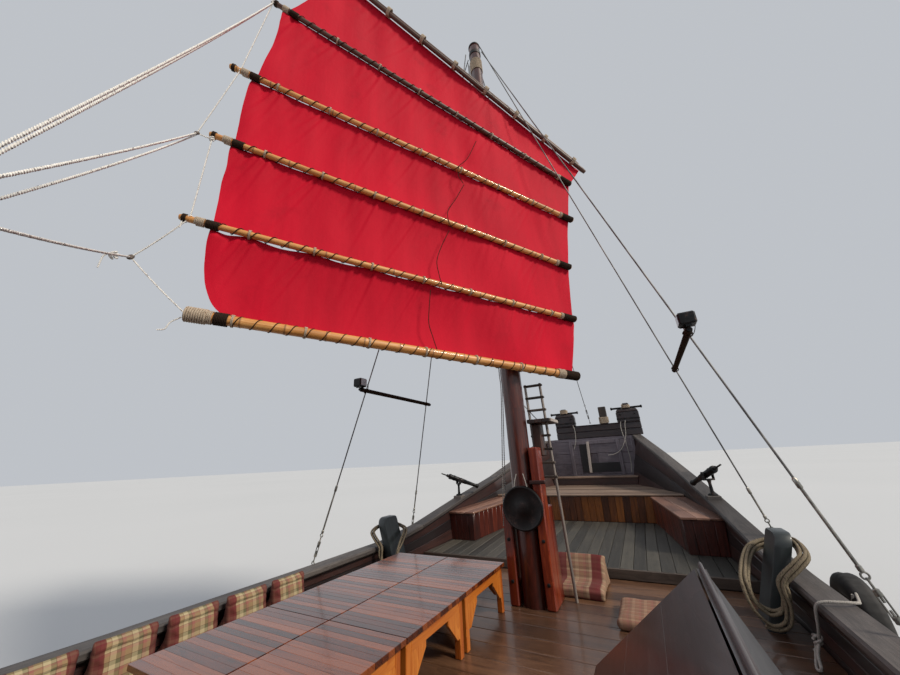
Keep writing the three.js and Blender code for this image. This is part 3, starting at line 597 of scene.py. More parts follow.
def braid(name, dark, light, fleck=None):
    """Laid or braided line: yarns run across the lay, and a fleck colour marks single yarns."""
    f = Finish(name)
    run, around, number = f.parts(f.grain())
    yarn = f.noise(f.vector(run * 90, around * 260, number), 1.0, 3.0, 0.6)
    worn = f.noise(f.vector(run * 3.1, around * 9, number), 1.0, 4.0, 0.6)
    colour = f.mix(yarn.step(0.35, 0.7) * 0.55 + worn * 0.45, tint(*dark), tint(*light))
    if fleck:
        marks = f.noise(f.vector(run * 70, around * 120, number * 2.3), 1.0, 1.0).step(0.62, 0.68)
        colour = f.mix(marks, colour, tint(*fleck))
    return f.done(Base_Color=colour, Roughness=0.8 + worn * 0.15,
                  Normal=f.bump(yarn, 0.5, 0.0012), Specular_IOR_Level=0.2)


def metal(name, base, worn, rough=0.5, metallic=0.8, rust=None, grit=0.0006):
    """Cast or drawn metal: worn lighter in patches, rusty where a finer noise is low."""
    f = Finish(name)
    patch = f.noise(f.place(), 9.0, 5.0, 0.6)
    pits = f.noise(f.place(), 70.0, 3.0, 0.6)
    colour = f.mix(patch.step(0.42, 0.66), tint(*base), tint(*worn))
    shine = metallic
    if rust:
        mask = (patch * 0.6 + pits * 0.4).step(0.54, 0.66)
        colour = f.mix(mask * 0.75, colour, tint(*rust))
        shine = (1 - mask * 0.8) * metallic
    return f.done(Base_Color=colour, Metallic=shine, Roughness=rough + (pits - 0.5) * 0.3,
                  Normal=f.bump(pits + patch * 0.5, 0.35, grit))


sail_red = canvas("sailcloth_crimson", (140, 3, 26), (206, 13, 44))
rope_cream = braid("rope_cream", (128, 110, 92), (206, 192, 172), (108, 84, 62))
rope_grey = braid("rope_grey", (112, 108, 104), (188, 184, 178))
rope_white = braid("rope_white", (202, 198, 192), (246, 244, 240), (84, 78, 80))
rope_dark = braid("rope_dark", (22, 16, 12), (58, 40, 26))
iron = metal("iron_black", (16, 17, 19), (38, 38, 40), 0.5, 0.55, (70, 42, 28))
wire = metal("wire_galvanised", (92, 92, 93), (126, 125, 122), 0.45, 0.55, (98, 74, 58))
steel = metal("steel_bright", (120, 119, 114), (178, 176, 168), 0.34, 0.75, (112, 92, 74))
bronze = metal("bronze_cast", (112, 78, 40), (168, 126, 70), 0.36, 0.95, (64, 96, 78))
print(len(bpy.data.materials), "finishes mixed")

# %% [markdown]
# ## Coiled rope on the timber heads
#
# A spare line is wound in long loops and hung over the timber head of each bulwark. At the top the
# coil passes behind the head, and the rest hangs inside the rail. One loop is a closed Catmull-Rom
# curve through a short table, and the rope follows it turn after turn. In the coil's own section
# each turn takes the next place round a small circle, so that turns lie side by side, and the later
# turns hang lower. These two are the only free cords aboard, and they are made before all else.

# %% Rope hanks
HEAD_X, HEAD_TOP, HEAD_LONG, HEAD_THICK = 2.68, 1.705, 0.28, 0.106
LOOP = np.array([  # x, distance from the middle of the boat, height
    (2.440, 1.740, 1.125), (2.430, 1.655, 1.215), (2.455, 1.640, 1.345), (2.600, 1.700, 1.450),
    (2.790, 1.785, 1.520), (2.882, 1.880, 1.560), (2.890, 2.015, 1.590), (2.800, 2.090, 1.605),
    (2.600, 2.082, 1.600), (2.460, 2.050, 1.565), (2.415, 1.975, 1.510), (2.405, 1.875, 1.410),
    (2.400, 1.870, 1.270), (2.415, 1.830, 1.160)])


def head_middle(z):
    """How far out the middle of a timber head is at height z: it leans outwards."""
    return 1.77 + (z - 1.0503) * 0.36


def on_loop(t):
    """Points of the closed Catmull-Rom curve through the table. A whole number is one turn."""
    place = (np.asarray(t) % 1) * len(LOOP)
    k, u = place.astype(int) % len(LOOP), (place % 1)[:, None]
    a, b, c, d = (LOOP[(k + n) % len(LOOP)] for n in (-1, 0, 1, 2))
    return 0.5 * (2 * b + (c - a) * u + (2 * a - 5 * b + 4 * c - d) * u ** 2
                  + (3 * b - a - 3 * c + d) * u ** 3)


def hank_route(radius, turns, places):
    """The loop turn after turn. The offset's angle grows by one place of the circle in a turn, and
    below the rail the height is scaled by a share that grows from 0.62 to 1."""
    t = np.linspace(0.06, turns + 0.02, int(turns * 90))
    middle = on_loop(t)
    run = unit(on_loop(t + 0.004) - on_loop(t - 0.004))
    out = middle - LOOP.mean(0)
    out = unit(out - run * np.sum(out * run, -1)[:, None])
    side = np.cross(run, out)
    angle = 2 * math.pi * t / places
    ring = radius * 1.04 / math.sin(math.pi / places)
    share = 0.62 + 0.38 * t / turns + 0.03 * np.sin(t * 4.1)
    hang = np.clip((1.46 - middle[:, 2]) / 0.10, 0, 1)[:, None]
    scale = 1 - hang * (1 - np.clip(share, 0, 1)[:, None])
    pivot = np.array([0, 1.80, 1.46])
    middle = (middle - pivot) * np.concatenate(
        [np.ones_like(scale), 1 - (1 - scale) * 0.35, scale], 1) + pivot
    return middle + ring * (np.cos(angle)[:, None] * out + np.sin(angle)[:, None] * side)


def add_hank(where, side, radius, turns, places):
    """A hank on one side of the boat."""
    name, line = f"rope_coil_{where}", hank_route(radius, turns, places) * (1, side, 1)
    line = resampled(line, radius)
    outwards = line - LOOP.mean(0) * (1, side, 1)
    shape = swept(line, strands(radius, 10), up=outwards, twist=math.pi / (3.6 * radius))
    hank = add_piece(name, shape, rope_hank, replaces=[f"rope_hank_{where}"], sharp=60)


rope_hank = braid("rope_hank", (74, 64, 54), (146, 134, 112), (52, 44, 38))
add_hank("starboard", -1, 0.0125, 6, 6)
add_hank("port", 1, 0.0110, 4, 5)

# %% [markdown]
# ## The mainsail's own plane
#
# A junk sail is a fan of flat spars hinged on the mast's side, so everything on
# it is easiest to place in the sail's own plane: u runs from the mast to the
# after edge, w comes off the plane and z is height. One function turns those
# into boat coordinates. The cloth hangs on the after starboard side of the mast,
# and each spar lies on the cloth's outer face.

# %% Sail plane and spars
def sail_frame(mast_x, swing):
    """A function from (u, w, z) to the boat: mast plus u along the sail plus w across it."""
    a = math.radians(swing)
    along = np.array([math.cos(a), math.sin(a), 0])
    across = np.array([-math.sin(a), math.cos(a), 0])

    def place(u, w, z):
        u, w, z = np.broadcast_arrays(*(np.asarray(v, float) for v in (u, w, z)))
        return (np.array([mast_x, 0, 0]) + u[..., None] * along + w[..., None] * across
                + z[..., None] * (0, 0, 1))

    return place


main_at = sail_frame(2.42, 141.5)
MAIN_CLOTH_W, CLOTH_THICK = 0.165, 0.0035
MAIN_SPARS = {  # u and z at the mast end, u and z at the after end, radius
    "boom": (-0.815, 3.240, 3.130, 3.550, 0.045),
    "batten_1": (-0.957, 4.010, 3.340, 4.450, 0.034),
    "batten_2": (-1.048, 4.810, 3.290, 5.460, 0.034),
    "batten_3": (-1.275, 5.680, 3.280, 6.480, 0.034),
    "batten_4": (-1.400, 6.420, 3.030, 7.860, 0.034),
    "yard": (-1.765, 6.820, 3.000, 9.500, 0.055)}
ON_CLOTH = 0.0043


def spar_z(spar, u):
    u0, z0, u1, z1, _ = spar
    return z0 + (z1 - z0) * (u - u0) / (u1 - u0)


def spar_w(spar, cloth_w=MAIN_CLOTH_W):
    return cloth_w + ON_CLOTH + spar[4]


def sheet_of(points, thickness, grain):
    """A grid of points as thin closed cloth: each side half the thickness off along the grid's
    normal, and a rim of quads round the edge."""
    down, right = np.gradient(points, axis=0), np.gradient(points, axis=1)
    off = unit(np.cross(right, down)) * thickness / 2
    rows, columns = points.shape[:2]
    f, n = grid_faces(rows, columns), rows * columns
    index = np.arange(n).reshape(rows, columns)
    edge = np.concatenate([index[0, :-1], index[:-1, -1], index[-1, :0:-1], index[:0:-1, 0]])
    after = np.roll(edge, -1)
    rim = np.stack([edge, after, after + n, edge + n], -1)
    return outward(Shape(np.stack([points + off, points - off]),
                         [f[:, ::-1], f + n, rim[:, ::-1]], np.stack([grain, grain])))


print("boom rides", round(spar_w(MAIN_SPARS["boom"]), 3), "m off the mast's axis")

# %% [markdown]
# ## Five panels of cloth
#
# Each bay between two spars is its own panel, laced to the bamboo above and
# below it, which is why sky shows in shallow scallops under a batten. The wind
# presses the cloth onto the mast, so a ridge stands where the mast is and the
# cloth hollows on both sides of it. From every tie a few sharp folds slant down
# towards the after edge, and slow waves hang between. All of these are formulas
# of u and of the height in the bay, so the folds line up with the ties.

# %% Panels of the mainsail
TIE_PITCH = 0.56


def ripple(a, b, waves=5, shift=0.0):
    """Smooth uneven waves: a mean of sines whose directions and phases step by the golden angle."""
    k = np.arange(1, waves + 1)
    turn = k * 2.39996 + shift

    def wave(rate, t):
        return np.sin(a * math.cos(t) * rate + b * math.sin(t) * rate + 1.7 * t)

    return sum(wave(1 + 0.31 * n, t) for n, t in zip(k, turn)) / waves


FOLDS = ((0.0, 1.0, 1.0), (0.055, 1.35, 0.6), (-0.065, 0.7, 0.8))  # shift, slant, length


def creases(u, below, ties, lean, width, reach):
    """Folds from each tie: a bell across each slanting fold line, fading with depth below. A sine
    of the tie's number sets how strong each one is, so no two ties look alike."""
    total = 0.0
    for n, (shift, slant, long) in enumerate(FOLDS):
        power = 0.6 + 0.4 * np.sin(2.4 * np.arange(len(ties)) + 1.9 * n)
        off = u[..., None] - ties - shift - lean * slant * below[..., None]
        bell = np.exp(-(off / width) ** 2) - 0.6 * np.exp(-((off - 1.9 * width) / width) ** 2)
        total = total + (bell * power).sum(-1) * np.exp(-below / (reach * long))
    return total * np.clip(below / 0.06, 0, 1)


def cloth_panel(low, high, foot, head, luff=(), leech=(), scallop=0.014, leech_scallop=0.0,
                number=0, cloth_w=MAIN_CLOTH_W, belly=0.055, mast_half=0.16, columns=260, rows=46,
                lean=0.5, tie_pitch=TIE_PITCH, drop=0.004):
    """Points (row, column) of one bay. Row runs from the lower spar to the upper and column from
    the mast's side to the after edge. Each side edge is a curve through its own points."""
    s, t = np.linspace(0, 1, columns)[None, :], np.linspace(0, 1, rows)[:, None]

    def edge(points, k):
        q = resampled(np.array([[foot[k], spar_z(low, foot[k]), 0], *[(*p, 0) for p in points],
                                [head[k], spar_z(high, head[k]), 0]]), 0.02)
        along = lengths(q) / lengths(q)[-1]
        return np.interp(t[:, 0], along, q[:, 0]), np.interp(t[:, 0], along, q[:, 1])

    (u0, z0), (u1, z1) = edge(luff, 0), edge(leech, 1)
    u = u0[:, None] * (1 - s) + u1[:, None] * s
    under = spar_z(high, u) - drop
    near_end = np.clip((u1[:, None] - u) / 0.14, 0, 1)
    hang = (0.5 - 0.5 * np.cos(2 * math.pi * u / tie_pitch)) * near_end
    near_leech = np.clip((s - 0.55) / 0.45, 0, 1) ** 2
    under = under - hang * (scallop + leech_scallop * near_leech)
    over = spar_z(low, u) + 0.010
    z = over * (1 - t) + under * t
    for ue, ze, share in ((u0, z0, 1 - s), (u1, z1, s)):
        z = z + (ze - spar_z(low, ue) * (1 - t[:, 0]) - spar_z(high, ue) * t[:, 0])[:, None] * share
    below = np.maximum(under - z, 0)
    off_mast = np.clip((np.abs(u) - mast_half) / 0.42, 0, 1)
    off_mast = off_mast * off_mast * (3 - 2 * off_mast)
    arch = np.sin(math.pi * t)
    bulge = arch ** 0.8 * off_mast * np.sin(math.pi * np.clip(s, 0.02, 0.98)) ** 0.5
    ties = np.arange(-4, 8) * tie_pitch
    w = cloth_w - belly * bulge + 0.012 * arch * np.exp(-(u / 0.17) ** 2)
    above = np.clip(t / 0.12, 0, 1)
    w = w + 0.028 * creases(u, below, ties, lean, 0.019, 0.34) * (0.35 + 0.65 * s) * above
    w = w + 0.018 * creases(u, below, ties + 0.24, lean * 0.8, 0.03, 0.22) * above
    corner = np.array([u1[-1] - 0.30, u1[-1] - 0.05])
    w = w + 0.038 * creases(u, below, corner, lean * 0.7, 0.055, 0.45) * above
    w = w + 0.010 * ripple(u * 9, z * 1.3, 4, number) * arch ** 0.5 * (0.4 + off_mast)
    edge_curl = np.exp(-(u1[:, None] - u) / 0.12) + 0.6 * np.exp(-(u - u0[:, None]) / 0.10)
    w = w + 0.012 * edge_curl * np.sin(7 * z + number)
    grain = grain_of(u, z, number)
    return u, np.where(np.abs(u) < mast_half, np.maximum(w, cloth_w), w), z, grain


def flat_size(u, z):
    """Width and height of the cut cloth, and its area as the sum of its grid's cells."""
    du, dz = np.diff(u, axis=1)[:-1], np.diff(z, axis=0)[:, :-1]
    area = float(np.abs(du * dz - np.diff(u, axis=0)[:, :-1] * np.diff(z, axis=1)[:-1]).sum())
    return float(u.max() - u.min()), float(z.max() - z.min()), area


def add_panels(names, place, panels, body, node):
    """Adds a row of panels and prints each one's flat width, height and area."""
    for name, (u, w, z, grain) in zip(names, panels):
        piece = add_piece(name, sheet_of(place(u, w, z), CLOTH_THICK, grain), sail_red, body,
                          replaces=[node], sharp=80)
        wide, tall, area = flat_size(u, z)
        print(f"{name}: {wide:.2f} x {tall:.2f} m, {area:.2f} square metres")


S = MAIN_SPARS
main_panels = [
    cloth_panel(S["boom"], S["batten_1"], (-0.770, 2.82), (-0.957, 3.115),
                leech=[(2.961, 3.647), (3.032, 3.776), (3.080, 3.931), (3.114, 4.165)],
                leech_scallop=0.034, drop=0.010, number=1),
    cloth_panel(S["batten_1"], S["batten_2"], (-0.957, 3.100), (-1.048, 3.113),
                leech=[(3.110, 4.68), (3.122, 4.95), (3.110, 5.18)], scallop=0.005,
                leech_scallop=0.012, number=2),
    cloth_panel(S["batten_2"], S["batten_3"], (-1.048, 3.090), (-1.236, 3.076),
                leech=[(3.097, 5.84), (3.093, 6.19)], scallop=0.007, leech_scallop=0.008,
                number=3),
    cloth_panel(S["batten_3"], S["batten_4"], (-1.236, 3.040), (-1.400, 2.915),
                leech=[(2.964, 7.02), (2.934, 7.39)], scallop=0.0, number=4),
    cloth_panel(S["batten_4"], S["yard"], (-1.400, 2.904), (-1.700, 2.700), scallop=0.0,
                leech=[(2.740, 8.14), (2.640, 8.40), (2.630, 8.85)], number=5)]
add_panels([f"sail_panel_{k}" for k in (1, 2, 3, 4, 5)], main_at, main_panels, "mainsail",
           "sail_cloth")

# %% [markdown]
# ## Bamboo spars and their lashings
#
# The boom and the three lower battens are bamboo poles, golden, with a ring at
# each joint of the cane. A dark line is wound along each one in an open spiral
# and holds the cloth's edge to it, and the ends are served with tight turns of
# cream and black cord. The fourth batten is a dark pole, and the yard is two of
# them side by side.

# %% Bamboo
CANE_JOINT = 0.34  # metres from one joint of the cane to the next


def bamboo_finish():
    """Cane: pale gold with long fibres, and a dark ring wherever the joint number passes whole."""
    f = Finish("bamboo_cane")
    run, across, number = f.parts(f.grain())
    fibre = f.noise(f.vector(run * 1.5, across * 90, number), 1.0, 4.0)
    patch = f.noise(f.vector(run * 2.5, across * 8, number * 3), 1.0, 3.0)
    joint = (run / CANE_JOINT + number * 0.37).fract()
    ring = 1 - (joint - 0.5).maths("ABSOLUTE").step(0.0, 0.035)
    colour = f.ramp(fibre * 0.5 + patch * 0.5, (0.25, tint(128, 74, 30)), (0.5, tint(190, 130, 66)),
                    (0.75, tint(222, 176, 112)))
    colour = f.mix(ring * 0.75, colour, tint(86, 54, 30))
    return f.done(Base_Color=colour, Roughness=0.34 + patch * 0.2,
                  Normal=f.bump(fibre, 0.25, 0.0008), Coat_Weight=0.25)


cane = bamboo_finish()


def pole(start, end, radius, thin=0.82, number=0.0, joints=True, sides=20):
    """A pole that tapers to its after end. Bamboo swells by a twelfth at every joint."""
    length = float(np.linalg.norm(np.subtract(end, start)))
    t = np.linspace(0, 1, int(length / (0.017 if joints else 0.06)) + 2)
    path = np.asarray(start) * (1 - t[:, None]) + np.asarray(end) * t[:, None]
    phase = (t * length / CANE_JOINT + number * 0.37) % 1 - 0.5
    swell = 1 + 0.085 * np.exp(-(phase * CANE_JOINT / 0.009) ** 2) if joints else 1.0
    size = (1 - (1 - thin) * t) * swell
    size[[0, -1]] *= 0.8
    return swept(path, circle(radius, sides), size=size, number=number)


def spiral(start, end, radius, cord, pitch, number=0.0, sides=6, steps=13, phase=0.0):
    """A cord wound round a straight spar: a helix a cord's radius off the surface."""
    start, end = np.asarray(start, float), np.asarray(end, float)
    length = float(np.linalg.norm(end - start))
    axis = (end - start) / length
    side = unit(np.cross(axis, (0, 0, 1.0) if abs(axis[2]) < 0.9 else (1.0, 0, 0)))
    lift = np.cross(side, axis)
    t = np.linspace(0, 1, int(length / pitch * steps) + 2)[:, None]
    a = 2 * math.pi * t * length / pitch + phase
    path = start + axis * length * t + (side * np.cos(a) + lift * np.sin(a)) * (radius + cord)
    return swept(path, circle(cord, sides), up=axis, number=number)


def spar_line(place, spar, cloth_w=MAIN_CLOTH_W):
    """The spar's axis on the boat as a function of u."""
    return lambda u: place(u, spar_w(spar, cloth_w), spar_z(spar, u))


def served(line, u0, u1, radius, cord, number=0.0):
    """Cord wound tightly round a spar from u0 to u1, turn against turn."""
    return spiral(line(u0), line(u1), radius, cord, cord * 2.05, number, steps=12)


def ties(line, places, radius, cord=0.0045, number=0.0):
    """Short lashings of three turns round the spar, one at each place."""
    return joined(*[served(line, u - 0.011, u + 0.011, radius + 0.002, cord, number + k)
                    for k, u in enumerate(places)])


def dress_spar(name, place, spar, body, node, cloth_w=MAIN_CLOTH_W, finish=cane, pitch=0.14,
               thin=0.82, joints=True, number=0, end=0.30):
    """A pole with its spiral lashing, served ends and white ties."""
    u0, _, u1, _, r = spar
    line = spar_line(place, spar, cloth_w)
    add_piece(name, pole(line(u0), line(u1), r, thin, number, joints), finish, body,
              replaces=[node])
    at = lambda u: r * (1 - (1 - thin) * (u - u0) / (u1 - u0))
    add_piece(name + "_spiral", joined(
        spiral(line(u0 + end), line(u1 - end), at(u0) * 0.97, 0.0045, pitch, number),
        served(line, u0 + 0.012, u0 + 0.20, at(u0), 0.0055),
        served(line, u1 - 0.055, u1 - 0.02, at(u1), 0.0055),
        served(line, u1 - 0.30, u1 - 0.20, at(u1) * 1.04, 0.0055)), rope_dark, body)
    add_piece(name + "_ties", joined(
        served(line, u1 - 0.19, u1 - 0.12, at(u1) * 1.04, 0.006),
        served(line, u0 + 0.21, u0 + 0.25, at(u0), 0.005),
        ties(line, np.arange(math.ceil((u0 + end) / TIE_PITCH), (u1 - end) / TIE_PITCH)
             * TIE_PITCH, r * 0.98)), rope_cream, body)


for number, name in enumerate(("boom", "batten_1", "batten_2", "batten_3")):
    dress_spar(f"bamboo_{name}", main_at, MAIN_SPARS[name], "mainsail", f"sail_{name}",
               number=number, thin=1.0 if name == "boom" else 0.86)
dress_spar("pole_batten_4", main_at, MAIN_SPARS["batten_4"], "mainsail", "sail_batten_4",
           finish=spar_dark, joints=False, number=5)

# %% Yard of two poles
def yard_of_two(name, place, spar, body, node, cloth_w=MAIN_CLOTH_W, number=7):
    """Two thin poles a diameter apart, lashed together every half metre."""
    u0, _, u1, _, r = spar
    line = spar_line(place, spar, cloth_w)
    rise = np.array([0, 0, r * 0.52])
    add_piece(name, joined(pole(line(u0) - rise, line(u1) - rise, r * 0.62, 0.8, number, False),
                           pole(line(u0 + 0.12) + rise, line(u1 - 0.2) + rise, r * 0.46, 0.8,
                                number + 1, False)), spar_dark, body,
              replaces=[node])
    add_piece(name + "_lashings", joined(*[
        served(line, u, u + 0.05, r, 0.005, k)
        for k, u in enumerate(np.arange(u0 + 0.2, u1 - 0.3, 0.52))]), rope_cream, body)


yard_of_two("yard_poles", main_at, MAIN_SPARS["yard"], "mainsail", "sail_yard")

# %% [markdown]
# ## The hull's form
#
# The frame's hull was lofted through sixteen stations. The same table is kept
# here in metres, because every plank, rail and deck board has to run along that
# form. Between two stations everything is straight, and at a station the side is
# a flat floor, a round bilge and a topside that leans outwards.

# %% Stations
STATIONS = np.array([  # x, deck, half width at the rail, rail, keel, flat share, flare
    [-8.40, 1.70, 1.500, 2.72, 0.15, 0.55, 0.13], [-7.30, 1.70, 1.690, 2.45, -0.26, 0.40, 0.11],
    [-6.00, 1.70, 1.850, 2.20, -0.72, 0.24, 0.09], [-4.62, 1.70, 1.952, 1.96, -0.98, 0.14, 0.07],
    [-4.60, 1.00, 1.953, 1.957, -0.98, 0.14, 0.07], [-3.20, 1.00, 2.040, 1.59, -1.06, 0.12, 0.06],
    [-1.75, 1.00, 2.080, 1.37, -1.09, 0.12, 0.06], [0.00, 1.00, 2.090, 1.34, -1.10, 0.12, 0.06],
    [1.50, 1.00, 2.090, 1.34, -1.10, 0.12, 0.06], [2.70, 1.00, 2.080, 1.35, -1.10, 0.13, 0.07],
    [3.40, 1.01, 2.015, 1.45, -1.08, 0.15, 0.08], [4.50, 1.07, 1.880, 1.70, -1.00, 0.20, 0.10],
    [5.70, 1.15, 1.725, 1.95, -0.76, 0.32, 0.13], [6.70, 1.19, 1.485, 2.27, -0.33, 0.48, 0.16],
    [7.50, 1.22, 1.260, 2.54, 0.20, 0.62, 0.18], [8.08, 1.24, 1.140, 2.69, 0.85, 0.80, 0.19]])
STERN_X, BOW_X, BULWARK, RAIL_WIDE, RAIL_THICK = -8.40, 8.08, 0.08, 0.20, 0.06
PORT, STARBOARD = 1, -1
MAIN_Z, POOP_Z, FORE_X, PLATFORM_X, PLATFORM_Z = 1.05, 1.75, 3.40, 5.70, 1.685
GUN_X, GUN_PAD = 4.48, 0.03  # where the guns stand, and how far their pads rise over the cap


def station(x):
    """The six numbers of the hull's form at x, straight between stations."""
    return [np.interp(x, STATIONS[:, 0], column) for column in STATIONS.T[1:]]


def hull_half(x, z):
    """Half width of the hull's skin at height z, and of the bulwark above the deck's edge."""
    deck, half, rail, keel, flat, flare = station(x)

    def below(level):
        h = np.clip((level - keel) / (rail - keel), 0, 1)
        return half * (flat + (1 - flat) * (1 - (1 - h) ** 3.4) ** 0.8) - flare * (rail - level)

    foot = below(deck)
    above = foot + (half - foot) * np.clip((z - deck) / (rail - deck), 0, 1)
    return np.where(z < deck, below(z), above)


def inner_half(x, z):
    """Half width between the bulwarks' inner faces at height z."""
    return hull_half(x, np.maximum(z, station(x)[0] + 1e-6)) - BULWARK


def fixed(value):
    """A function that gives the same value everywhere."""
    return lambda *at: value


def fitted(x0, x1, z_low, z_high, y_low, y_high):
    """Corners of planks that fit a curved boat. Heights are functions of x, and sides are
    functions of x and z, so each corner lands on the form it has to meet."""
    x = np.stack([np.atleast_1d(x0), np.atleast_1d(x1)], -1).astype(float)[:, :, None, None]
    top, out = np.reshape([0, 1], (1, 1, 1, 2)), np.reshape([0, 1], (1, 1, 2, 1))
    z = z_low(x) * (1 - top) + z_high(x) * top
    y = y_low(x, z) * (1 - out) + y_high(x, z) * out
    return np.stack(np.broadcast_arrays(x, y, z), -1)


def plate(outline, axis, low, high, bevel=0.006, number=0.0):
    """A flat board of any outline, cut along one axis from low to high, with its edges taken off:
    four rings of the outline, the first and last drawn in by the bevel."""
    p = np.asarray(outline, float)
    if (p[:, 0] * np.roll(p[:, 1], -1) - np.roll(p[:, 0], -1) * p[:, 1]).sum() < 0:
        p = p[::-1]
    ahead, behind = unit(np.roll(p, -1, 0) - p), unit(p - np.roll(p, 1, 0))
    normal = np.stack([-(ahead + behind)[:, 1], (ahead + behind)[:, 0]], -1)
    inward = normal / np.maximum((normal ** 2).sum(-1, keepdims=True), 0.3) * bevel
    rings = [p + inward, p, p, p + inward]
    levels = [low, low + bevel, high - bevel, high]
    axes = {"x": (1, 2, 0), "y": (2, 0, 1)}[axis]
    points = np.zeros((4, len(p), 3))
    for k, (ring, level) in enumerate(zip(rings, levels)):
        points[k][:, axes[0]], points[k][:, axes[1]], points[k][:, axes[2]] = *ring.T, level
    grain = points[:, :, list(axes)]
    grain[..., 2] = number
    return flipped(tube(points, grain))


print("rail at x = 0 is", float(hull_half(0.0, 1.34)), "m from the centreline")

# %% [markdown]
# ## Strakes
#
# The skin is planked with long strakes that run from bow to stern and narrow
# towards both ends, because they share out a girth that shrinks. The frame's
# plain hull stays as what they are nailed to. Each strake is a thin skewed tube:
# its four long edges lie on the hull's form, or a plank's thickness off it. The
# seams between them catch the light far better than painted lines would.

# %% Hull strakes and wales
def side_point(x, v, off):
    """The hull's skin at share v of the height from keel to rail, moved off along its normal."""
    _, _, rail, keel, _, _ = station(x)
    z = keel + (rail - keel) * v
    y = hull_half(x, z)
    step = 0.004
    dy, dz = hull_half(x, z + step) - hull_half(x, z - step), 2 * step
    size = np.hypot(dy, dz)
    return np.stack([x, y + off * dz / size, z - off * dy / size], -1)


def strake(v0, v1, thick, number, x0=STERN_X + 0.01, x1=BOW_X - 0.005, seam=0.005, steps=110):
    """One plank from stern to bow between two shares of the height, v0 and v1."""
    x = np.linspace(x0, x1, steps)
    _, _, rail, keel, _, _ = station(x)
    gap = seam / (rail - keel)
    edge = 0.3 * thick / (rail - keel)
    rows = [(v0 + gap, -0.02), (v0 + gap, thick * 0.7), (v0 + gap + edge, thick),
            (v1 - gap - edge, thick), (v1 - gap, thick * 0.7), (v1 - gap, -0.02)]
    points = np.stack([side_point(x, v, off) for v, off in rows], 1)
    width = np.array([0, 0, 0.003, *[(v1 - v0) * 2.2] * 3])
    return tube(points, grain_of(x[:, None], width[None], number))


STRAKE_EDGES = 0.10 + 0.90 * np.linspace(0, 1, 16) ** 0.92
hull_side = outward(joined(*[strake(a, b, 0.012, k) for k, (a, b) in
                             enumerate(zip(STRAKE_EDGES[:-1], STRAKE_EDGES[1:]))]))
wale_side = outward(joined(strake(0.640, 0.685, 0.045, 31), strake(0.755, 0.775, 0.035, 32)))
PLANK_LONG = 2.3  # metres from one butt to the next


def hull_paint(name):
    """Oiled dark planks above the water, and dull red bottom paint below a wavering line."""
    f = Finish(name)
    run, across, number = f.parts(f.grain())
    height = f.parts(f.place())[2]
    fibre = f.noise(f.vector(run * 1.8, across * 45, number * 5.3), 1.0, 5.0, 0.62)
    board = f.lottery(number * 3.7 + (run / PLANK_LONG).maths("FLOOR") * 1.9)
    stain = f.noise(f.place((0.8, 0.8, 3.0)), 1.6, 4.0, 0.6)
    tone = fibre * 0.55 + stain * 0.35 + (board - 0.5) * 0.35
    wood_tone = f.ramp(tone, (0.2, tint(34, 22, 18)), (0.45, tint(72, 42, 30)),
                       (0.75, tint(112, 72, 50)))
    butt = (run / PLANK_LONG + number * 0.37).fract()
    seam = 1 - butt.step(0.0, 0.004)
    wood_tone = f.mix(seam * 0.8, wood_tone, tint(18, 14, 12))
    paint = f.mix(stain.step(0.35, 0.7), tint(84, 28, 22), tint(112, 44, 34))
    wet = 1 - (height + fibre * 0.03).step(0.055, 0.075)
    damp = 1 - (height + stain * 0.2).step(0.1, 0.38)
    colour = f.mix(damp * 0.45, wood_tone, tint(30, 28, 22))
    colour = f.mix(wet, colour, paint)
    return f.done(Base_Color=colour, Roughness=0.5 + stain * 0.22,
                  Normal=f.bump(fibre + seam * -0.5, 0.5, 0.0015), Coat_Weight=0.15)


def add_pair(name, shape, finish, node=None):
    """A piece on each side of the boat, the port one first, in place of the pair of nodes."""
    for side, half in (("port", shape), ("starboard", mirrored(shape))):
        add_piece(f"{name}_{side}", half, finish, replaces=[f"{node}_{side}"] if node else ())


hull_wood = hull_paint("hull_planks")
add_pair("hull_strakes", hull_side, hull_wood)
add_piece("hull_wales", joined(wale_side, mirrored(wale_side)), timber_dark)

# %% [markdown]
# ## Bulwarks, cap rails and timber heads
#
# Above the deck the side goes on as a plank wall, and here both of its faces
# show. So the frame's bulwark is replaced by planks as thick as it is, on a thin
# core that closes the seams. The cap rail lies in lengths butted end to end,
# pale where hands and ropes have rubbed it. The timber heads stand up through it.

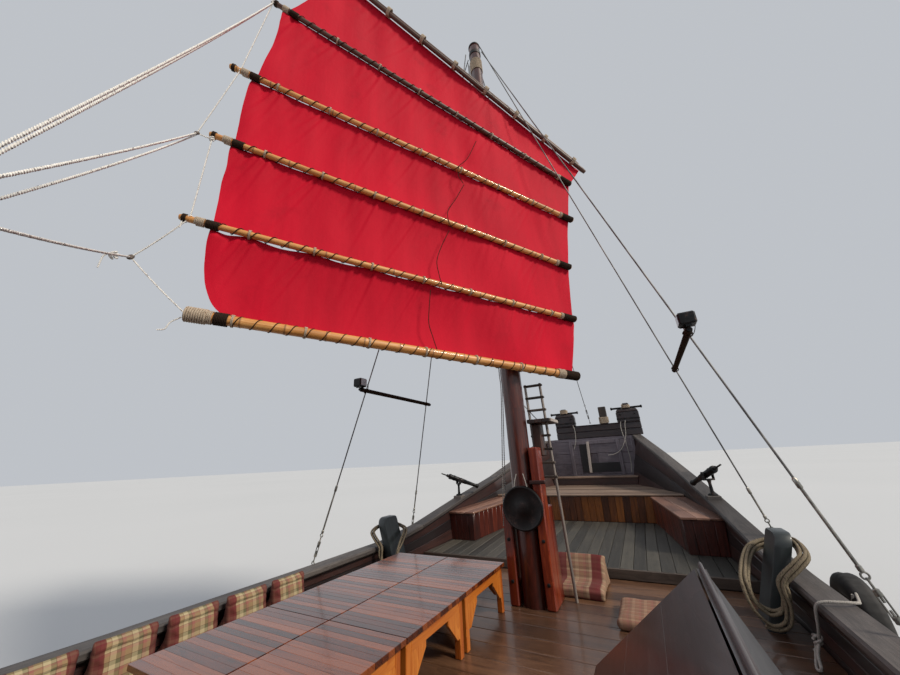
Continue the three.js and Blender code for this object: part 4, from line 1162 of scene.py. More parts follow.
# %% Bulwarks
def bulwark_planks(count=4, seam=0.0022, steps=120):
    """Planks of the wall's full thickness between equal shares of its height."""
    x = np.linspace(STERN_X + 0.001, BOW_X - 0.001, steps)
    x = np.sort(np.concatenate([x, [-4.62, -4.60]]))
    deck, _, rail, _, _, _ = station(x)
    parts = []
    for k in range(count + 1):
        core = k == count
        v0, v1 = (0.0, 1.0) if core else (k / count, (k + 1) / count)
        gap = 0.0005 / (rail - deck) if core else seam / (rail - deck)
        z0, z1 = (deck + 0.0005 + (rail - deck - 0.001) * np.clip(v, 0, 1)
                  for v in (v0 + gap, v1 - gap))
        out0, out1 = (hull_half(x, np.maximum(z, deck + 1e-6)) for z in (z0, z1))
        skin = 0.02 if core else 0.0
        worn = 0.0 if core else 0.004
        ring = [(out0 - skin - worn, z0), (out0 - skin, z0 + worn), (out1 - skin, z1 - worn),
                (out1 - skin - worn, z1), (out1 - BULWARK + skin + worn, z1),
                (out1 - BULWARK + skin, z1 - worn), (out0 - BULWARK + skin, z0 + worn),
                (out0 - BULWARK + skin + worn, z0)]
        points = np.stack([np.stack([x, y, z], -1) for y, z in ring], 1)
        across = np.array([0, 0, 0.12, 0.12, 0.2, 0.2, 0.32, 0.32])
        parts.append(tube(points, grain_of(x[:, None], across[None], k + 11)))
    return outward(joined(*parts))


bulwark_wood = wood("bulwark_oiled", [(14, 10, 12), (31, 20, 21), (62, 34, 28)], polish=0.42,
                    coat=0.3, dirt_and_sheen=(30, 24, 22), fibres=44, boards=0.4)
add_pair("bulwark_planks", bulwark_planks(), bulwark_wood, "bulwark")


def cap_rail():
    """The cap in lengths of 2.3 m: a rounded oblong carried along the rail line."""
    joints = np.linspace(STERN_X + 0.001, BOW_X - 0.004, 8)
    lift, wide, soft = RAIL_THICK, RAIL_WIDE / 2, 0.014
    section = [(-wide, soft), (-wide, lift - soft), (-wide + soft, lift), (wide - soft, lift),
               (wide, lift - soft), (wide, soft), (wide - soft, 0.0003), (-wide + soft, 0.0003)]
    parts = []
    for k, (x0, x1) in enumerate(zip(joints[:-1], joints[1:])):
        x = np.linspace(x0 + 0.0015, x1 - 0.0015, 24)
        _, half, rail, _, _, _ = station(x)
        points = np.stack([np.stack([x, half - BULWARK / 2 + y, rail + z], -1)
                           for y, z in section], 1)
        across = np.cumsum([0, 0.03, 0.015, 0.18, 0.015, 0.03, 0.015, 0.18])
        parts.append(tube(points, grain_of(x[:, None], across[None], k + 51)))
    return outward(joined(*parts))


def timber_head():
    """The board that ropes are hung on. It stands on the deck and leans outwards as it rises, and
    its two upper corners are rounded off."""
    x0, x1, low, high = HEAD_X - HEAD_LONG / 2, HEAD_X + HEAD_LONG / 2, MAIN_Z + 0.0003, HEAD_TOP
    a = np.linspace(0, math.pi / 2, 7)
    outline = [(low, x0), *zip(high - 0.1 + 0.1 * np.sin(a), x0 + 0.1 - 0.1 * np.cos(a)),
               *zip(high - 0.03 + 0.03 * np.cos(a), x1 - 0.03 + 0.03 * np.sin(a)), (low, x1)]
    board = plate(outline, "y", -HEAD_THICK / 2, HEAD_THICK / 2, 0.010, 3)
    return board.mapped(lambda p: p + (0, 1, 0) * head_middle(p[:, 2:]))


def gun_pad(reach=0.075):
    """The square block under a swivel gun's foot, let into the cap."""
    _, half, rail, _, _, _ = station(GUN_X)
    y, z = float(half) - BULWARK / 2, float(rail)
    return boxes([[GUN_X - reach, GUN_X + reach, y - reach, y + reach, z + GUN_PAD,
                   z + RAIL_THICK + GUN_PAD]], 0.006)


head_green = wood("timber_head_green", [(9, 13, 15), (20, 28, 31), (40, 48, 49)], polish=0.5,
                  coat=0.2, fibres=40)
add_pair("cap_rail", joined(cap_rail(), gun_pad()), rail_worn, "rail")
add_piece("timber_heads", joined(timber_head(), mirrored(timber_head())), head_green)

# %% [markdown]
# ## Decks
#
# The main deck and the after deck are laid athwart in boards a hand and a half
# wide, kept wet and dark by feet and spray. The fore deck runs fore and aft and
# has dried grey. Each board is a block cut to the bulwark at both ends, with a
# seam of a few millimetres, so the deck is real carpentry and not a drawing.

# %% Deck boards
STEP_X, STEP_Z = 7.75, 1.87


def athwart(x0, x1, low, high, width=0.2, seam=0.004, number=0, inset=0.004):
    """Boards across the boat, from one bulwark to the other."""
    edges = np.linspace(x0, x1, int(round((x1 - x0) / width)) + 1)
    side = lambda sign: lambda x, z: sign * (inner_half(x, z) - inset)
    corners = fitted(edges[:-1] + seam / 2, edges[1:] - seam / 2, fixed(low), fixed(high),
                     side(-1), side(1))
    return blocks(corners, 0.004, along=1, number=number + np.arange(len(edges) - 1))


def fore_deck_z(x):
    """The fore deck's height, which rises a tenth of a metre to the platform."""
    return 1.15 + 0.10 * (x - FORE_X) / (PLATFORM_X - FORE_X)


def fore_boards(width=0.135, seam=0.005, thick=0.028):
    """Boards along the boat. Each is cut off where the bulwark comes in across it."""
    rows = []
    x0, x1 = FORE_X + 0.032, PLATFORM_X - 0.004
    for k in range(-15, 15):
        y0, y1 = k * width + seam / 2, (k + 1) * width - seam / 2
        far = max(abs(y0), abs(y1))
        reach = np.linspace(x0, x1, 60)
        room = reach[inner_half(reach, fore_deck_z(reach)) - 0.004 > min(abs(y0), abs(y1)) + 0.01]
        if len(room) < 5:
            continue
        limit = lambda x, z: inner_half(x, z) - 0.004
        low_side = (lambda x, z, v=y0: np.clip(v, -limit(x, z), limit(x, z)))
        high_side = (lambda x, z, v=y1: np.clip(v, -limit(x, z), limit(x, z)))
        cut = [x0, *([4.5] if far > 1.4 and room[-1] > 4.6 else []), float(room[-1])]
        rows += [fitted(a, b, lambda x: fore_deck_z(x) - thick, fore_deck_z, low_side, high_side)
                 for a, b in zip(cut[:-1], cut[1:])]
    return blocks(np.concatenate(rows), 0.004, along=0, number=100 + np.arange(len(rows)))


def fore_bearer():
    """What the fore boards are nailed to, with the low step's front board."""
    cuts = np.array([FORE_X + 0.03, 4.5, PLATFORM_X - 0.004])
    side = lambda sign: lambda x, z: sign * (inner_half(x, z) - 0.006)
    low = blocks(fitted(cuts[:-1], cuts[1:], lambda x: station(x)[0] + 0.002,
                        lambda x: fore_deck_z(x) - 0.030, side(-1), side(1)), 0.001, along=1)
    front = blocks(fitted(FORE_X + 0.001, FORE_X + 0.028, fixed(1.052), fixed(1.152),
                          side(-1), side(1)), 0.006, along=1, number=7)
    return joined(low, front)


add_piece("deck_boards_main", athwart(-4.596, FORE_X - 0.002, 1.008, MAIN_Z), deck_wet,
          replaces=["deck_main"])
add_piece("deck_boards_poop", athwart(-8.314, -4.622, 1.708, POOP_Z, number=60), deck_wet,
          replaces=["deck_poop"])
add_piece("deck_boards_fore", fore_boards(), deck_dry, replaces=["deck_fore"])
add_piece("deck_fore_bearer", fore_bearer(), timber_dark)

# %% [markdown]
# ## The raised floor at the bow
#
# Its front is a row of upright boards, varnished orange and brown by turns. Over
# them a rounded nosing carries the top boards, and one more step rises against
# the bow with a maroon face and a pale worn edge.

# %% Bow platform
def upright_front(x, thick, low, high, half, width, number):
    """Upright boards across the boat at x, seams of two millimetres."""
    count = int(round(2 * half(x, high) / width))
    cuts = np.linspace(-1, 1, count + 1)
    corners = []
    for a, b in zip(cuts[:-1], cuts[1:]):
        corners.append(fitted(x, x + thick, fixed(low), fixed(high),
                              lambda x, z, v=a: v * half(x, z) + 0.001,
                              lambda x, z, v=b: v * half(x, z) - 0.001))
    return blocks(np.concatenate(corners), 0.004, along=2, number=number + np.arange(count))


inside = lambda x, z: inner_half(x, z) - 0.005
across_low = lambda x, z: -inside(x, z)


def slab(x0, x1, z0, z1, bevel, number):
    """Boards from side to side of the boat, flat below and above."""
    return blocks(fitted(x0, x1, fixed(z0), fixed(z1), across_low, inside), bevel, along=1,
                  number=number)


front_boards = upright_front(PLATFORM_X, 0.03, 1.252, PLATFORM_Z - 0.034, inside, 0.115, 200)
nosing = slab(PLATFORM_X - 0.022, PLATFORM_X + 0.10, PLATFORM_Z - 0.034, PLATFORM_Z, 0.012, 220)
top_edges = np.linspace(PLATFORM_X + 0.102, STEP_X, 9)
top_boards = slab(top_edges[:-1] + 0.0015, top_edges[1:] - 0.0015, PLATFORM_Z - 0.03,
                  PLATFORM_Z - 0.001, 0.004, 230 + np.arange(8))
under_floor = blocks(fitted(np.array([PLATFORM_X + 0.032, 6.7, 7.5]), np.array([6.7, 7.5, 8.07]),
                            lambda x: station(x)[0] + 0.002, fixed(PLATFORM_Z - 0.032),
                            lambda x, z: -inside(x, z) + 0.004, lambda x, z: inside(x, z) - 0.004),
                     0.001, along=1)
riser = slab(STEP_X, STEP_X + 0.03, PLATFORM_Z, STEP_Z - 0.04, 0.003, 240)
step_edge = slab(STEP_X - 0.02, STEP_X + 0.07, STEP_Z - 0.04, STEP_Z, 0.010, 241)
step_top = slab(np.array([STEP_X + 0.072, 7.92]), np.array([7.918, 8.075]), STEP_Z - 0.05,
                STEP_Z - 0.001, 0.004, 242 + np.arange(2))
platform_varnish = wood("platform_varnish", [(40, 18, 9), (84, 44, 17), (128, 76, 29)],
                        polish=0.34, coat=0.4, boards=0.5, fibres=40)
add_piece("platform_front", front_boards, platform_varnish, replaces=["platform_fore"])
platform_grey = wood("platform_grey", [(78, 60, 50), (118, 98, 84), (150, 130, 114)], polish=0.5,
                     dirt_and_sheen=(84, 68, 58), fibres=44)
add_piece("platform_top", joined(nosing, top_boards, step_edge, step_top), platform_grey)
add_piece("platform_under", joined(under_floor, riser), bulwark_wood)

# %% [markdown]
# ## Tables
#
# Two rows of three tables are pushed together on the port side. A top is made of
# narrow strips laid athwart, dark and light by turns under thick varnish, so it
# mirrors the sky. Legs and aprons are bright orange, and a slanting bracket
# stiffens each corner under the top.

# %% Tables
TABLE_TOP, TOP_THICK, APRON, LEG, TABLE_INSET = 1.43, 0.03, 0.07, 0.05, 0.025
TABLE_JOINTS = [-0.17, 0.63, 1.38, 2.20]
TABLE_ROWS = {"port": (0.82, 1.43), "starboard": (0.20, 0.812)}


def table_top(x0, x1, y0, y1, number):
    """Narrow strips laid across the table, edge to edge."""
    edges = np.linspace(x0 + 0.003, x1 - 0.003, int(round((x1 - x0) / 0.052)) + 1)
    rows = [[a + 0.0004, b - 0.0004, y0 + 0.001, y1 - 0.001, TABLE_TOP - TOP_THICK, TABLE_TOP]
            for a, b in zip(edges[:-1], edges[1:])]
    return boxes(rows, 0.0016, along=1, number=number + np.arange(len(rows)))


def bracket(x, y, along, ahead, high, reach=0.16, thick=0.022):
    """A slanting corner board between a leg and the apron, in the plane of x or of y."""
    start = x if along == "x" else y
    outline = [(start, high), (start + ahead * reach, high), (start + ahead * reach, high - 0.035),
               (start + ahead * 0.035, high - reach), (start, high - reach)]
    if along == "x":
        return plate([(v, u) for u, v in outline], "y", y - thick / 2, y + thick / 2, 0.003)
    return plate(outline, "x", x - thick / 2, x + thick / 2, 0.003)


def table_frame(x0, x1, y0, y1):
    """Four legs, four apron boards and eight brackets under one top."""
    a, b, c, d = x0 + TABLE_INSET, x1 - TABLE_INSET, y0 + TABLE_INSET, y1 - TABLE_INSET
    low, under = MAIN_Z + 0.0005, TABLE_TOP - TOP_THICK - 0.0005
    legs = [[x, x + LEG, y, y + LEG, low, under] for x in (a, b - LEG) for y in (c, d - LEG)]
    rails = [[a + LEG, b - LEG, y, y + 0.025, under - APRON, under] for y in (c, d - 0.025)]
    rails += [[x, x + 0.025, c + LEG, d - LEG, under - APRON, under] for x in (a, b - 0.025)]
    shapes = [boxes(legs, 0.004, along=2), boxes(rails[:2], 0.003, along=0, number=9),
              boxes(rails[2:], 0.003, along=1, number=19)]
    deep = under - APRON + 0.004
    for y in (c + 0.0125, d - 0.0125):
        shapes += [bracket(a + LEG, y, "x", 1, deep), bracket(b - LEG, y, "x", -1, deep)]
    for x in (a + 0.0125, b - 0.0125):
        shapes += [bracket(x, c + LEG, "y", 1, deep), bracket(x, d - LEG, "y", -1, deep)]
    return joined(*shapes)


for name, (y0, y1) in TABLE_ROWS.items():
    spans = list(zip(TABLE_JOINTS[:-1], TABLE_JOINTS[1:]))
    tops = joined(*[table_top(a, b, y0, y1, 40 * k + (7 if name == "port" else 0))
                    for k, (a, b) in enumerate(spans)])
    frames = joined(*[table_frame(a, b, y0, y1) for a, b in spans])
    add_piece(f"table_tops_{name}", tops, strip_light, replaces=[f"table_row_{name}"])
    add_piece(f"table_frames_{name}", frames, varnish_orange)

# %% [markdown]
# ## Benches
#
# Along both sides of the fore deck runs a box bench. Its end and its long face
# are upright boards of dark red, and its top overhangs them by a finger's width.

# %% Benches
BENCH_X0, BENCH_X1 = 4.10, 5.6965


def bench_inner(x, *_):
    """How far out the bench's inner face is at x. The height makes no difference."""
    return 1.41 - 0.29 * (x - BENCH_X0) / 1.60


def bench_top(x):
    """The bench's height, forty centimetres over the deck all along."""
    return fore_deck_z(x) + 0.40


def bench():
    """Upright boards along the face and across the end, and three boards on top."""
    edges = np.linspace(BENCH_X0 + 0.03, BENCH_X1, 13)
    face = blocks(fitted(edges[:-1] + 0.001, edges[1:] - 0.001, lambda x: fore_deck_z(x) + 0.0005,
                         lambda x: bench_top(x) - 0.030, bench_inner,
                         lambda x, z: bench_inner(x) + 0.03), 0.004, along=2,
                  number=300 + np.arange(12))
    cuts = np.linspace(0, 1, 5)
    reach = lambda v: lambda x, z: bench_inner(x) + v * (inner_half(x, z) - 0.003 - bench_inner(x))
    end = [fitted(BENCH_X0, BENCH_X0 + 0.03, lambda x: fore_deck_z(x) + 0.0005,
                  lambda x: bench_top(x) - 0.030, lambda x, z, v=a: reach(v)(x, z) + 0.001,
                  lambda x, z, v=b: reach(v)(x, z) - 0.001) for a, b in zip(cuts[:-1], cuts[1:])]
    end = blocks(np.concatenate(end), 0.004, along=2, number=320 + np.arange(4))
    return joined(face, end)


def bench_seat():
    """Three top boards in two lengths each, the inner one standing proud of the face."""
    rows, numbers = [], []
    for k, (a, b) in enumerate(((-0.06, 0.36), (0.365, 0.68), (0.685, 1.0))):
        side = lambda v: lambda x, z: (bench_inner(x) - 0.012
                                       + max(v, 0) * (inner_half(x, z) + 0.009 - bench_inner(x)))
        for x0, x1 in ((BENCH_X0 - 0.012, 4.5), (4.5, BENCH_X1)):
            rows.append(fitted(x0, x1, lambda x: bench_top(x) - 0.028, bench_top, side(a), side(b)))
            numbers.append(330 + k)
    return blocks(np.concatenate(rows), 0.005, along=0, number=np.array(numbers))


bench_brown = wood("bench_seat_brown", [(84, 54, 44), (126, 90, 74), (156, 120, 102)], polish=0.42,
                   coat=0.2, fibres=44)
for name, half in (("port", lambda shape: shape), ("starboard", mirrored)):
    add_piece(f"bench_boards_{name}", half(bench()), varnish_red, replaces=[f"bench_{name}"])
    add_piece(f"bench_seat_{name}", half(bench_seat()), bench_brown)

# %% [markdown]
# ## Engine hatch
#
# The gabled hood over the engine room fills the corner of the picture. Each lid is a few wide
# boards laid edge to edge. The port one has a painted orange sheen, as of old varnish, that grows
# towards its foot, and the starboard one is plain dark grey. A paler grey strip covers the ridge
# that both hinge beside; its pale grey is partly a painted highlight along the ridge.

# %% Hatch
HOOD_X0, HOOD_X1, HOOD_Y, RIDGE_Z, EAVE_Z, LID = -0.75, 0.93, -1.31, 1.835, 1.35, 0.035
HOOD_REACH = {PORT: 0.56, STARBOARD: 0.24}
HINGE = 0.028


def lid_boards(side, count, seam=0.00002):
    """Boards along the boat down one slope, joined edge to edge on a thin core. The upper edge is
    cut upright beside the ridge."""
    reach = HOOD_REACH[side]
    fall = (RIDGE_Z - EAVE_Z) / reach
    slope = math.atan(fall)
    cos, sin = math.cos(slope), math.sin(slope)
    cuts = np.linspace(HINGE / cos, reach / cos, count + 1)

    def corners(a, b, top, bottom, x0, x1, upright=False):
        c = np.zeros((2, 2, 2, 3))
        for i, x in enumerate((x0, x1)):
            for j, along in enumerate((a, b)):
                for k, up in enumerate((bottom, top)):
                    run = along - up * sin / cos if upright and j == 0 else along
                    c[i, j, k] = (x, HOOD_Y + side * (run * cos + up * sin),
                                  RIDGE_Z - run * sin + up * cos)
        return c

    boards = [corners(a + seam * (k > 0), b - seam * (k < count - 1), 0.0, -LID, HOOD_X0, HOOD_X1,
                      k == 0) for k, (a, b) in enumerate(zip(cuts[:-1], cuts[1:]))]
    core = corners(cuts[0] + 0.004, cuts[-1] - 0.004, -0.006, -LID + 0.006, HOOD_X0 + 0.004,
                   HOOD_X1 - 0.004, True)
    number = 400 + np.arange(count) + (10 if side > 0 else 0)
    return outward(joined(blocks(np.stack(boards), 0.0005, along=0, number=number),
                          blocks(core, 0.001, along=0, number=420)))


def coaming():
    """Four plank walls under the lids. The end walls are gables, and the side walls reach up to
    a finger's width below the lids."""
    low, shapes = MAIN_Z + 0.0003, []
    port, starboard = HOOD_REACH[PORT], HOOD_REACH[STARBOARD]
    under = lambda reach, out: (RIDGE_Z - out * (RIDGE_Z - EAVE_Z) / reach
                                - (LID + 0.0015) * math.hypot(1, (RIDGE_Z - EAVE_Z) / reach))
    gable = [(HOOD_Y - starboard + 0.04, low), (HOOD_Y + port - 0.04, low),
             (HOOD_Y + port - 0.04, under(port, port - 0.04)),
             (HOOD_Y + (under(port, 0) - 1.70) * port / (RIDGE_Z - EAVE_Z), 1.70),
             (HOOD_Y - (under(starboard, 0) - 1.70) * starboard / (RIDGE_Z - EAVE_Z), 1.70),
             (HOOD_Y - starboard + 0.04, under(starboard, starboard - 0.04))]
    for x in (HOOD_X0 + 0.03, HOOD_X1 - 0.07):
        shapes.append(plate(gable, "x", x, x + 0.04, 0.005, x))
    x0, x1 = HOOD_X0 + 0.0705, HOOD_X1 - 0.0705
    shapes.append(boxes([[x0, x1, HOOD_Y + port - 0.08, HOOD_Y + port - 0.04, low,
                          under(port, port - 0.04) - 0.001],
                         [x0, x1, HOOD_Y - starboard + 0.04, HOOD_Y - starboard + 0.08, low,
                          under(starboard, starboard - 0.04) - 0.001]], 0.005, along=0))
    return joined(*shapes)


def ridge_strip():
    """The rounded strip over the joint, on the board that both lids hinge beside."""
    a = np.linspace(0, math.pi, 9)
    top = [(HOOD_Y + 0.009 * math.cos(t), RIDGE_Z - 0.006 + 0.013 * math.sin(t)) for t in a]
    bead = [(HOOD_Y - 0.009, RIDGE_Z - 0.022), (HOOD_Y + 0.009, RIDGE_Z - 0.022), *top]
    board = [(HOOD_Y - 0.020, 1.7003), (HOOD_Y + 0.020, 1.7003), (HOOD_Y + 0.020, RIDGE_Z - 0.0223),
             (HOOD_Y - 0.020, RIDGE_Z - 0.0223)]
    return (plate(bead, "x", HOOD_X0, HOOD_X1, 0.002, 430),
            plate(board, "x", HOOD_X0, HOOD_X1, 0.003, 431))


# The port lid's orange towards its foot is a painted sheen, as of old varnish.
hatch_brown_with_sheen = wood("hatch_brown_with_sheen", [(30, 23, 23), (52, 42, 42), (76, 60, 54)], polish=0.34,
                   coat=0.35, dirt_and_sheen=(110, 62, 26), dirt_and_sheen_amount=0.6, fibres=40, boards=0.06,
                   low=(1.42, 1.72))
hatch_grey = wood("hatch_grey", [(34, 35, 38), (54, 54, 58), (74, 73, 76)], polish=0.55,
                  fibres=44, boards=0.12)
add_piece("hatch_boards_port", lid_boards(PORT, 3), hatch_brown_with_sheen, "hatch_port",
          replaces=["hatch_lid_port"])
add_piece("hatch_boards_starboard", lid_boards(STARBOARD, 2), hatch_grey, "hatch_starboard",
          replaces=["hatch_lid_starboard"])
# The strip's pale grey is partly a painted highlight along the ridge.
ridge_grey_and_highlight = wood("ridge_grey_and_highlight", [(66, 62, 64), (98, 94, 95), (128, 124, 123)], polish=0.5,
                  fibres=60)
add_piece("hatch_coaming_planks", coaming(), timber_dark, replaces=["hatch_coaming"])
bead, ridge_board = ridge_strip()
add_piece("hatch_ridge_strip", bead, ridge_grey_and_highlight)
add_piece("hatch_ridge_board", ridge_board, hatch_brown_with_sheen, replaces=["hatch_ridge"])

# %% [markdown]
# ## Mast, posts and ladder
#
# The mast is a dark varnished pole that tapers to its head, with iron bands where
# gear is made fast. It stands between orange posts with a low block ahead of it,
# and the after post to starboard is the tallest. The ladder beside it carries a
# shelf. All fixed gear stays close to the mast, because the sail swings round it.

# %% Mast
MAST_X, MAST_FOOT, MAST_HEAD = 2.42, 1.0503, 9.25


def mast_radius(z, foot=(1.05, 0.116), head=(9.25, 0.092)):
    """A straight taper between a height and radius at the foot and the same at the head."""
    return foot[1] + (head[1] - foot[1]) * (z - foot[0]) / (head[0] - foot[0])


def mast_pole(waver=0.0010):
    """The pole as rings every 0.12 m, hand-planed: its radius wavers by a millimetre."""
    z = np.linspace(MAST_FOOT, MAST_HEAD + 0.04, 70)
    radius = mast_radius(z) + waver * ripple(z * 3.0, z * 0, 4)
    rows = [*zip(z - MAST_FOOT, radius), (z[-1] + 0.02 - MAST_FOOT, radius[-1] * 0.85)]
    return lathed(rows, (MAST_X, 0, MAST_FOOT), (0, 0, 1), 40, 500)


def band(x, z, tall, inner, thick=0.008, sides=40):
    """A hoop round an upright pole, a closed ring with softened edges."""
    e = min(0.003, tall / 4)
    rows = [(0, inner - 0.001), (0, inner + thick - e), (e, inner + thick),
            (tall - e, inner + thick), (tall, inner + thick - e), (tall, inner - 0.001)]
    return lathed(rows, (x, 0, z), (0, 0, 1), sides)


add_piece("main_mast_pole", mast_pole(), mast_varnish, replaces=["mast_main"])
MAST_BANDS = [(6.20, 0.04), (9.02, 0.08), (9.255, 0.03)]  # height, how tall
add_piece("main_mast_bands", joined(*[band(MAST_X, z, tall, mast_radius(z))
                                      for z, tall in MAST_BANDS]), iron)
add_piece("main_mast_lashings", spiral(
    (MAST_X, 0, 8.60), (MAST_X, 0, 8.86), mast_radius(8.6), 0.006, 0.0125, steps=24),
    rope_cream)

# %% Tabernacle posts
POST_IN, POST_OUT, POST_TOP = 0.128, 0.218, 0.83


def tabernacle():
    """A post to port and two to starboard, the after one tall, and a low block ahead."""
    x0, x1, z = MAST_X - 0.11, MAST_X + 0.23, MAIN_Z + 0.0003
    return boxes([[x0, x1, POST_IN, POST_OUT, z, z + POST_TOP],
                  [x0 + 0.182, x1, -POST_OUT, -POST_IN, z, z + POST_TOP],
                  [x0, x0 + 0.18, -POST_OUT, -POST_IN, z, z + 1.40],
                  [MAST_X + 0.137, x1, -POST_IN + 0.001, POST_IN - 0.001, z, z + 0.16]],
                 0.010, along=2, number=np.array([510.0, 511, 512, 513]))


def post_gear():
    """A cross bar and bolt heads on the posts' after faces."""
    x = MAST_X - 0.11
    bar_low = boxes([[x - 0.03, x, -0.27, -0.11, 2.10, 2.135]], 0.006, along=1, number=514)
    bolts = [lathed([(0, 0.016), (0.008, 0.016), (0.012, 0.010)], (x, y, z), (-1, 0, 0), 10)
             for y in (-0.173, 0.173) for z in (1.25, 1.60)]
    return bar_low, joined(*bolts)


cross_bar, post_bolts = post_gear()
post_varnish = wood("post_varnish", [(58, 17, 10), (112, 36, 18), (164, 74, 34)], polish=0.3,
                    coat=0.6, boards=0.15, fibres=40)
add_piece("mast_posts", tabernacle(), post_varnish, replaces=["mast_partners"])
add_piece("mast_cross_bar", cross_bar, varnish_red)
add_piece("mast_post_bolts", post_bolts, iron)

# %% Gong
GONG_Y = -0.013


def gong_disc(x=2.262, y=GONG_Y, z=1.885, radius=0.205):
    """A hammered disc with a turned-back rim and a low boss."""
    rows = [(0.040, radius * 0.93), (0.040, radius * 0.985), (0.030, radius), (0.012, radius),
            (0.003, radius * 0.975), (0.000, radius * 0.93), (0.006, radius * 0.88),
            (0.008, radius * 0.60), (0.007, radius * 0.34), (0.0, radius * 0.27),
            (-0.004, radius * 0.15), (-0.005, radius * 0.03)]
    return lathed(rows[::-1], (x, y, z), (1, 0, 0), 56)


gong_iron = metal("gong_iron", (20, 17, 18), (40, 32, 32), 0.46, 0.5, (62, 42, 36), 0.0009)
add_piece("gong_disc", gong_disc(), gong_iron, replaces=["gong"])
add_piece("gong_cords", joined(*[rope(
    [(x, GONG_Y + dy * share, z) for x, share, z in (
        (2.282, 1, 2.06), (2.285, 0.8, 2.13), (2.298, 0.5, 2.20))],
    0.005, 0.006, up=(0, 1, 0)) for dy in (-0.07, 0.07)]), rope_grey)

# %% Ladder
def ladder():
    """Two stiles that stand further out at the foot, flat rungs, the shelf and the box under it."""
    x, y0, y1, top, count = 2.60, -0.275, -0.10, 3.16, 8
    out = lambda z: (z - top) * 0.03
    stiles = joined(*[rod((x, y + out(foot), foot + gap), (x, y, top), 0.015, 12, number=number)
                      for y, foot, gap, number in ((y0, MAIN_Z, 0.0013, 520), (y1, 2.08, 0, 521))])
    z = 2.15 + np.arange(count) * 0.99 / (count - 1)
    z = z[(z < 2.68) | (z > 2.76)]
    ones = np.ones(len(z))
    rungs = boxes(np.stack([ones * (x - 0.022), ones * (x + 0.022), y0 + out(z) - 0.025,
                            y1 + out(z) + 0.015, z - 0.012, z + 0.012], -1), 0.004, along=1,
                  number=530 + np.arange(len(z)))
    boards = np.linspace(-0.37, -0.125, 4)
    shelf = boxes([[2.40, 2.75, a + 0.001, b - 0.001, 2.70, 2.74]
                   for a, b in zip(boards[:-1], boards[1:])], 0.004, along=0,
                  number=540 + np.arange(3))
    box = boxes([[2.51, 2.66, -0.235, -0.135, 2.36, 2.6995]], 0.012, along=2, number=545)
    tip = boxes([[2.405, 2.745, -0.392, -0.3705, 2.702, 2.738]], 0.006, along=0, number=548)
    return stiles, rungs, joined(shelf, box), tip


stiles, rungs, shelf, shelf_tip = ladder()
stile_grey = wood("stile_grey", [(98, 90, 86), (146, 136, 128), (182, 172, 164)], polish=0.55,
                  fibres=70)
add_piece("ladder_stiles", stiles, stile_grey)
add_piece("ladder_rungs", rungs, timber_dark, replaces=["mast_ladder"])
shelf_dark = wood("shelf_dark", [(18, 11, 10), (38, 22, 18), (66, 38, 28)], polish=0.45, fibres=40)
add_piece("ladder_shelf", shelf, shelf_dark)
add_piece("ladder_shelf_tip", shelf_tip, stile_grey)

# %% [markdown]
# ## Sheets and parrels
#
# Each batten end is hauled in by a span of white braid. The spans meet in two small wooden blocks
# off the sail's edge, and from those the sheets run down to eyes on the roof of the house. They are
# taut. Dark parrel lines hold the battens to the mast and hang slack in front of the cloth, and a
# few loose tails show where a sailor finished a knot.

# %% Sheets
WEBS = 0.21
UP = np.array([0, 0, 1.0])
SPAN = {"b4": (3.028, 7.828), "b3": (3.180, 6.460), "j1": (3.387, 5.424), "b2": (3.261, 5.399),
        "b1": (3.264, 4.453), "j2": (3.566, 3.988), "boom": (3.109, 3.535), "knot": (3.667, 3.984)}
ROOF_EYES = [(-1.42, 0.57, 3.055), (-1.42, 0.66, 3.052), (-1.42, 0.48, 3.056),
             (-1.42, 0.75, 3.050), (-1.42, 0.40, 3.058)]


def on_sail(u, z):
    """A point of the ropes' own plane, a little off the cloth's face."""
    return main_at(u, WEBS, z)


def span(*names, sag=0.0):
    """A line through points of the sail's plane, sagging between each two by a share of them."""
    points = []
    for a, b in zip(names[:-1], names[1:]):
        pa, pb = on_sail(*SPAN[a]), on_sail(*SPAN[b])
        t = np.linspace(0, 1, 7)[:-1, None]
        drop = sag * np.linalg.norm(pb - pa) * 4 * t * (1 - t)
        points.append(pa * (1 - t) + pb * t - drop * UP)
    return np.vstack([*points, on_sail(*SPAN[names[-1]])[None]])


def line(a, b, sag=0.012, count=24):
    """A rope drawn nearly straight from a to b, with a shallow sag."""
    a, b = np.asarray(a, float), np.asarray(b, float)
    t = np.linspace(0, 1, count)[:, None]
    return a * (1 - t) + b * t - UP * (sag * np.linalg.norm(b - a) * 4 * t * (1 - t))


def cordage(paths, radius, step=0.016, sides=8, lay=3.6):
    """Ropes of one thickness along several paths, as one shape."""
    return joined(*[rope(p, radius, step, number=k * 1.7, sides=sides, lay=lay, up=(0.3, 0.9, 0.2))
                    for k, p in enumerate(paths)])


sheets = [line(on_sail(*start), eye, sag) for start, eye, sag in zip(
    (SPAN["b4"], (3.04, 7.79), SPAN["j1"], (3.39, 5.40), SPAN["j2"]), ROOF_EYES,
    (0.012, 0.012, 0.008, 0.016, 0.010))]
sheet_piece = add_piece("main_sheets", cordage(sheets, 0.0085), rope_white, body=None, sharp=60)
tuple(on_sail(3.40, 5.4))
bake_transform(sheet_piece)
spans = [span("b4", "b3", "j1", sag=0.01), span("j1", "b2", sag=0.03), span("b2", "b1", sag=0.02),
         span("b1", "j2", sag=0.03), span("j2", "boom", sag=0.02)]
tails = [[on_sail(*at) for at in tail] for tail in (
    (SPAN["j2"], (3.64, 3.99), (3.72, 3.975), (3.735, 3.86)),
    ((3.15, 3.52), (3.21, 3.47), (3.235, 3.41), (3.28, 3.40)),
    ((3.28, 4.45), (3.31, 4.42), (3.318, 4.34)))]
add_piece("sail_sheetlets", joined(cordage(spans, 0.0075, 0.014), cordage(tails, 0.006, 0.01)),
          rope_white, "mainsail", sharp=60)


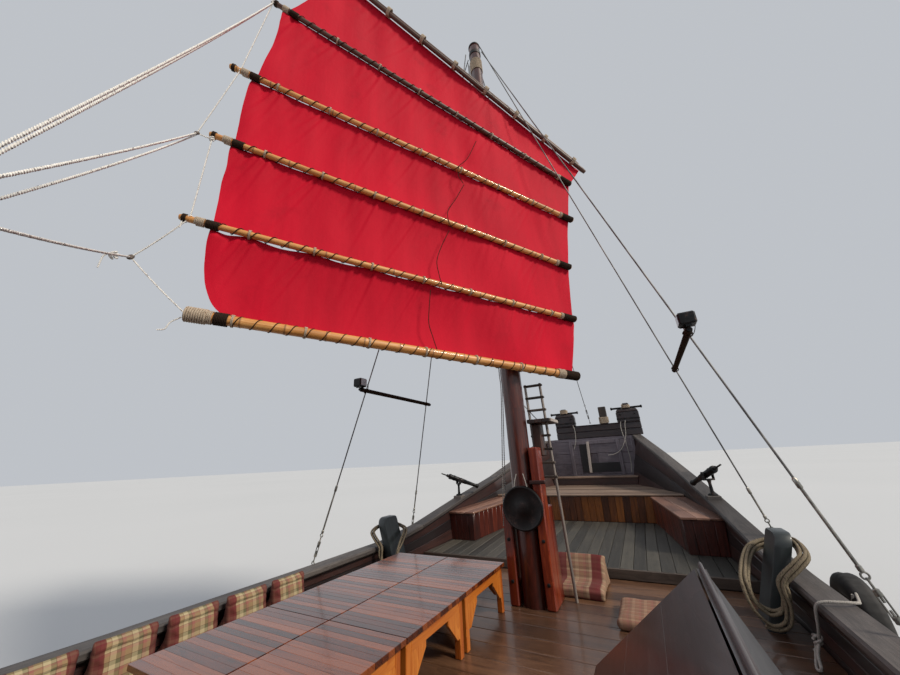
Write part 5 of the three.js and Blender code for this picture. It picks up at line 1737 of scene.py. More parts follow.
def knot(centre, size, radius, turns=2.4, tilt=0.6):
    """A bunched knot: a line wound over a small uneven ball."""
    t = np.linspace(0, 1, 60)
    a, b = t * turns * 2 * math.pi, t * turns * 2 * math.pi * tilt + 0.5
    path = np.stack([np.cos(a) * np.cos(b), np.sin(a) * (0.8 + 0.2 * np.cos(b)), np.sin(b)], -1)
    return rope(np.asarray(centre) + path * size, radius, radius * 1.2, up=(0.21, 0.35, 0.9))


def block_shell(centre, axis, long=0.075, wide=0.045, thick=0.032):
    """A wooden block: an egg-shaped cheek block, turned about its long axis and flattened."""
    t = np.linspace(0.06, math.pi - 0.06, 15)
    rows = np.stack([long * (1 - np.cos(t)) / 2, wide / 2 * np.sin(t) ** 0.8], -1)
    shape = lathed(rows, (0, 0, 0), (1, 0, 0), 18)
    across = unit(np.cross(axis, (0.1, 0.2, 0.97)))
    out = np.cross(axis, across)
    basis = np.stack([unit(np.asarray(axis, float)), across, out * thick / wide], 0)
    return shape.mapped(lambda p: (p - (long / 2, 0, 0)) @ basis + np.asarray(centre))


down_sheet = unit(np.array(ROOF_EYES[2]) - on_sail(*SPAN["j1"]))
add_piece("sail_knots", joined(*[knot(on_sail(*SPAN[k]), 0.020, 0.0065, 2.4 + 0.3 * n)
                                 for n, k in enumerate(("b4", "b3", "b2", "b1", "boom"))],
                               knot(on_sail(*SPAN["knot"]), 0.026, 0.008, 3.1)),
          rope_white, "mainsail", sharp=60)
add_piece("sheet_blocks", joined(*[block_shell(on_sail(*SPAN[k]), down_sheet)
                                   for k in ("j1", "j2")]), timber_dark, "mainsail")

# %% Roof eyes
def eye_bolt(x, y, z, radius=0.022, wire_radius=0.005):
    """A ring standing on a small round foot."""
    a = np.linspace(0, 2 * math.pi, 21)[:-1]
    ring = np.stack([x + 0 * a, y + radius * np.cos(a), z + radius * np.sin(a)], -1)
    return joined(swept(ring, circle(wire_radius, 8), up=(1, 0, 0), closed=True),
                  lathed([(0, 0.018), (0.006, 0.018), (0.010, 0.008), (0.02, 0.006)],
                         (x, y, z - radius - 0.02), (0, 0, 1), 12))


add_piece("roof_eye_bolts", joined(*[eye_bolt(*p) for p in ROOF_EYES]), iron)

# %% Parrels and lazy lines
def hang(points, w=0.24):
    """Points of a slack line that hangs in front of the cloth."""
    return [main_at(u, w, z) for u, z in points]


parrels = [hang([(0.80, 4.93), (0.90, 4.70), (0.969, 4.48), (0.95, 4.30), (0.92, 4.18)]),
           hang([(1.057, 4.09), (1.08, 3.85), (1.085, 3.693), (1.04, 3.53), (1.006, 3.42)]),
           hang([(0.55, 5.72), (0.68, 5.45), (0.80, 5.22), (0.79, 5.05), (0.74, 4.96)]),
           hang([(0.30, 6.60), (0.46, 6.22), (0.60, 6.02), (0.62, 5.86), (0.56, 5.74)])]
add_piece("parrel_lines", cordage(parrels, 0.0055, 0.010), rope_dark, "mainsail", sharp=60)
boom_line = spar_line(main_at, MAIN_SPARS["boom"])
add_piece("boom_end_wraps", joined(served(boom_line, 2.98, 3.125, 0.050, 0.008, 3),
                                   served(boom_line, -0.60, -0.50, 0.046, 0.006, 4)),
          rope_cream, "mainsail")

# %% [markdown]
# ## Stays
#
# Two wires a side lean in from the chain plates to the masthead. Each ends in a
# bright rod and a turnbuckle, and a bar wrapped in dark cord keeps the pair
# apart. A flat floodlight stands on the bar beside the after wire. The wires are
# plain round rods whose lay is a bump, because strands this thin can't be seen.

# %% Wires, turnbuckles and chain plates
STAY_Y, STAY_Z, STAY_TOP_Y, STAY_TOP = 2.185, 1.35, 0.13, 9.06
SPREAD_Z = 3.225
STAY_AFT, STAY_FORE = 1.65, 3.50
STAYS = {STAY_AFT: 2.42, STAY_FORE: 2.32}  # x at the foot: x at the masthead
STAY_JOINTS = (2.12, 1.93)  # where wire and rod meet
CHANNEL_OUT = 2.215
WIRE_RADIUS = 0.0075


def stay_at(x, z, side=STARBOARD):
    """The point of the wire with its foot at x where its height is z."""
    t = (np.asarray(z, float) - STAY_Z) / (STAY_TOP - STAY_Z)
    low, high = np.array([x, STAY_Y, STAY_Z]), np.array([STAYS[x], STAY_TOP_Y, STAY_TOP])
    return (low + (high - low) * t[..., None]) * (1, side, 1)


def turnbuckle(low, high):
    """A long open barrel: two rods between two nuts, two threaded ends and two eyes."""
    low, high = np.asarray(low, float), np.asarray(high, float)
    run = unit(high - low)
    side = unit(np.cross(run, (1.0, 0, 0.1)))
    reach = np.linalg.norm(high - low)
    at = lambda t: low + run * reach * t
    bars = [rod(at(0.28) + side * s, at(0.72) + side * s, 0.0048, 10) for s in (-0.013, 0.013)]
    nuts = [lathed([(0, 0.010), (0.004, 0.0165), (0.032, 0.0165), (0.036, 0.010)],
                   at(t) - run * 0.018, run, 12) for t in (0.28, 0.72)]
    screws = [rod(at(0.03), at(0.44), 0.0065, 10), rod(at(0.56), at(0.97), 0.0065, 10)]
    a = np.linspace(0, 2 * math.pi, 17)[:-1, None]
    eyes = [swept(at(t) + 0.017 * (np.cos(a) * run + np.sin(a) * side), circle(0.0055, 8),
                  up=tuple(np.cross(run, side)), closed=True) for t in (0.0, 1.0)]
    return joined(*bars, *nuts, *screws, *eyes)


def wire_finish():
    """Seven-strand wire: its height is a sine of the run plus the way round, a helix's own rule."""
    f = Finish("wire_laid")
    run, around, number = f.parts(f.grain())
    lay = (run * 0.9 + around).wave(127.0)
    worn = f.noise(f.vector(run * 4.0, around * 20, number), 1.0, 4.0, 0.6)
    colour = f.mix(worn.step(0.35, 0.7), tint(78, 78, 80), tint(136, 135, 132))
    return f.done(Base_Color=colour, Roughness=0.42 + worn * 0.2, Metallic=0.6,
                  Normal=f.bump(lay, 0.4, 0.0008))


laid_wire = wire_finish()


def stay_wires(side):
    """The two wires of a side, and for each its rod, two sleeves and turnbuckle."""
    wires, fittings = [], []
    for x, joint in zip(STAYS, STAY_JOINTS):
        foot, head = stay_at(x, joint, side), stay_at(x, STAY_TOP, side)
        wires.append(swept(resampled([foot, head], 0.1), circle(WIRE_RADIUS, 12), up=(1, 0, 0.1)))
        fittings.append(turnbuckle(stay_at(x, 1.40, side), stay_at(x, 1.66, side)))
        fittings.append(rod(stay_at(x, 1.68, side), foot, 0.0095, 12))
        fittings.append(lathed([(0, 0.008), (0.01, 0.0145), (0.06, 0.0145), (0.07, 0.008)],
                               stay_at(x, joint - 0.03, side), head - foot, 12))
        fittings.append(lathed([(0, 0.008), (0.008, 0.014), (0.03, 0.014), (0.038, 0.008)],
                               stay_at(x, 1.675, side), head - foot, 12))
    return joined(*wires), joined(*fittings)


def channel(side):
    """The ledge outside the rail and its chain plates."""
    low, high, reach = 1.19, 1.235, 0.17
    ledge = boxes([[x - reach, x + reach, float(hull_half(x - reach, high)) + 0.004, CHANNEL_OUT,
                    low, high] for x in STAYS], 0.008, along=0, number=560)
    plates = boxes([[x - 0.03, x + 0.03, STAY_Y - 0.009, STAY_Y + 0.009, 1.22, 1.375]
                    for x in STAYS], 0.003)
    bolts = [lathed([(0, 0.013), (0.03, 0.013)], (x, STAY_Y - 0.015, 1.355), (0, 1, 0), 10)
             for x in STAYS]
    iron_work = joined(plates, *bolts)
    return (ledge, iron_work) if side == PORT else (mirrored(ledge), mirrored(iron_work))


def spreader(side):
    """The bar between the wires, its close wrapping, and a seizing where it crosses each wire."""
    a, b = stay_at(STAY_AFT, SPREAD_Z, side), stay_at(STAY_FORE, SPREAD_Z, side)
    bar_run = [a - (0.12, 0, 0), b + (0.12, 0, 0)]
    wraps = [spiral(a - (0.10, 0, 0), b + (0.10, 0, 0), 0.016, 0.005, 0.0125, steps=9),
             *[rope([p + (0.03, 0.012, 0.035), p + (0, 0.03, 0), p + (-0.03, -0.012, -0.035),
                     p + (0, -0.03, 0), p + (0.028, 0.008, 0.03)], 0.006, 0.008, up=(0.3, 0.2, 0.9))
               for p in (a, b)]]
    return rod(*bar_run, 0.016, 12), joined(*wraps)


def floodlight(side):
    """A flat lamp on two brackets above the bar, its glass facing inboard, with a loop of wire."""
    a = stay_at(STAY_AFT, SPREAD_Z, side)
    x0, x1, z0, z1 = a[0] - 0.17, a[0] - 0.05, a[2] + 0.03, a[2] + 0.13
    body = boxes([[x0, x1, a[1] - 0.06, a[1] + 0.06, z0, z1]], 0.012)
    face = a[1] - 0.06 * side
    glass = boxes([[x0 + 0.012, x1 - 0.012, face - 0.002, face + 0.002, z0 + 0.012, z1 - 0.012]],
                  0.001)
    feet = boxes([[x - 0.006, x + 0.006, a[1] - 0.02, a[1] + 0.02, a[2] + 0.012, z0 + 0.002]
                  for x in (x0 + 0.02, x1 - 0.02)], 0.002)
    loop = rope([(x1 - 0.02, a[1] - 0.04, z0 + 0.05), (x1 + 0.02, a[1] - 0.06, z0 + 0.02),
                 (x1 + 0.03, a[1] - 0.03, a[2] - 0.02), (x1 + 0.02, a[1], a[2] + 0.02)],
                0.003, 0.005, up=(0.2, 0.3, 0.9), sides=8)
    return body, glass, feet, loop


glass_pale = metal("lamp_glass", (150, 156, 164), (184, 190, 196), 0.12, 0.0, None, 0.0001)
for side, name in ((PORT, "port"), (STARBOARD, "starboard")):
    wires, fittings = stay_wires(side)
    ledge, plates = channel(side)
    bar_piece, wraps = spreader(side)
    lamp, glass, feet, loop = floodlight(side)
    add_piece(f"stay_wires_{name}", wires, laid_wire, replaces=[f"stays_{name}"], sharp=60)
    add_piece(f"stay_turnbuckles_{name}", joined(fittings, plates), steel)
    add_piece(f"stay_ledge_{name}", ledge, timber_dark)
    add_piece(f"stay_spreader_{name}", joined(bar_piece, lamp, feet), iron)
    add_piece(f"stay_lamp_glass_{name}", glass, glass_pale)
    add_piece(f"stay_wraps_{name}", joined(wraps, loop), rope_dark)

# %% Forestay
FORE_LOW, FORE_HIGH = np.array([8.14, -0.12, 3.072]), np.array([2.55, 0.0, 9.06])
fore_at = lambda t: FORE_LOW + (FORE_HIGH - FORE_LOW) * t
add_piece("forestay_wire", swept(resampled([fore_at(0.075), FORE_HIGH], 0.1),
                                 circle(WIRE_RADIUS, 12), up=(0, 1, 0.1)), laid_wire,
          replaces=["forestay"], sharp=60)
add_piece("forestay_turnbuckle", turnbuckle(fore_at(0.006), fore_at(0.072)), wire)

# %% Halyards
def beside_mast(angle, z_high, z_low, foot, radius=0.135):
    """A fall that follows the mast and then leads away to its cleat below the boom."""
    a = math.radians(angle)
    x, y = MAST_X + radius * math.cos(a), radius * math.sin(a)
    z = np.linspace(z_high, z_low, 30)
    down = np.stack([np.full(30, x), np.full(30, y), z], -1)
    return np.vstack([down, [(x + (foot[0] - x) * 0.5, y + (foot[1] - y) * 0.5,
                              (z_low + foot[2]) / 2), foot]])


falls = [beside_mast(angle, 8.95, 3.08, foot) for angle, foot in (
    (78, (2.34, 0.185, 1.90)), (96, (2.31, 0.215, 1.72)), (20, (2.62, -0.19, 2.75)))]
add_piece("halyards", cordage(falls, 0.0075, 0.018), rope_grey, sharp=60)

# %% [markdown]
# ## Bow
#
# The flat bow is a wall of grey-lilac planks with a recess for the bowsprit of older boats and a
# tall slot beside it, both darkened by near-black boards that are painted shade for their depth.
# Above it a heavy beam carries two stout bitts, each with a knob and an iron bar, and ropes are
# made fast there. The planks are set in front of a backing board, so the seams read as depth.

# %% Bow wall
def bow_planks():
    """Wide planks across the bow, cut round the recess, on both faces of a backing board."""
    edges = [0.86, 1.24, 1.60, 1.90, 2.14, 2.38, 2.68, 2.7495]
    whole, rows, numbers = [(-1, 1)], [], []

    def side(v):
        """The bow's edge where v is 1 or -1, and else the distance v itself."""
        return lambda x, z: v * (hull_half(BOW_X, z) - 0.004) if abs(v) == 1 else v + 0 * z

    for k, (z0, z1) in enumerate(zip(edges[:-1], edges[1:])):
        cut = [(-1, -0.160), (0.240, 1)] if 1.85 < z0 < 2.3 else whole
        for x0, x1, gap, spans in ((8.0806, 8.105, 0.002, cut), (8.107, 8.164, 0.0, whole),
                                   (8.166, 8.190, 0.002, whole)):
            for a, b in spans:
                rows.append(fitted(x0, x1, fixed(z0 + gap), fixed(z1 - gap), side(a), side(b)))
                numbers.append(600 + k * 3 + (a > 0))
    return blocks(np.concatenate(rows), 0.004, along=1, number=np.array(numbers, float))


def panel_frames():
    """Raised stiles on the inner face, and near-black boards over the slot and the recess, painted
    shade for their depth.
    """
    stiles = boxes([[8.052, 8.080, y - 0.04, y + 0.04, 1.872, 2.685]
                    for y in (-0.66, 0.44, 0.98, -0.98)]
                   + [[8.060, 8.080, -0.70, 0.48, 2.60, 2.685]], 0.006, along=2, number=620)
    slot_shade = boxes([[8.064, 8.0803, 0.05, 0.235, 1.952, 2.61],
                    [8.068, 8.0803, -0.64, 0.045, 1.952, 2.16]], 0.003, along=2, number=630)
    post = blocks(np.array([[[[x, y, 1.94], [x, y - 0.035, 2.66]] for y in (0.030, 0.090)]
                            for x in (8.040, 8.063)]), 0.008, along=2, number=640)
    return stiles, slot_shade, post


bow_lilac = wood("bow_lilac", [(66, 62, 70), (98, 92, 100), (124, 118, 126)], polish=0.55,
                 dirt_and_sheen=(66, 58, 62), fibres=30, boards=0.3)
# Near-black boards over the slot and the recess: painted shade for their depth.
slot_painted_shade = wood("slot_painted_shade", [(10, 10, 13), (20, 20, 26), (34, 32, 38)], polish=0.6, fibres=40)
stiles_piece, slot_shade_piece, post_piece = panel_frames()
add_piece("bow_planks", bow_planks(), bow_lilac, replaces=["bow_board"])
add_piece("bow_stiles", stiles_piece, bow_lilac)
add_piece("bow_slots", slot_shade_piece, slot_painted_shade)
add_piece("bow_leaning_post", post_piece, stile_grey)

# %% Beam and bitts
BITT_X0, BITT_X1, BITT_YS, BITT_BAR_Z = 8.0803, 8.2303, (0.49, -1.0), 3.40
BEAM_Y0, BEAM_Y1 = -1.25, 0.74


def bitts():
    """The beam in three lifts, and two bitts: a wide block with a knob turned on its top."""
    x0, x1 = 8.0603, 8.230
    beam = [[x, x1, BEAM_Y0, BEAM_Y1, low, high] for x, low, high in (
        (x0, 2.7503, 2.90), (x0, 2.903, 3.045), (x0 - 0.010, 3.046, 3.06))]
    shapes, bars = [boxes(beam, 0.012, along=1, number=650)], []
    middle = (BITT_X0 + BITT_X1) / 2
    for y in BITT_YS:
        shapes.append(boxes([[BITT_X0, BITT_X1, y - 0.25, y + 0.25, 3.0605, 3.30]], 0.014, along=2,
                            number=660))
        shapes.append(blocks(np.array(
            [[[[x, y + s * 0.25, 3.301], [x + inwards, y + s * 0.21, 3.37]] for s in (-1, 1)]
             for x, inwards in ((BITT_X0, 0.01), (BITT_X1, -0.01))]), 0.012, along=2, number=661))
        shapes.append(boxes([[BITT_X0 + 0.008, BITT_X1 - 0.008, y - 0.075, y + 0.075, 3.371, 3.51]],
                            0.022, along=2, number=662))
        bars.append(rod((middle, y - 0.34, BITT_BAR_Z), (middle, y + 0.34, BITT_BAR_Z), 0.024, 16))
        for end in (-1, 1):
            bars.append(lathed([(0, 0.030), (0.012, 0.036), (0.03, 0.036), (0.04, 0.02)],
                               (middle, y + end * 0.315, BITT_BAR_Z), (0, end, 0), 16))
        bars.append(boxes([[BITT_X0 - 0.006, BITT_X1 + 0.002, y - 0.254, y + 0.254, 3.12, 3.155]],
                          0.003))
        bars += [lathed([(0, 0.022), (0.010, 0.020), (0.016, 0.008)],
                        (BITT_X0 - 0.006, y + s, 3.24), (-1, 0, 0), 12) for s in (-0.16, 0.16)]
    return joined(*shapes), joined(*bars)


beam_navy = wood("beam_navy", [(14, 14, 20), (30, 27, 33), (58, 46, 44)], polish=0.5, coat=0.2,
                 dirt_and_sheen=(70, 48, 38), dirt_and_sheen_amount=0.4, fibres=36, boards=0.4)
bitt_blocks, bitt_bars = bitts()
add_piece("bow_beam_and_bitts", bitt_blocks, beam_navy, replaces=["bow_bitts"])
add_piece("bow_bitt_irons", bitt_bars, iron)

# %% Bow ropes
def turns_round(x, y, z, half_x, half_y, radius, count, pitch=2.1):
    """A line wound round a square post: a helix whose plan is a rounded oblong."""
    t = np.linspace(0, 2 * math.pi * count, int(56 * count))
    c, s = np.cos(t), np.sin(t)
    px = x + (half_x + radius) * np.sign(c) * np.abs(c) ** 0.45
    py = y + (half_y + radius) * np.sign(s) * np.abs(s) ** 0.45
    return np.stack([px, py, z + t / (2 * math.pi) * radius * pitch], -1)


bow_lines = [turns_round(8.155, y, 3.39, 0.070, 0.075, 0.011, count)
             for y, count in zip(BITT_YS, (4.3, 3.4))]
hanging = [[(8.06, -0.93, 3.09), (8.045, -0.90, 2.99), (8.03, -0.86, 2.72), (8.01, -0.72, 2.45),
            (7.99, -0.55, 2.34), (8.0, -0.40, 2.32)],
           [(8.05, -0.82, 3.07), (8.04, -0.80, 2.90), (8.03, -0.84, 2.55), (8.0, -0.86, 2.20),
            (7.98, -0.83, 1.93)],
           [(8.05, 0.30, 3.075), (8.035, 0.27, 2.95), (8.03, 0.29, 2.70), (8.035, 0.36, 2.50)]]
post_wrap = turns_round(8.145, -0.45, 3.075, 0.035, 0.095, 0.010, 7.2)
add_piece("bow_bitt_ropes", cordage([*bow_lines, post_wrap], 0.0105, 0.012), rope_cream, sharp=60)
add_piece("bow_hanging_ropes", cordage(hanging, 0.009, 0.012), rope_grey, sharp=60)
add_piece("bow_rope_post", boxes([[8.112, 8.178, -0.54, -0.36, 3.0605, 3.48]], 0.012, along=2,
                                 number=670), timber_dark)

# %% [markdown]
# ## Cushions
#
# The cushions are stuffed kapok pads in checked cotton. A pad starts as a
# slightly small block, is remeshed finely and is blown up by a cloth simulation
# with pressure and no gravity, its points kept from moving too far. That gives
# the crowned faces and drawn-in corners that a drawn box never has. Seams and
# the sewn channels are pressed in afterwards, because remeshing would lose them.

# %% Plaid cotton
def plaid_finish(name, pitch=0.105, ends=(-0.076, 1.0), rosy=0.0):
    """Checked cotton. The grain vector holds metres across the pad, metres along its skin and half
    the pad's width. Stripes both ways are mixed, with fine dark lines between them, and a maroon
    band runs near both ends, between two distances from the end. Rosy fades all to pink."""
    f = Finish(name)
    across, along, half = f.parts(f.grain())
    warp, weft = (across / pitch).fract(), (along / (pitch * 0.8)).fract()
    cream, olive, pink, tan = tint(168, 154, 122), tint(96, 92, 68), tint(138, 88, 80), \
        tint(138, 114, 84)
    stripes = f.ramp(warp, (0.0, cream), (0.26, cream), (0.28, olive), (0.48, olive), (0.50, pink),
                     (0.66, pink), (0.68, tan), (0.97, tan), (1.0, cream))
    bars = f.ramp(weft, (0.0, tan), (0.30, tan), (0.32, pink), (0.46, pink), (0.48, cream),
                  (0.74, cream), (0.76, olive), (1.0, olive))
    colour = f.mix(0.5, stripes, bars)
    lines = (warp * 2).fract().step(0.92, 0.95) + (weft * 2).fract().step(0.90, 0.94)
    colour = f.mix(lines * 0.45, colour, tint(84, 44, 40))
    colour = f.mix(rosy, colour, tint(126, 84, 76))
    edge = (across - half).maths("ABSOLUTE") - half
    band = edge.step(ends[0] - 0.004, ends[0]) * (1 - edge.step(ends[1] - 0.004, ends[1]))
    colour = f.mix(band * 0.84, colour, tint(88, 24, 32))
    soft = f.noise(f.place(), 6.0, 4.0)
    colour = f.mix(soft.step(0.4, 0.75) * 0.25, colour, tint(96, 78, 70))
    weave = (across.wave(420) + along.wave(420)) * 0.5
    return f.done(Base_Color=colour, Roughness=0.84 + soft * 0.1, Specular_IOR_Level=0.2,
                  Normal=f.bump(weave, 0.15, 0.0005, f.bump(soft, 0.25, 0.006)))

# %% Inflating
def remeshed(shape, voxel):
    """An object of the shape, with a Remesh modifier that gives it even small faces."""
    mesh = bpy.data.meshes.new("pad")
    mesh.from_pydata(shape.points.tolist(), [], [f.tolist() for q in shape.faces for f in q])
    block = bpy.data.objects.new("pad", mesh)
    bpy.context.scene.collection.objects.link(block)
    remesh = block.modifiers.new("even", "REMESH")
    remesh.mode, remesh.voxel_size = "VOXEL", voxel
    return block


def arrays_of(block):
    """Points and faces of an object as its modifiers leave it."""
    made = block.evaluated_get(bpy.context.evaluated_depsgraph_get()).to_mesh()
    points = np.zeros(len(made.vertices) * 3, np.float32)
    made.vertices.foreach_get("co", points)
    corners, sizes = np.zeros(len(made.loops), np.int32), np.zeros(len(made.polygons), np.int32)
    made.loops.foreach_get("vertex_index", corners)
    made.polygons.foreach_get("loop_total", sizes)
    starts = np.cumsum(sizes) - sizes
    faces = [corners[starts[sizes == k][:, None] + np.arange(k)] for k in np.unique(sizes)]
    return points.reshape(-1, 3).astype(float), faces


def inflated(shape, voxel=0.014, pressure=4.0, cap=0.016, frames=20):
    """The shape blown up as cloth: frame by frame to the last, each point's way then cut to
    cap."""
    block = remeshed(shape, voxel)
    rest, faces = arrays_of(block)
    block.modifiers.clear()
    mesh = bpy.data.meshes.new("pad_even")
    mesh.from_pydata(rest.tolist(), [], [f.tolist() for q in faces for f in q])
    block.data = mesh
    swollen = rest
    cloth = block.modifiers.new("cloth", "CLOTH")
    cloth.settings.use_pressure = True
    cloth.settings.uniform_pressure_force = pressure
    cloth.settings.effector_weights.gravity = 0
    cloth.settings.quality = 6
    scene = bpy.context.scene
    for frame_number in range(1, frames + 1):
        scene.frame_set(frame_number)
    swollen, _ = arrays_of(block)
    scene.frame_set(1)
    bpy.data.objects.remove(block)
    move = swollen - rest
    far = np.linalg.norm(move, axis=1, keepdims=True)
    points = rest + move * np.minimum(1, cap / np.maximum(far, 1e-9))
    return Shape(points, faces, rest)


def smoothed(piece):
    """Adds one level of subdivision to a finished pad."""
    finer = piece.modifiers.new("finer", "SUBSURF")
    finer.levels = finer.render_levels = 1

# %% Backrest along the port side
BACK_X0, BACK_WIDE, BACK_COUNT, BACK_THICK = -1.34, 0.38, 7, 0.15
BACK_LOW, BACK_HIGH, BACK_LEAN = 1.062, 1.48, 0.06


def back_pad(width=BACK_WIDE, shrink=0.014):
    """One pad's block, its end at x = 0 and its back at y = 0: upright, leaning, thick at the
    foot and rolled over at the top."""
    s = shrink
    x = np.array([0.003 + s, width - 0.003 - s])
    profile = np.array([(-BACK_THICK - BACK_LEAN + s, BACK_LOW + s * 0.4),
                        (-BACK_THICK - BACK_LEAN * 0.5 + s, (BACK_LOW + BACK_HIGH) / 2),
                        (-BACK_THICK + s, BACK_HIGH - 0.03 - s),
                        (-BACK_THICK + 0.03 + s, BACK_HIGH - s),
                        (-0.075 - s, BACK_HIGH - s), (-0.068 - s, 1.33), (-0.004 - s, 1.235),
                        (-0.004 - s, BACK_LOW + s * 0.4)])
    return outward(tube(np.stack([np.insert(profile, 0, v, axis=1) for v in x])))


def sewn(pad, width):
    """Presses in the seam under the rolled top and the one down the middle, as narrow grooves in
    the face, and hollows each half a little. The grain is across, up and half the width."""
    p, rest = pad.points.copy(), pad.grain
    front = np.clip((-0.075 - rest[:, 1]) / 0.03, 0, 1)
    groove = np.exp(-((rest[:, 2] - (BACK_HIGH - 0.085)) / 0.007) ** 2) * 0.012
    groove += np.exp(-((rest[:, 0] - 0.5 * width) / 0.006) ** 2) * 0.004
    up = np.clip((rest[:, 2] - BACK_LOW) / (BACK_HIGH - 0.085 - BACK_LOW), 0, 1)
    tufts = np.sin(math.pi * rest[:, 0] / width) * np.sin(math.pi * up)
    p[:, 1] += front * (groove - 0.010 * np.maximum(tufts, 0))
    along = rest[:, 2] + np.clip(rest[:, 1] + BACK_THICK, 0, 1) * (rest[:, 2] > BACK_HIGH - 0.08)
    return Shape(p, pad.faces, np.stack([rest[:, 0], along, np.full(len(p), width / 2)], -1))


pad, pads = sewn(inflated(back_pad()), BACK_WIDE), []
plaid_back = plaid_finish("plaid_backrest")
for k in range(BACK_COUNT):
    x, y, z = pad.points.T
    x = x + BACK_X0 + k * BACK_WIDE
    y = y + inner_half(x, BACK_LOW) - 0.006 + 0.004 * math.sin(2.1 * k + 0.4)
    pads.append(Shape(np.stack([x, y, z], -1), pad.faces, pad.grain))
backrest = add_piece("backrest_pads", joined(*pads), plaid_back, replaces=["backrest_port"],
                     sharp=80)
smoothed(backrest)

# %% Pads on the deck
WEDGE_Y0, WEDGE_Y1 = -0.600, -0.040


def wedge_block(shrink=0.013):
    """A folding pad in section: flat at its after end, rising to a ridge at its fore end."""
    s = shrink
    outline = np.array([(2.665 + s, 1.055 + s * 0.3), (3.28 - s, 1.055 + s * 0.3),
                        (3.16 - s * 0.2, 1.352 - s), (3.10, 1.352 - s),
                        (2.965, 1.140 - s * 0.6), (2.665 + s, 1.140 - s * 0.6)])
    y = (WEDGE_Y0 + s, WEDGE_Y1 - s)
    return outward(tube(np.stack([np.insert(outline, 1, v, axis=1) for v in y])))


def channelled(pad, pitch, axis, low, high, depth=0.006):
    """Presses sewn channels into a pad's upper side, a groove every pitch along x."""
    p, rest = pad.points.copy(), pad.grain
    phase = ((rest[:, 0] - low) / pitch) % 1.0
    groove = np.exp(-((phase - 0.5) * pitch / 0.006) ** 2) * depth
    upper = np.clip((rest[:, 2] - 1.07) / 0.03, 0, 1)
    p[:, 2] -= groove * upper
    grain = np.stack([rest[:, 1] - axis, rest[:, 0] + rest[:, 2], np.full(len(p), high)], -1)
    return Shape(p, pad.faces, grain)


plaid_deck = plaid_finish("plaid_deck_pad", 0.14, (-0.150, -0.045), 0.5)
wedge = add_piece("deck_pad_wedge", channelled(inflated(wedge_block()), 0.10, WEDGE_Y0, 2.665,
                                               (WEDGE_Y1 - WEDGE_Y0) / 2),
                  plaid_deck, replaces=["cushion_deck_1"], sharp=80)
smoothed(wedge)
small = boxes([[2.132, 2.668, -1.108, -0.712, 1.054, 1.130]], 0.02)
plaid_pale = plaid_finish("plaid_small_pad", 0.09, (1.0, 2.0), 0.6)
small_pad = add_piece("deck_pad_small", channelled(inflated(small, cap=0.012), 0.095, -1.12,
                                                   2.12, 0.21, 0.004),
                      plaid_pale, replaces=["cushion_deck_2"], sharp=80)
smoothed(small_pad)

# %% [markdown]
# ## Deckhouse
#
# The house stands behind the photographer, so its look is taken from boats of
# this kind: upright varnished boards, framed openings with glazing bars, a
# boarded roof with a rounded nosing, and a plank door. Every wall is cut from a
# list of openings, so the boards, frames and panes share the same numbers.

# %% Walls
HOUSE_X0, HOUSE_X1, HOUSE_HALF, WALL, WALL_TOP = -4.50, -1.75, 1.38, 0.06, 2.93
ROOF_X0, ROOF_X1, ROOF_HALF, WALL_FOOT = -4.65, -1.45, 1.51, 1.0503
SILL, HEAD_Z = 1.90, 2.62


def roof_z(y):
    """The roof's camber: a parabola that falls nine centimetres at the walls."""
    return 3.06 - 0.09 * (np.asarray(y) / HOUSE_HALF) ** 2


def planked_wall(axis, near, far, ends, openings, number, width=0.13):
    """Upright boards from near to far through the wall, left out where an opening is."""
    cuts = sorted({*ends, *[v for o in openings for v in o[:2]]})
    rows = []
    for a, b in zip(cuts[:-1], cuts[1:]):
        holes = [o for o in openings if o[0] <= a + 1e-6 and b <= o[1] + 1e-6]
        spans = [(WALL_FOOT, WALL_TOP)]
        for _, _, low, high in holes:
            spans = [(WALL_FOOT, low), (high, WALL_TOP)]
        edges = np.linspace(a, b, max(1, round((b - a) / width)) + 1)
        rows += [[c + 0.0008, d - 0.0008, low, high] for c, d in zip(edges[:-1], edges[1:])
                 for low, high in spans if high - low > 0.02]
    r = np.array(rows)
    deep = np.tile([near, far], (len(r), 1))
    order = [deep, r[:, :2], r[:, 2:]] if axis == "x" else [r[:, :2], deep, r[:, 2:]]
    return boxes(np.concatenate(order, 1), 0.004, along=2, number=number + np.arange(len(r)))


def window(axis, near, far, a, b, low, high, bars=2):
    """A frame round an opening, proud of both faces, with glazing bars, and its pane."""
    wide, gap = 0.035, 0.0045
    rows = [[near - 0.010, far + 0.010, *row] for row in (
        (a - wide, b + wide, low - 0.045, low + 0.004),
        (a - wide, b + wide, high - 0.004, high + 0.04),
        (a - wide, a + 0.004, low + gap, high - gap),
        (b - 0.004, b + wide, low + gap, high - gap))]
    middle, waist = (near + far) / 2, (low + high) / 2
    rows += [[middle - 0.012, middle + 0.012, v - 0.011, v + 0.011, low + 0.005, high - 0.005]
             for v in np.linspace(a, b, bars + 2)[1:-1]]
    rows.append([middle - 0.011, middle + 0.011, a + 0.005, b - 0.005, waist - 0.010,
                 waist + 0.010])
    pane = [[middle - 0.003, middle + 0.003, a + gap, b - gap, low + gap, high - gap]]
    swap = (lambda r: r) if axis == "x" else (lambda r: np.asarray(r)[:, [2, 3, 0, 1, 4, 5]])
    return boxes(swap(rows), 0.003, along=2, number=720), boxes(swap(pane), 0.001)


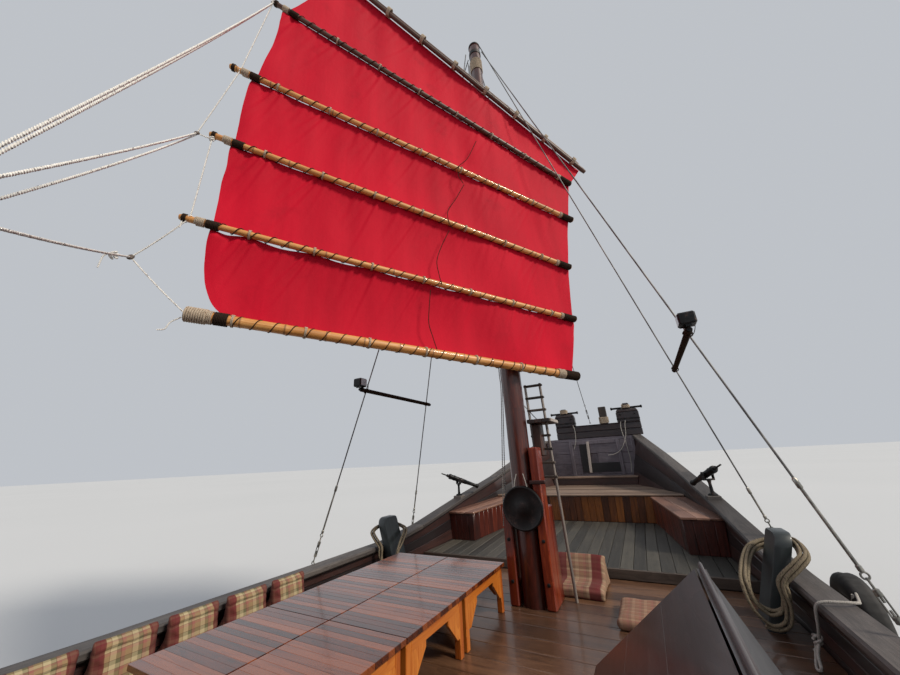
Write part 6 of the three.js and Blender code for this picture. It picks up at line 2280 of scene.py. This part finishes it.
SIDE_ENDS = (HOUSE_X0 + WALL + 0.0003, HOUSE_X1 - WALL - 0.0003)
SIDE_WINDOWS = [(x - 0.05, x + 0.60, SILL, HEAD_Z) for x in (-4.05, -3.20, -2.35)]
WALLS = {  # name: axis, near, far, ends, openings as low and high across and up
    "front": ("x", HOUSE_X1 - WALL, HOUSE_X1, (-HOUSE_HALF, HOUSE_HALF),
              [(-1.18, -0.56, SILL, HEAD_Z), (0.56, 1.18, SILL, HEAD_Z),
               (-0.356, 0.356, 1.11, 2.766)]),
    "back": ("x", HOUSE_X0, HOUSE_X0 + WALL, (-HOUSE_HALF, HOUSE_HALF),
             [(-0.70, 0.70, 2.10, HEAD_Z)]),
    "port": ("y", HOUSE_HALF - WALL, HOUSE_HALF, SIDE_ENDS, SIDE_WINDOWS),
    "starboard": ("y", -HOUSE_HALF, WALL - HOUSE_HALF, SIDE_ENDS, SIDE_WINDOWS)}


def glass_finish():
    """Dark window glass, a little wavy and dusty at the edges of a slow noise."""
    f = Finish("window_glass")
    slow = f.noise(f.place(), 4.0, 3.0)
    return f.done(Base_Color=f.mix(slow.step(0.4, 0.8), tint(28, 36, 42), tint(52, 62, 68)),
                  Roughness=0.06 + slow * 0.12, Normal=f.bump(slow, 0.1, 0.002), Coat_Weight=0.5)


glass = glass_finish()
house_red = wood("house_varnish", [(52, 16, 11), (108, 38, 22), (150, 66, 36)], polish=0.34,
                 coat=0.4, dirt_and_sheen=(70, 34, 24), fibres=40, boards=0.4)
frames, panes = [], []
for name, (axis, near, far, ends, openings) in WALLS.items():
    add_piece(f"house_boards_{name}", planked_wall(axis, near, far, ends, openings, 700),
              house_red, replaces=[f"house_{name}"])
    for a, b, low, high in openings:
        if low > 1.5:
            wood_bars, pane = window(axis, near, far, a, b, low, high, 3 if b - a > 1 else 2)
            frames.append(wood_bars)
            panes.append(pane)
add_piece("house_window_frames", joined(*frames), varnish_orange)
add_piece("house_panes", joined(*panes), glass)

# %% Roof and door
def roof_boards(count=24):
    """Boards along the roof. Each follows the camber, and rests on a core that shows beneath."""
    y = np.linspace(-ROOF_HALF, ROOF_HALF, count + 1)
    corners = np.zeros((count, 2, 2, 2, 3))
    for i, x in enumerate((ROOF_X0, ROOF_X1 - 0.03)):
        for j, side in enumerate((y[:-1] + 0.0015, y[1:] - 0.0015)):
            for k, drop in enumerate((0.030, 0.0)):
                corners[:, i, j, k] = np.stack([np.full(count, x), side, roof_z(side) - drop], -1)
    return blocks(corners, 0.004, along=0, number=740 + np.arange(count))


across_roof = np.linspace(ROOF_HALF, -ROOF_HALF, 17)
core_outline = [(-ROOF_HALF + 0.01, 2.9303), (ROOF_HALF - 0.01, 2.9303),
                *zip(across_roof * 0.993, roof_z(across_roof) - 0.0315)]
roof_core = plate(core_outline, "x", ROOF_X0 + 0.01, ROOF_X1 - 0.031, 0.004, 765)
nosing_outline = [(-ROOF_HALF, 2.9303), (ROOF_HALF, 2.9303), *zip(across_roof, roof_z(across_roof))]
roof_nosing = plate(nosing_outline, "x", ROOF_X1 - 0.0295, ROOF_X1, 0.010, 770)
roof_worn = wood("roof_worn", [(58, 50, 46), (96, 84, 76), (130, 116, 106)], polish=0.62,
                 dirt_and_sheen=(52, 46, 44), fibres=44)
add_piece("house_roof_boards", roof_boards(), roof_worn, replaces=["house_roof"])
add_piece("house_roof_core", joined(roof_core, roof_nosing), house_red)


def hand_rails():
    """Two rails along the roof on short feet."""
    rows, feet = [], []
    for y in (-1.05, 1.05):
        z = float(roof_z(y))
        rows.append([ROOF_X0 + 0.25, ROOF_X1 - 0.35, y - 0.018, y + 0.018, z + 0.035, z + 0.065])
        feet += [[x - 0.03, x + 0.03, y - 0.016, y + 0.016, z - 0.008, z + 0.0352]
                 for x in np.linspace(ROOF_X0 + 0.35, ROOF_X1 - 0.45, 6)]
    return boxes(rows + feet, 0.008, along=0, number=775)


add_piece("house_hand_rails", hand_rails(), varnish_orange)


def door_leaf():
    """Five boards, three rails on the fore face, and a pull."""
    x0, x1, low, high = -1.803, -1.758, 1.1165, 2.76
    edges = np.linspace(-0.35, 0.35, 6)
    boards = boxes([[x0, x1, a + 0.0008, b - 0.0008, low, high]
                    for a, b in zip(edges[:-1], edges[1:])], 0.004, along=2,
                   number=780 + np.arange(5))
    rails = boxes([[x1 - 0.001, x1 + 0.007, -0.33, 0.33, z, z + 0.11] for z in (1.20, 1.86, 2.58)],
                  0.003, along=1, number=790)
    pull = joined(rod((x1 + 0.004, -0.28, 1.96), (x1 + 0.004, -0.28, 2.12), 0.006, 10),
                  lathed([(0, 0.016), (0.006, 0.016), (0.008, 0.010)], (x1 - 0.001, -0.28, 2.15),
                         (1, 0, 0), 14))
    return joined(boards, rails), pull


door_wood, door_pull = door_leaf()
add_piece("house_door_leaf", door_wood, varnish_orange, "door", replaces=["house_door"])
add_piece("house_door_pull", door_pull, iron, "door")

# %% [markdown]
# ## Mizzen
#
# The small after sail is built like the large one, from the same functions with
# its own table: three panels of cloth, a boom, two battens and a yard of two
# poles. Its mast stands on the after deck.

# %% Mizzen mast
MIZZEN_X, MIZZEN_FOOT = -6.90, 1.7503


def mizzen_radius(z):
    """A straight taper from the after deck to the mizzen's head."""
    return 0.095 - 0.035 * (z - 1.75) / 5.55


def mizzen_turned(rows, number):
    """Rows of height over the foot and radius, turned about the mizzen's axis."""
    return lathed(rows, (MIZZEN_X, 0, MIZZEN_FOOT), (0, 0, 1), 32, number)


high = np.linspace(MIZZEN_FOOT, 7.34, 48)
wavy = mizzen_radius(high) + 0.0008 * ripple(high * 3, high * 0, 4)
add_piece("mizzen_pole", mizzen_turned(np.stack([high - MIZZEN_FOOT, wavy], -1), 800),
          mast_varnish, replaces=["mast_mizzen"])
add_piece("mizzen_bands", joined(*[band(MIZZEN_X, z, t, mizzen_radius(z), 0.006) for z, t in
                                   ((3.60, 0.03), (7.05, 0.05), (7.29, 0.03))]), iron)
add_piece("mizzen_chocks", mizzen_turned([(0, 0.20), (0.03, 0.20), (0.05, 0.185), (0.06, 0.15),
                                          (0.09, 0.11), (0.10, 0.097)], 801), timber_dark)

# %% Mizzen sail
mizzen_at = sail_frame(MIZZEN_X, 172)
MIZZEN_W = 0.108
MIZZEN_SPARS = {"boom": (-0.430, 3.900, 1.900, 4.060, 0.030),
                "batten_1": (-0.510, 4.520, 1.960, 4.780, 0.022),
                "batten_2": (-0.620, 5.110, 1.900, 5.560, 0.022),
                "yard": (-0.820, 5.600, 1.700, 7.150, 0.036)}
Z = MIZZEN_SPARS
shared = dict(cloth_w=MIZZEN_W, belly=0.035, mast_half=0.11, columns=150, rows=34, tie_pitch=0.42,
              scallop=0.008)
mizzen_panels = [
    cloth_panel(Z["boom"], Z["batten_1"], (-0.400, 1.780), (-0.500, 1.850),
                leech=[(1.845, 4.42)], number=11, **shared),
    cloth_panel(Z["batten_1"], Z["batten_2"], (-0.500, 1.850), (-0.610, 1.790),
                leech=[(1.845, 5.15)], number=12, **shared),
    cloth_panel(Z["batten_2"], Z["yard"], (-0.610, 1.790), (-0.780, 1.600), number=13, **shared)]
add_panels([f"mizzen_panel_{k}" for k in (1, 2, 3)], mizzen_at, mizzen_panels, "mizzen_sail",
           "mizzen_cloth")
for number, name in enumerate(("boom", "batten_1", "batten_2")):
    dress_spar(f"mizzen_cane_{name}", mizzen_at, Z[name], "mizzen_sail", f"mizzen_{name}",
               MIZZEN_W, number=10 + number, pitch=0.11, end=0.24)
yard_of_two("mizzen_yard_poles", mizzen_at, Z["yard"], "mizzen_sail", "mizzen_yard", MIZZEN_W, 27)
mizzen_sheets = [line(mizzen_at(u, 0.14, z), (-8.357, y, 2.725), 0.006)
                 for u, z, y in ((1.90, 4.06, -0.30), (1.96, 4.78, -0.42), (1.90, 5.56, -0.54))]
mizzen_sheet_piece = add_piece("mizzen_sheets", cordage(mizzen_sheets, 0.007, 0.018), rope_white,
                               body=None, sharp=60)
tuple(mizzen_at(1.93, 0.14, 4.8))
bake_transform(mizzen_sheet_piece)

# %% [markdown]
# ## Stern, rudder and screw
#
# A plank wall closes the after deck, notched over the tiller. The rudder hangs
# outside it on a round stock, with iron straps round its boards, and the tiller
# comes inboard over the notch. The screw has three twisted blades: each is a
# thin lens whose angle eases with radius, as a blade of even pitch does.

# %% Stern wall
def stern_planks():
    """Planks across the stern in six rows, cut by the notch."""
    edges = np.linspace(1.7003, 2.700, 7)
    rows, numbers = [], []

    def side(v):
        """The stern's edge where v is 1 or -1, and else the distance v itself."""
        return lambda x, z: v * (inner_half(x, z) - 0.003) if abs(v) == 1 else v + 0 * z

    for k, (z0, z1) in enumerate(zip(edges[:-1], edges[1:])):
        spans = [(-1, -0.27), (0.27, 1)] if z0 > 2.0 else [(-1, 1)]
        for a, b in spans:
            rows.append(fitted(-8.395, -8.320, fixed(z0 + 0.0008), fixed(z1 - 0.0008),
                               side(a), side(b)))
            numbers.append(810 + k)
    return blocks(np.concatenate(rows), 0.005, along=1, number=np.array(numbers, float))


add_piece("stern_planks", stern_planks(), bulwark_wood, replaces=["stern_board"])

# %% Rudder and tiller
RUDDER_X = -8.56


def rudder_blade():
    """Four upright boards on a shared outline, the stock, and straps round both."""
    outline = [(RUDDER_X + 0.04, -1.15), (RUDDER_X - 0.90, -1.15), (RUDDER_X - 1.00, -0.50),
               (RUDDER_X - 0.82, 0.70), (RUDDER_X - 0.30, 0.90), (RUDDER_X + 0.04, 0.90)]
    flipped = [(z, x) for x, z in outline]
    core = plate(flipped, "y", -0.028, 0.028, 0.006, 820)
    edges = np.linspace(RUDDER_X - 0.97, RUDDER_X - 0.08, 6)
    low_at = lambda x: -1.135 + 0 * x
    high_at = lambda x: np.interp(x, [RUDDER_X - 1.0, RUDDER_X - 0.82, RUDDER_X - 0.30, RUDDER_X],
                                  [-0.50, 0.70, 0.90, 0.90]) - 0.012
    left_at = lambda z: np.interp(z, [-1.15, -0.50, 0.70], [-0.90, -1.00, -0.82]) + RUDDER_X + 0.012
    boards = []
    for k, (a, b) in enumerate(zip(edges[:-1], edges[1:])):
        c = np.zeros((2, 2, 2, 3))
        for i, x in enumerate((a + 0.003, b - 0.003)):
            for j, y in enumerate((-0.035, 0.035)):
                for m, z in enumerate((float(low_at(x)), float(high_at(x)))):
                    c[i, j, m] = (max(x, float(left_at(z))), y, z)
        boards.append(blocks(c, 0.005, along=2, number=821 + k))
    stock = lathed([(0, 0.060), (0.03, 0.075), (3.45, 0.075), (3.478, 0.070)],
                   (RUDDER_X, 0, -1.149), (0, 0, 1), 28, 830)
    straps = boxes([[RUDDER_X - 0.72, RUDDER_X + 0.02, -0.041, 0.041, z, z + 0.05]
                    for z in (-0.85, -0.20, 0.45)], 0.004)
    hoops = joined(*[band(RUDDER_X, z, 0.06, 0.075, 0.006) for z in (0.95, 1.45, 1.95)])
    return joined(core, *boards, stock), joined(straps, hoops)


def tiller_arm():
    """A tapering arm from the head of the stock, its grip wound with cord, and a turned cap."""
    a, b = np.array([RUDDER_X + 0.055, 0, 2.395]), np.array([RUDDER_X + 1.40, 0, 2.64])
    t = np.linspace(0, 1, 40)[:, None]
    size = 1 - 0.30 * t[:, 0] + 0.10 * np.exp(-((t[:, 0] - 0.98) / 0.03) ** 2)
    size[[0, -1]] *= 0.86
    arm = swept(a * (1 - t) + b * t, circle(0.040, 20), size=size, number=840)
    cap = lathed([(0.0003, 0.092), (0.010, 0.100), (0.110, 0.100), (0.124, 0.090), (0.130, 0.060)],
                 (RUDDER_X, 0, 2.33), (0, 0, 1), 32, 841)
    grip = spiral(a + (b - a) * 0.80, a + (b - a) * 0.95, 0.0300, 0.0030, 0.0064, steps=12)
    return joined(arm, cap), grip


blade, rudder_iron = rudder_blade()
arm, grip = tiller_arm()
rudder_wood = wood("rudder_wood", [(34, 24, 20), (66, 44, 34), (98, 70, 54)], polish=0.55,
                   dirt_and_sheen=(40, 44, 36), fibres=40)
add_piece("rudder_boards", blade, rudder_wood, "rudder_body", replaces=["rudder"])
add_piece("rudder_straps", rudder_iron, iron, "rudder_body")
add_piece("tiller_arm", arm, varnish_red, "rudder_body", replaces=["tiller"])
add_piece("tiller_grip", grip, rope_cream, "rudder_body")

# %% Screw
SCREW_X, SCREW_Z = -7.30, -0.76


def blade_shape(turn):
    """One blade: lens sections along its radius, each set at the angle of an even pitch."""
    r = np.linspace(0.045, 0.345, 16)
    share = (r - r[0]) / (r[-1] - r[0])
    chord = 0.10 + 0.10 * np.sin(math.pi * np.clip(share * 0.85 + 0.1, 0, 1)) ** 1.2
    chord = chord * np.sqrt(np.clip(1 - (share * 0.985) ** 6, 0.02, 1))
    thick = 0.016 * (1 - share) + 0.006
    angle = np.arctan2(0.36, 2 * math.pi * r)
    a = np.linspace(0, 2 * math.pi, 17)[:-1]
    u, v = np.cos(a)[None] * chord[:, None] / 2, np.sin(a)[None] * thick[:, None] / 2
    along = u * np.sin(angle)[:, None] + v * np.cos(angle)[:, None]
    round_ = u * np.cos(angle)[:, None] - v * np.sin(angle)[:, None]
    p = np.stack([along, round_, np.broadcast_to(r[:, None], u.shape)], -1)
    spun = np.array(Matrix.Rotation(turn, 3, "X"))
    return outward(tube(p).mapped(lambda q: q @ spun.T + (SCREW_X, 0, SCREW_Z)))


hub = lathed([(0, 0.030), (0.010, 0.050), (0.030, 0.062), (0.110, 0.066), (0.128, 0.060),
              (0.130, 0.032), (0.195, 0.030)], (SCREW_X - 0.072, 0, SCREW_Z), (1, 0, 0), 32)
shaft = rod((SCREW_X + 0.12, 0, SCREW_Z), (-7.166, 0, SCREW_Z), 0.029, 20)
add_piece("screw_bronze", joined(hub, shaft, *[blade_shape(k * 2 * math.pi / 3) for k in range(3)]),
          bronze, "propeller_body", replaces=["propeller"])

# %% Finish of the frame's own hull
hull_core = wood("hull_core_wood", [(30, 20, 17), (60, 36, 27), (92, 60, 44)], along="x",
                 polish=0.55, fibres=40)
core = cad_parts["hull"]
core.data.materials.clear()
core.data.materials.append(hull_core)
shown = [n for n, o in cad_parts.items() if not o.hide_render]
print("frame nodes still shown:", shown)

# %% [markdown]
# ## Swivel guns and fender
#
# Two small guns stand in yokes on the rail. Each barrel is turned as one piece,
# with reinforcing rings, a flared muzzle and a ball at the breech. The yoke
# turns with its stem and the barrel tips between its ears. A tyre hangs outside
# the starboard rail by a line that comes in over the cap.

# %% Guns
GUN_POST, GUN_RADIUS, GUN_TIP = 0.26, 0.045, 20


def gun_place(side, turn):
    """A function from the gun's own frame to the boat: the yoke is turned, its foot on the pad."""
    _, half, rail, _, _, _ = station(GUN_X)
    a = math.radians(turn)
    foot = np.array([GUN_X, side * (half - BULWARK / 2), rail + RAIL_THICK + GUN_PAD])
    m = np.array([[math.cos(a), math.sin(a), 0], [-math.sin(a), math.cos(a), 0], [0, 0, 1]])
    return lambda p: p @ m + foot


def yoke():
    """Stem, foot plate with four bolts, a cross bar and two ears with bored ends."""
    reach = GUN_RADIUS + 0.012
    parts = [lathed([(0.0003, 0.055), (0.014, 0.055), (0.020, 0.048), (0.028, 0.024), (0.06, 0.020),
                     (0.150, 0.018), (0.176, 0.026), (0.190, 0.026)], (0, 0, 0), (0, 0, 1), 24),
             boxes([[-0.022, 0.022, -reach - 0.014, reach + 0.014, 0.180, 0.200]], 0.004)]
    for s in (-1, 1):
        y0, y1 = sorted((s * reach, s * (reach + 0.014)))
        parts.append(boxes([[-0.022, 0.022, y0, y1, 0.1985, 0.262]], 0.004))
        parts.append(lathed([(0, 0.025), (0.014, 0.025)], (0, y0, 0.260), (0, 1, 0), 18))
    parts += [lathed([(0, 0.008), (0.006, 0.008), (0.009, 0.004)],
                     (0.038 * math.cos(a), 0.038 * math.sin(a), 0.0155), (0, 0, 1), 8)
              for a in np.arange(4) * math.pi / 2 + 0.6]
    return joined(*parts)


def barrel():
    """The gun's own profile, breech ball to muzzle, and its trunnions."""
    r = GUN_RADIUS
    rows = [(-0.340, 0.003), (-0.337, 0.009), (-0.240, 0.011), (-0.231, 0.020), (-0.222, 0.0255),
            (-0.208, 0.0255), (-0.199, 0.020), (-0.194, 0.014), (-0.186, 0.040),
            (-0.180, r - 0.002), (-0.160, r), (-0.150, r), (-0.146, r - 0.004),
            (-0.098, r - 0.004), (-0.092, r), (-0.082, r), (-0.078, 0.041), (0.040, 0.0395),
            (0.046, 0.042), (0.060, 0.042), (0.066, 0.039), (0.150, 0.037), (0.158, 0.033),
            (0.350, 0.028), (0.362, 0.033), (0.372, 0.038), (0.392, 0.038), (0.400, 0.034),
            (0.400, 0.017), (0.330, 0.016), (0.330, 0.001)]
    reach = r + 0.011
    tip = math.radians(GUN_TIP)
    shape = joined(lathed(rows, (0, 0, 0), (1, 0, 0), 32),
                   rod((0, -reach, 0), (0, reach, 0), 0.0135, 16))
    m = np.array([[math.cos(tip), 0, -math.sin(tip)], [0, 1, 0], [math.sin(tip), 0, math.cos(tip)]])
    return shape.mapped(lambda p: p @ m + (0, 0, GUN_POST))


gun_black = metal("gun_black", (15, 16, 18), (34, 35, 37), 0.42, 0.6, (64, 40, 28), 0.0005)
for side, name, turn in ((PORT, "port", -40), (STARBOARD, "starboard", 25)):
    place = gun_place(side, turn)
    add_piece(f"gun_stem_{name}", yoke().mapped(place), iron, f"gun_mount_{name}",
              replaces=[f"gun_yoke_{name}"])
    add_piece(f"gun_tube_{name}", barrel().mapped(place), gun_black, f"gun_{name}",
              replaces=[f"gun_barrel_{name}"])

# %% Fender
FENDER_AT, FENDER_RADIUS, FENDER_TUBE = np.array([2.64, -2.30, 1.18]), 0.19, 0.075


def tyre():
    """A tyre lying in an upright plane: a rounded tread with grooves, two walls and a bead."""
    a = np.arange(96) * 2 * math.pi / 96
    t = np.linspace(0, 2 * math.pi, 29)[:-1]
    out = FENDER_TUBE * np.sign(np.cos(t)) * np.abs(np.cos(t)) ** 0.75
    side = FENDER_TUBE * 0.98 * np.sign(np.sin(t)) * np.abs(np.sin(t)) ** 0.72
    lug = 0.004 * (np.sin(a * 32)[:, None] > 0) * (np.cos(t)[None] > 0.55)
    groove = 0.005 * (np.cos(t)[None] > 0.6) * (np.abs(np.sin(t * 3.0))[None] < 0.35)
    radius = FENDER_RADIUS + out[None] - lug - groove
    points = np.stack([FENDER_AT[0] + radius * np.cos(a)[:, None],
                       FENDER_AT[1] + side[None] + 0 * radius,
                       FENDER_AT[2] + radius * np.sin(a)[:, None]], -1)
    m = len(t)
    faces = grid_faces(97, m, wrap=True) % (96 * m)
    grain = grain_of(a[:, None] * FENDER_RADIUS, (t * FENDER_TUBE)[None], 0)
    return outward(Shape(points, [faces], grain))


def rubber_finish():
    """Black rubber, grey with salt where a slow noise is high."""
    f = Finish("rubber_tyre")
    slow, fine = f.noise(f.place(), 7.0, 4.0), f.noise(f.place(), 80.0, 2.0)
    colour = f.mix(slow.step(0.45, 0.75) * 0.6, tint(20, 20, 21), tint(66, 64, 62))
    return f.done(Base_Color=colour, Roughness=0.62 + slow * 0.25, Normal=f.bump(fine, 0.3, 0.0008))


rubber = rubber_finish()
add_piece("fender_tyre", tyre(), rubber, replaces=["fender"])
rail_y = float(hull_half(2.02, 1.345)) - 0.04
over_rail = [(2.20, -0.14, 1.395), (2.06, -0.09, 1.424), (2.02, 0, 1.430), (2.01, 0.085, 1.424),
             (2.02, 0.122, 1.390), (2.06, 0.135, 1.27), (2.11, 0.14, 1.19)]
loose_end = [(2.11, 0.14, 1.19), (2.06, 0.18, 1.13), (2.00, 0.20, 1.08), (2.05, 0.21, 1.062),
             (2.12, 0.18, 1.10), (2.14, 0.15, 1.17)]
over_rail, loose_end = ([(x, -rail_y + inwards, z) for x, inwards, z in points]
                        for points in (over_rail, loose_end))
fender_line = [[(2.60, -2.30, 1.295), (2.50, -2.27, 1.36), *over_rail],
               [(2.58, -2.30, 1.08), (2.56, -2.232, 1.10), (2.52, -2.228, 1.24),
                (2.46, -2.24, 1.36)], loose_end]
add_piece("fender_lines", cordage(fender_line, 0.009, 0.011), rope_grey, sharp=60)
add_piece("fender_knot", joined(knot((2.115, -rail_y + 0.145, 1.19), 0.022, 0.0085, 3.2),
                                knot((2.17, -rail_y + 0.16, 1.10), 0.013, 0.007, 2.2)),
          rope_grey, sharp=60)

# %% [markdown]
# ## Floor and light
#
# A boat afloat shows only what is above the water, so the plain pale floor lies
# at its waterline. A warm lamp from starboard, some forty degrees up, stands for
# the sun. A faint one from the port quarter and the pale world fill the shadows.

# %% Floor and light
def floor_and_light(size=600.0):
    """A wide floor, a pale world and two lamps."""
    f = Finish("floor_pale")
    patch = f.noise(f.place(), 0.05, 2.0)
    pale = f.done(Base_Color=f.mix(patch, tint(184, 186, 188), tint(192, 193, 195)), Roughness=0.9)
    square = Shape([[-size, -size, 0], [size, -size, 0], [size, size, 0], [-size, size, 0]],
                   [[[0, 1, 2, 3]]])
    floor = add_piece("floor", square, pale, body=None)
    world = bpy.data.worlds.new("studio")
    world.use_nodes = True
    background = world.node_tree.nodes["Background"].inputs
    background["Color"].default_value = (0.86, 0.90, 0.96, 1)
    background["Strength"].default_value = 0.6
    bpy.context.scene.world = world
    for name, energy, spread, direction, colour in (
            ("key", 3.3, 12, (0.10, 0.77, -0.63), (1.0, 0.92, 0.80)),
            ("fill", 0.25, 60, (0.5, -0.7, -0.5), (0.9, 0.95, 1.0))):
        lamp = bpy.data.lights.new(name, "SUN")
        lamp.energy, lamp.angle, lamp.color = energy, math.radians(spread), colour
        sun = bpy.data.objects.new(name, lamp)
        sun.rotation_euler = Vector(direction).to_track_quat("-Z", "Y").to_euler()
        bpy.context.scene.collection.objects.link(sun)
    bpy.context.scene.view_settings.view_transform = "Standard"


floor_and_light()
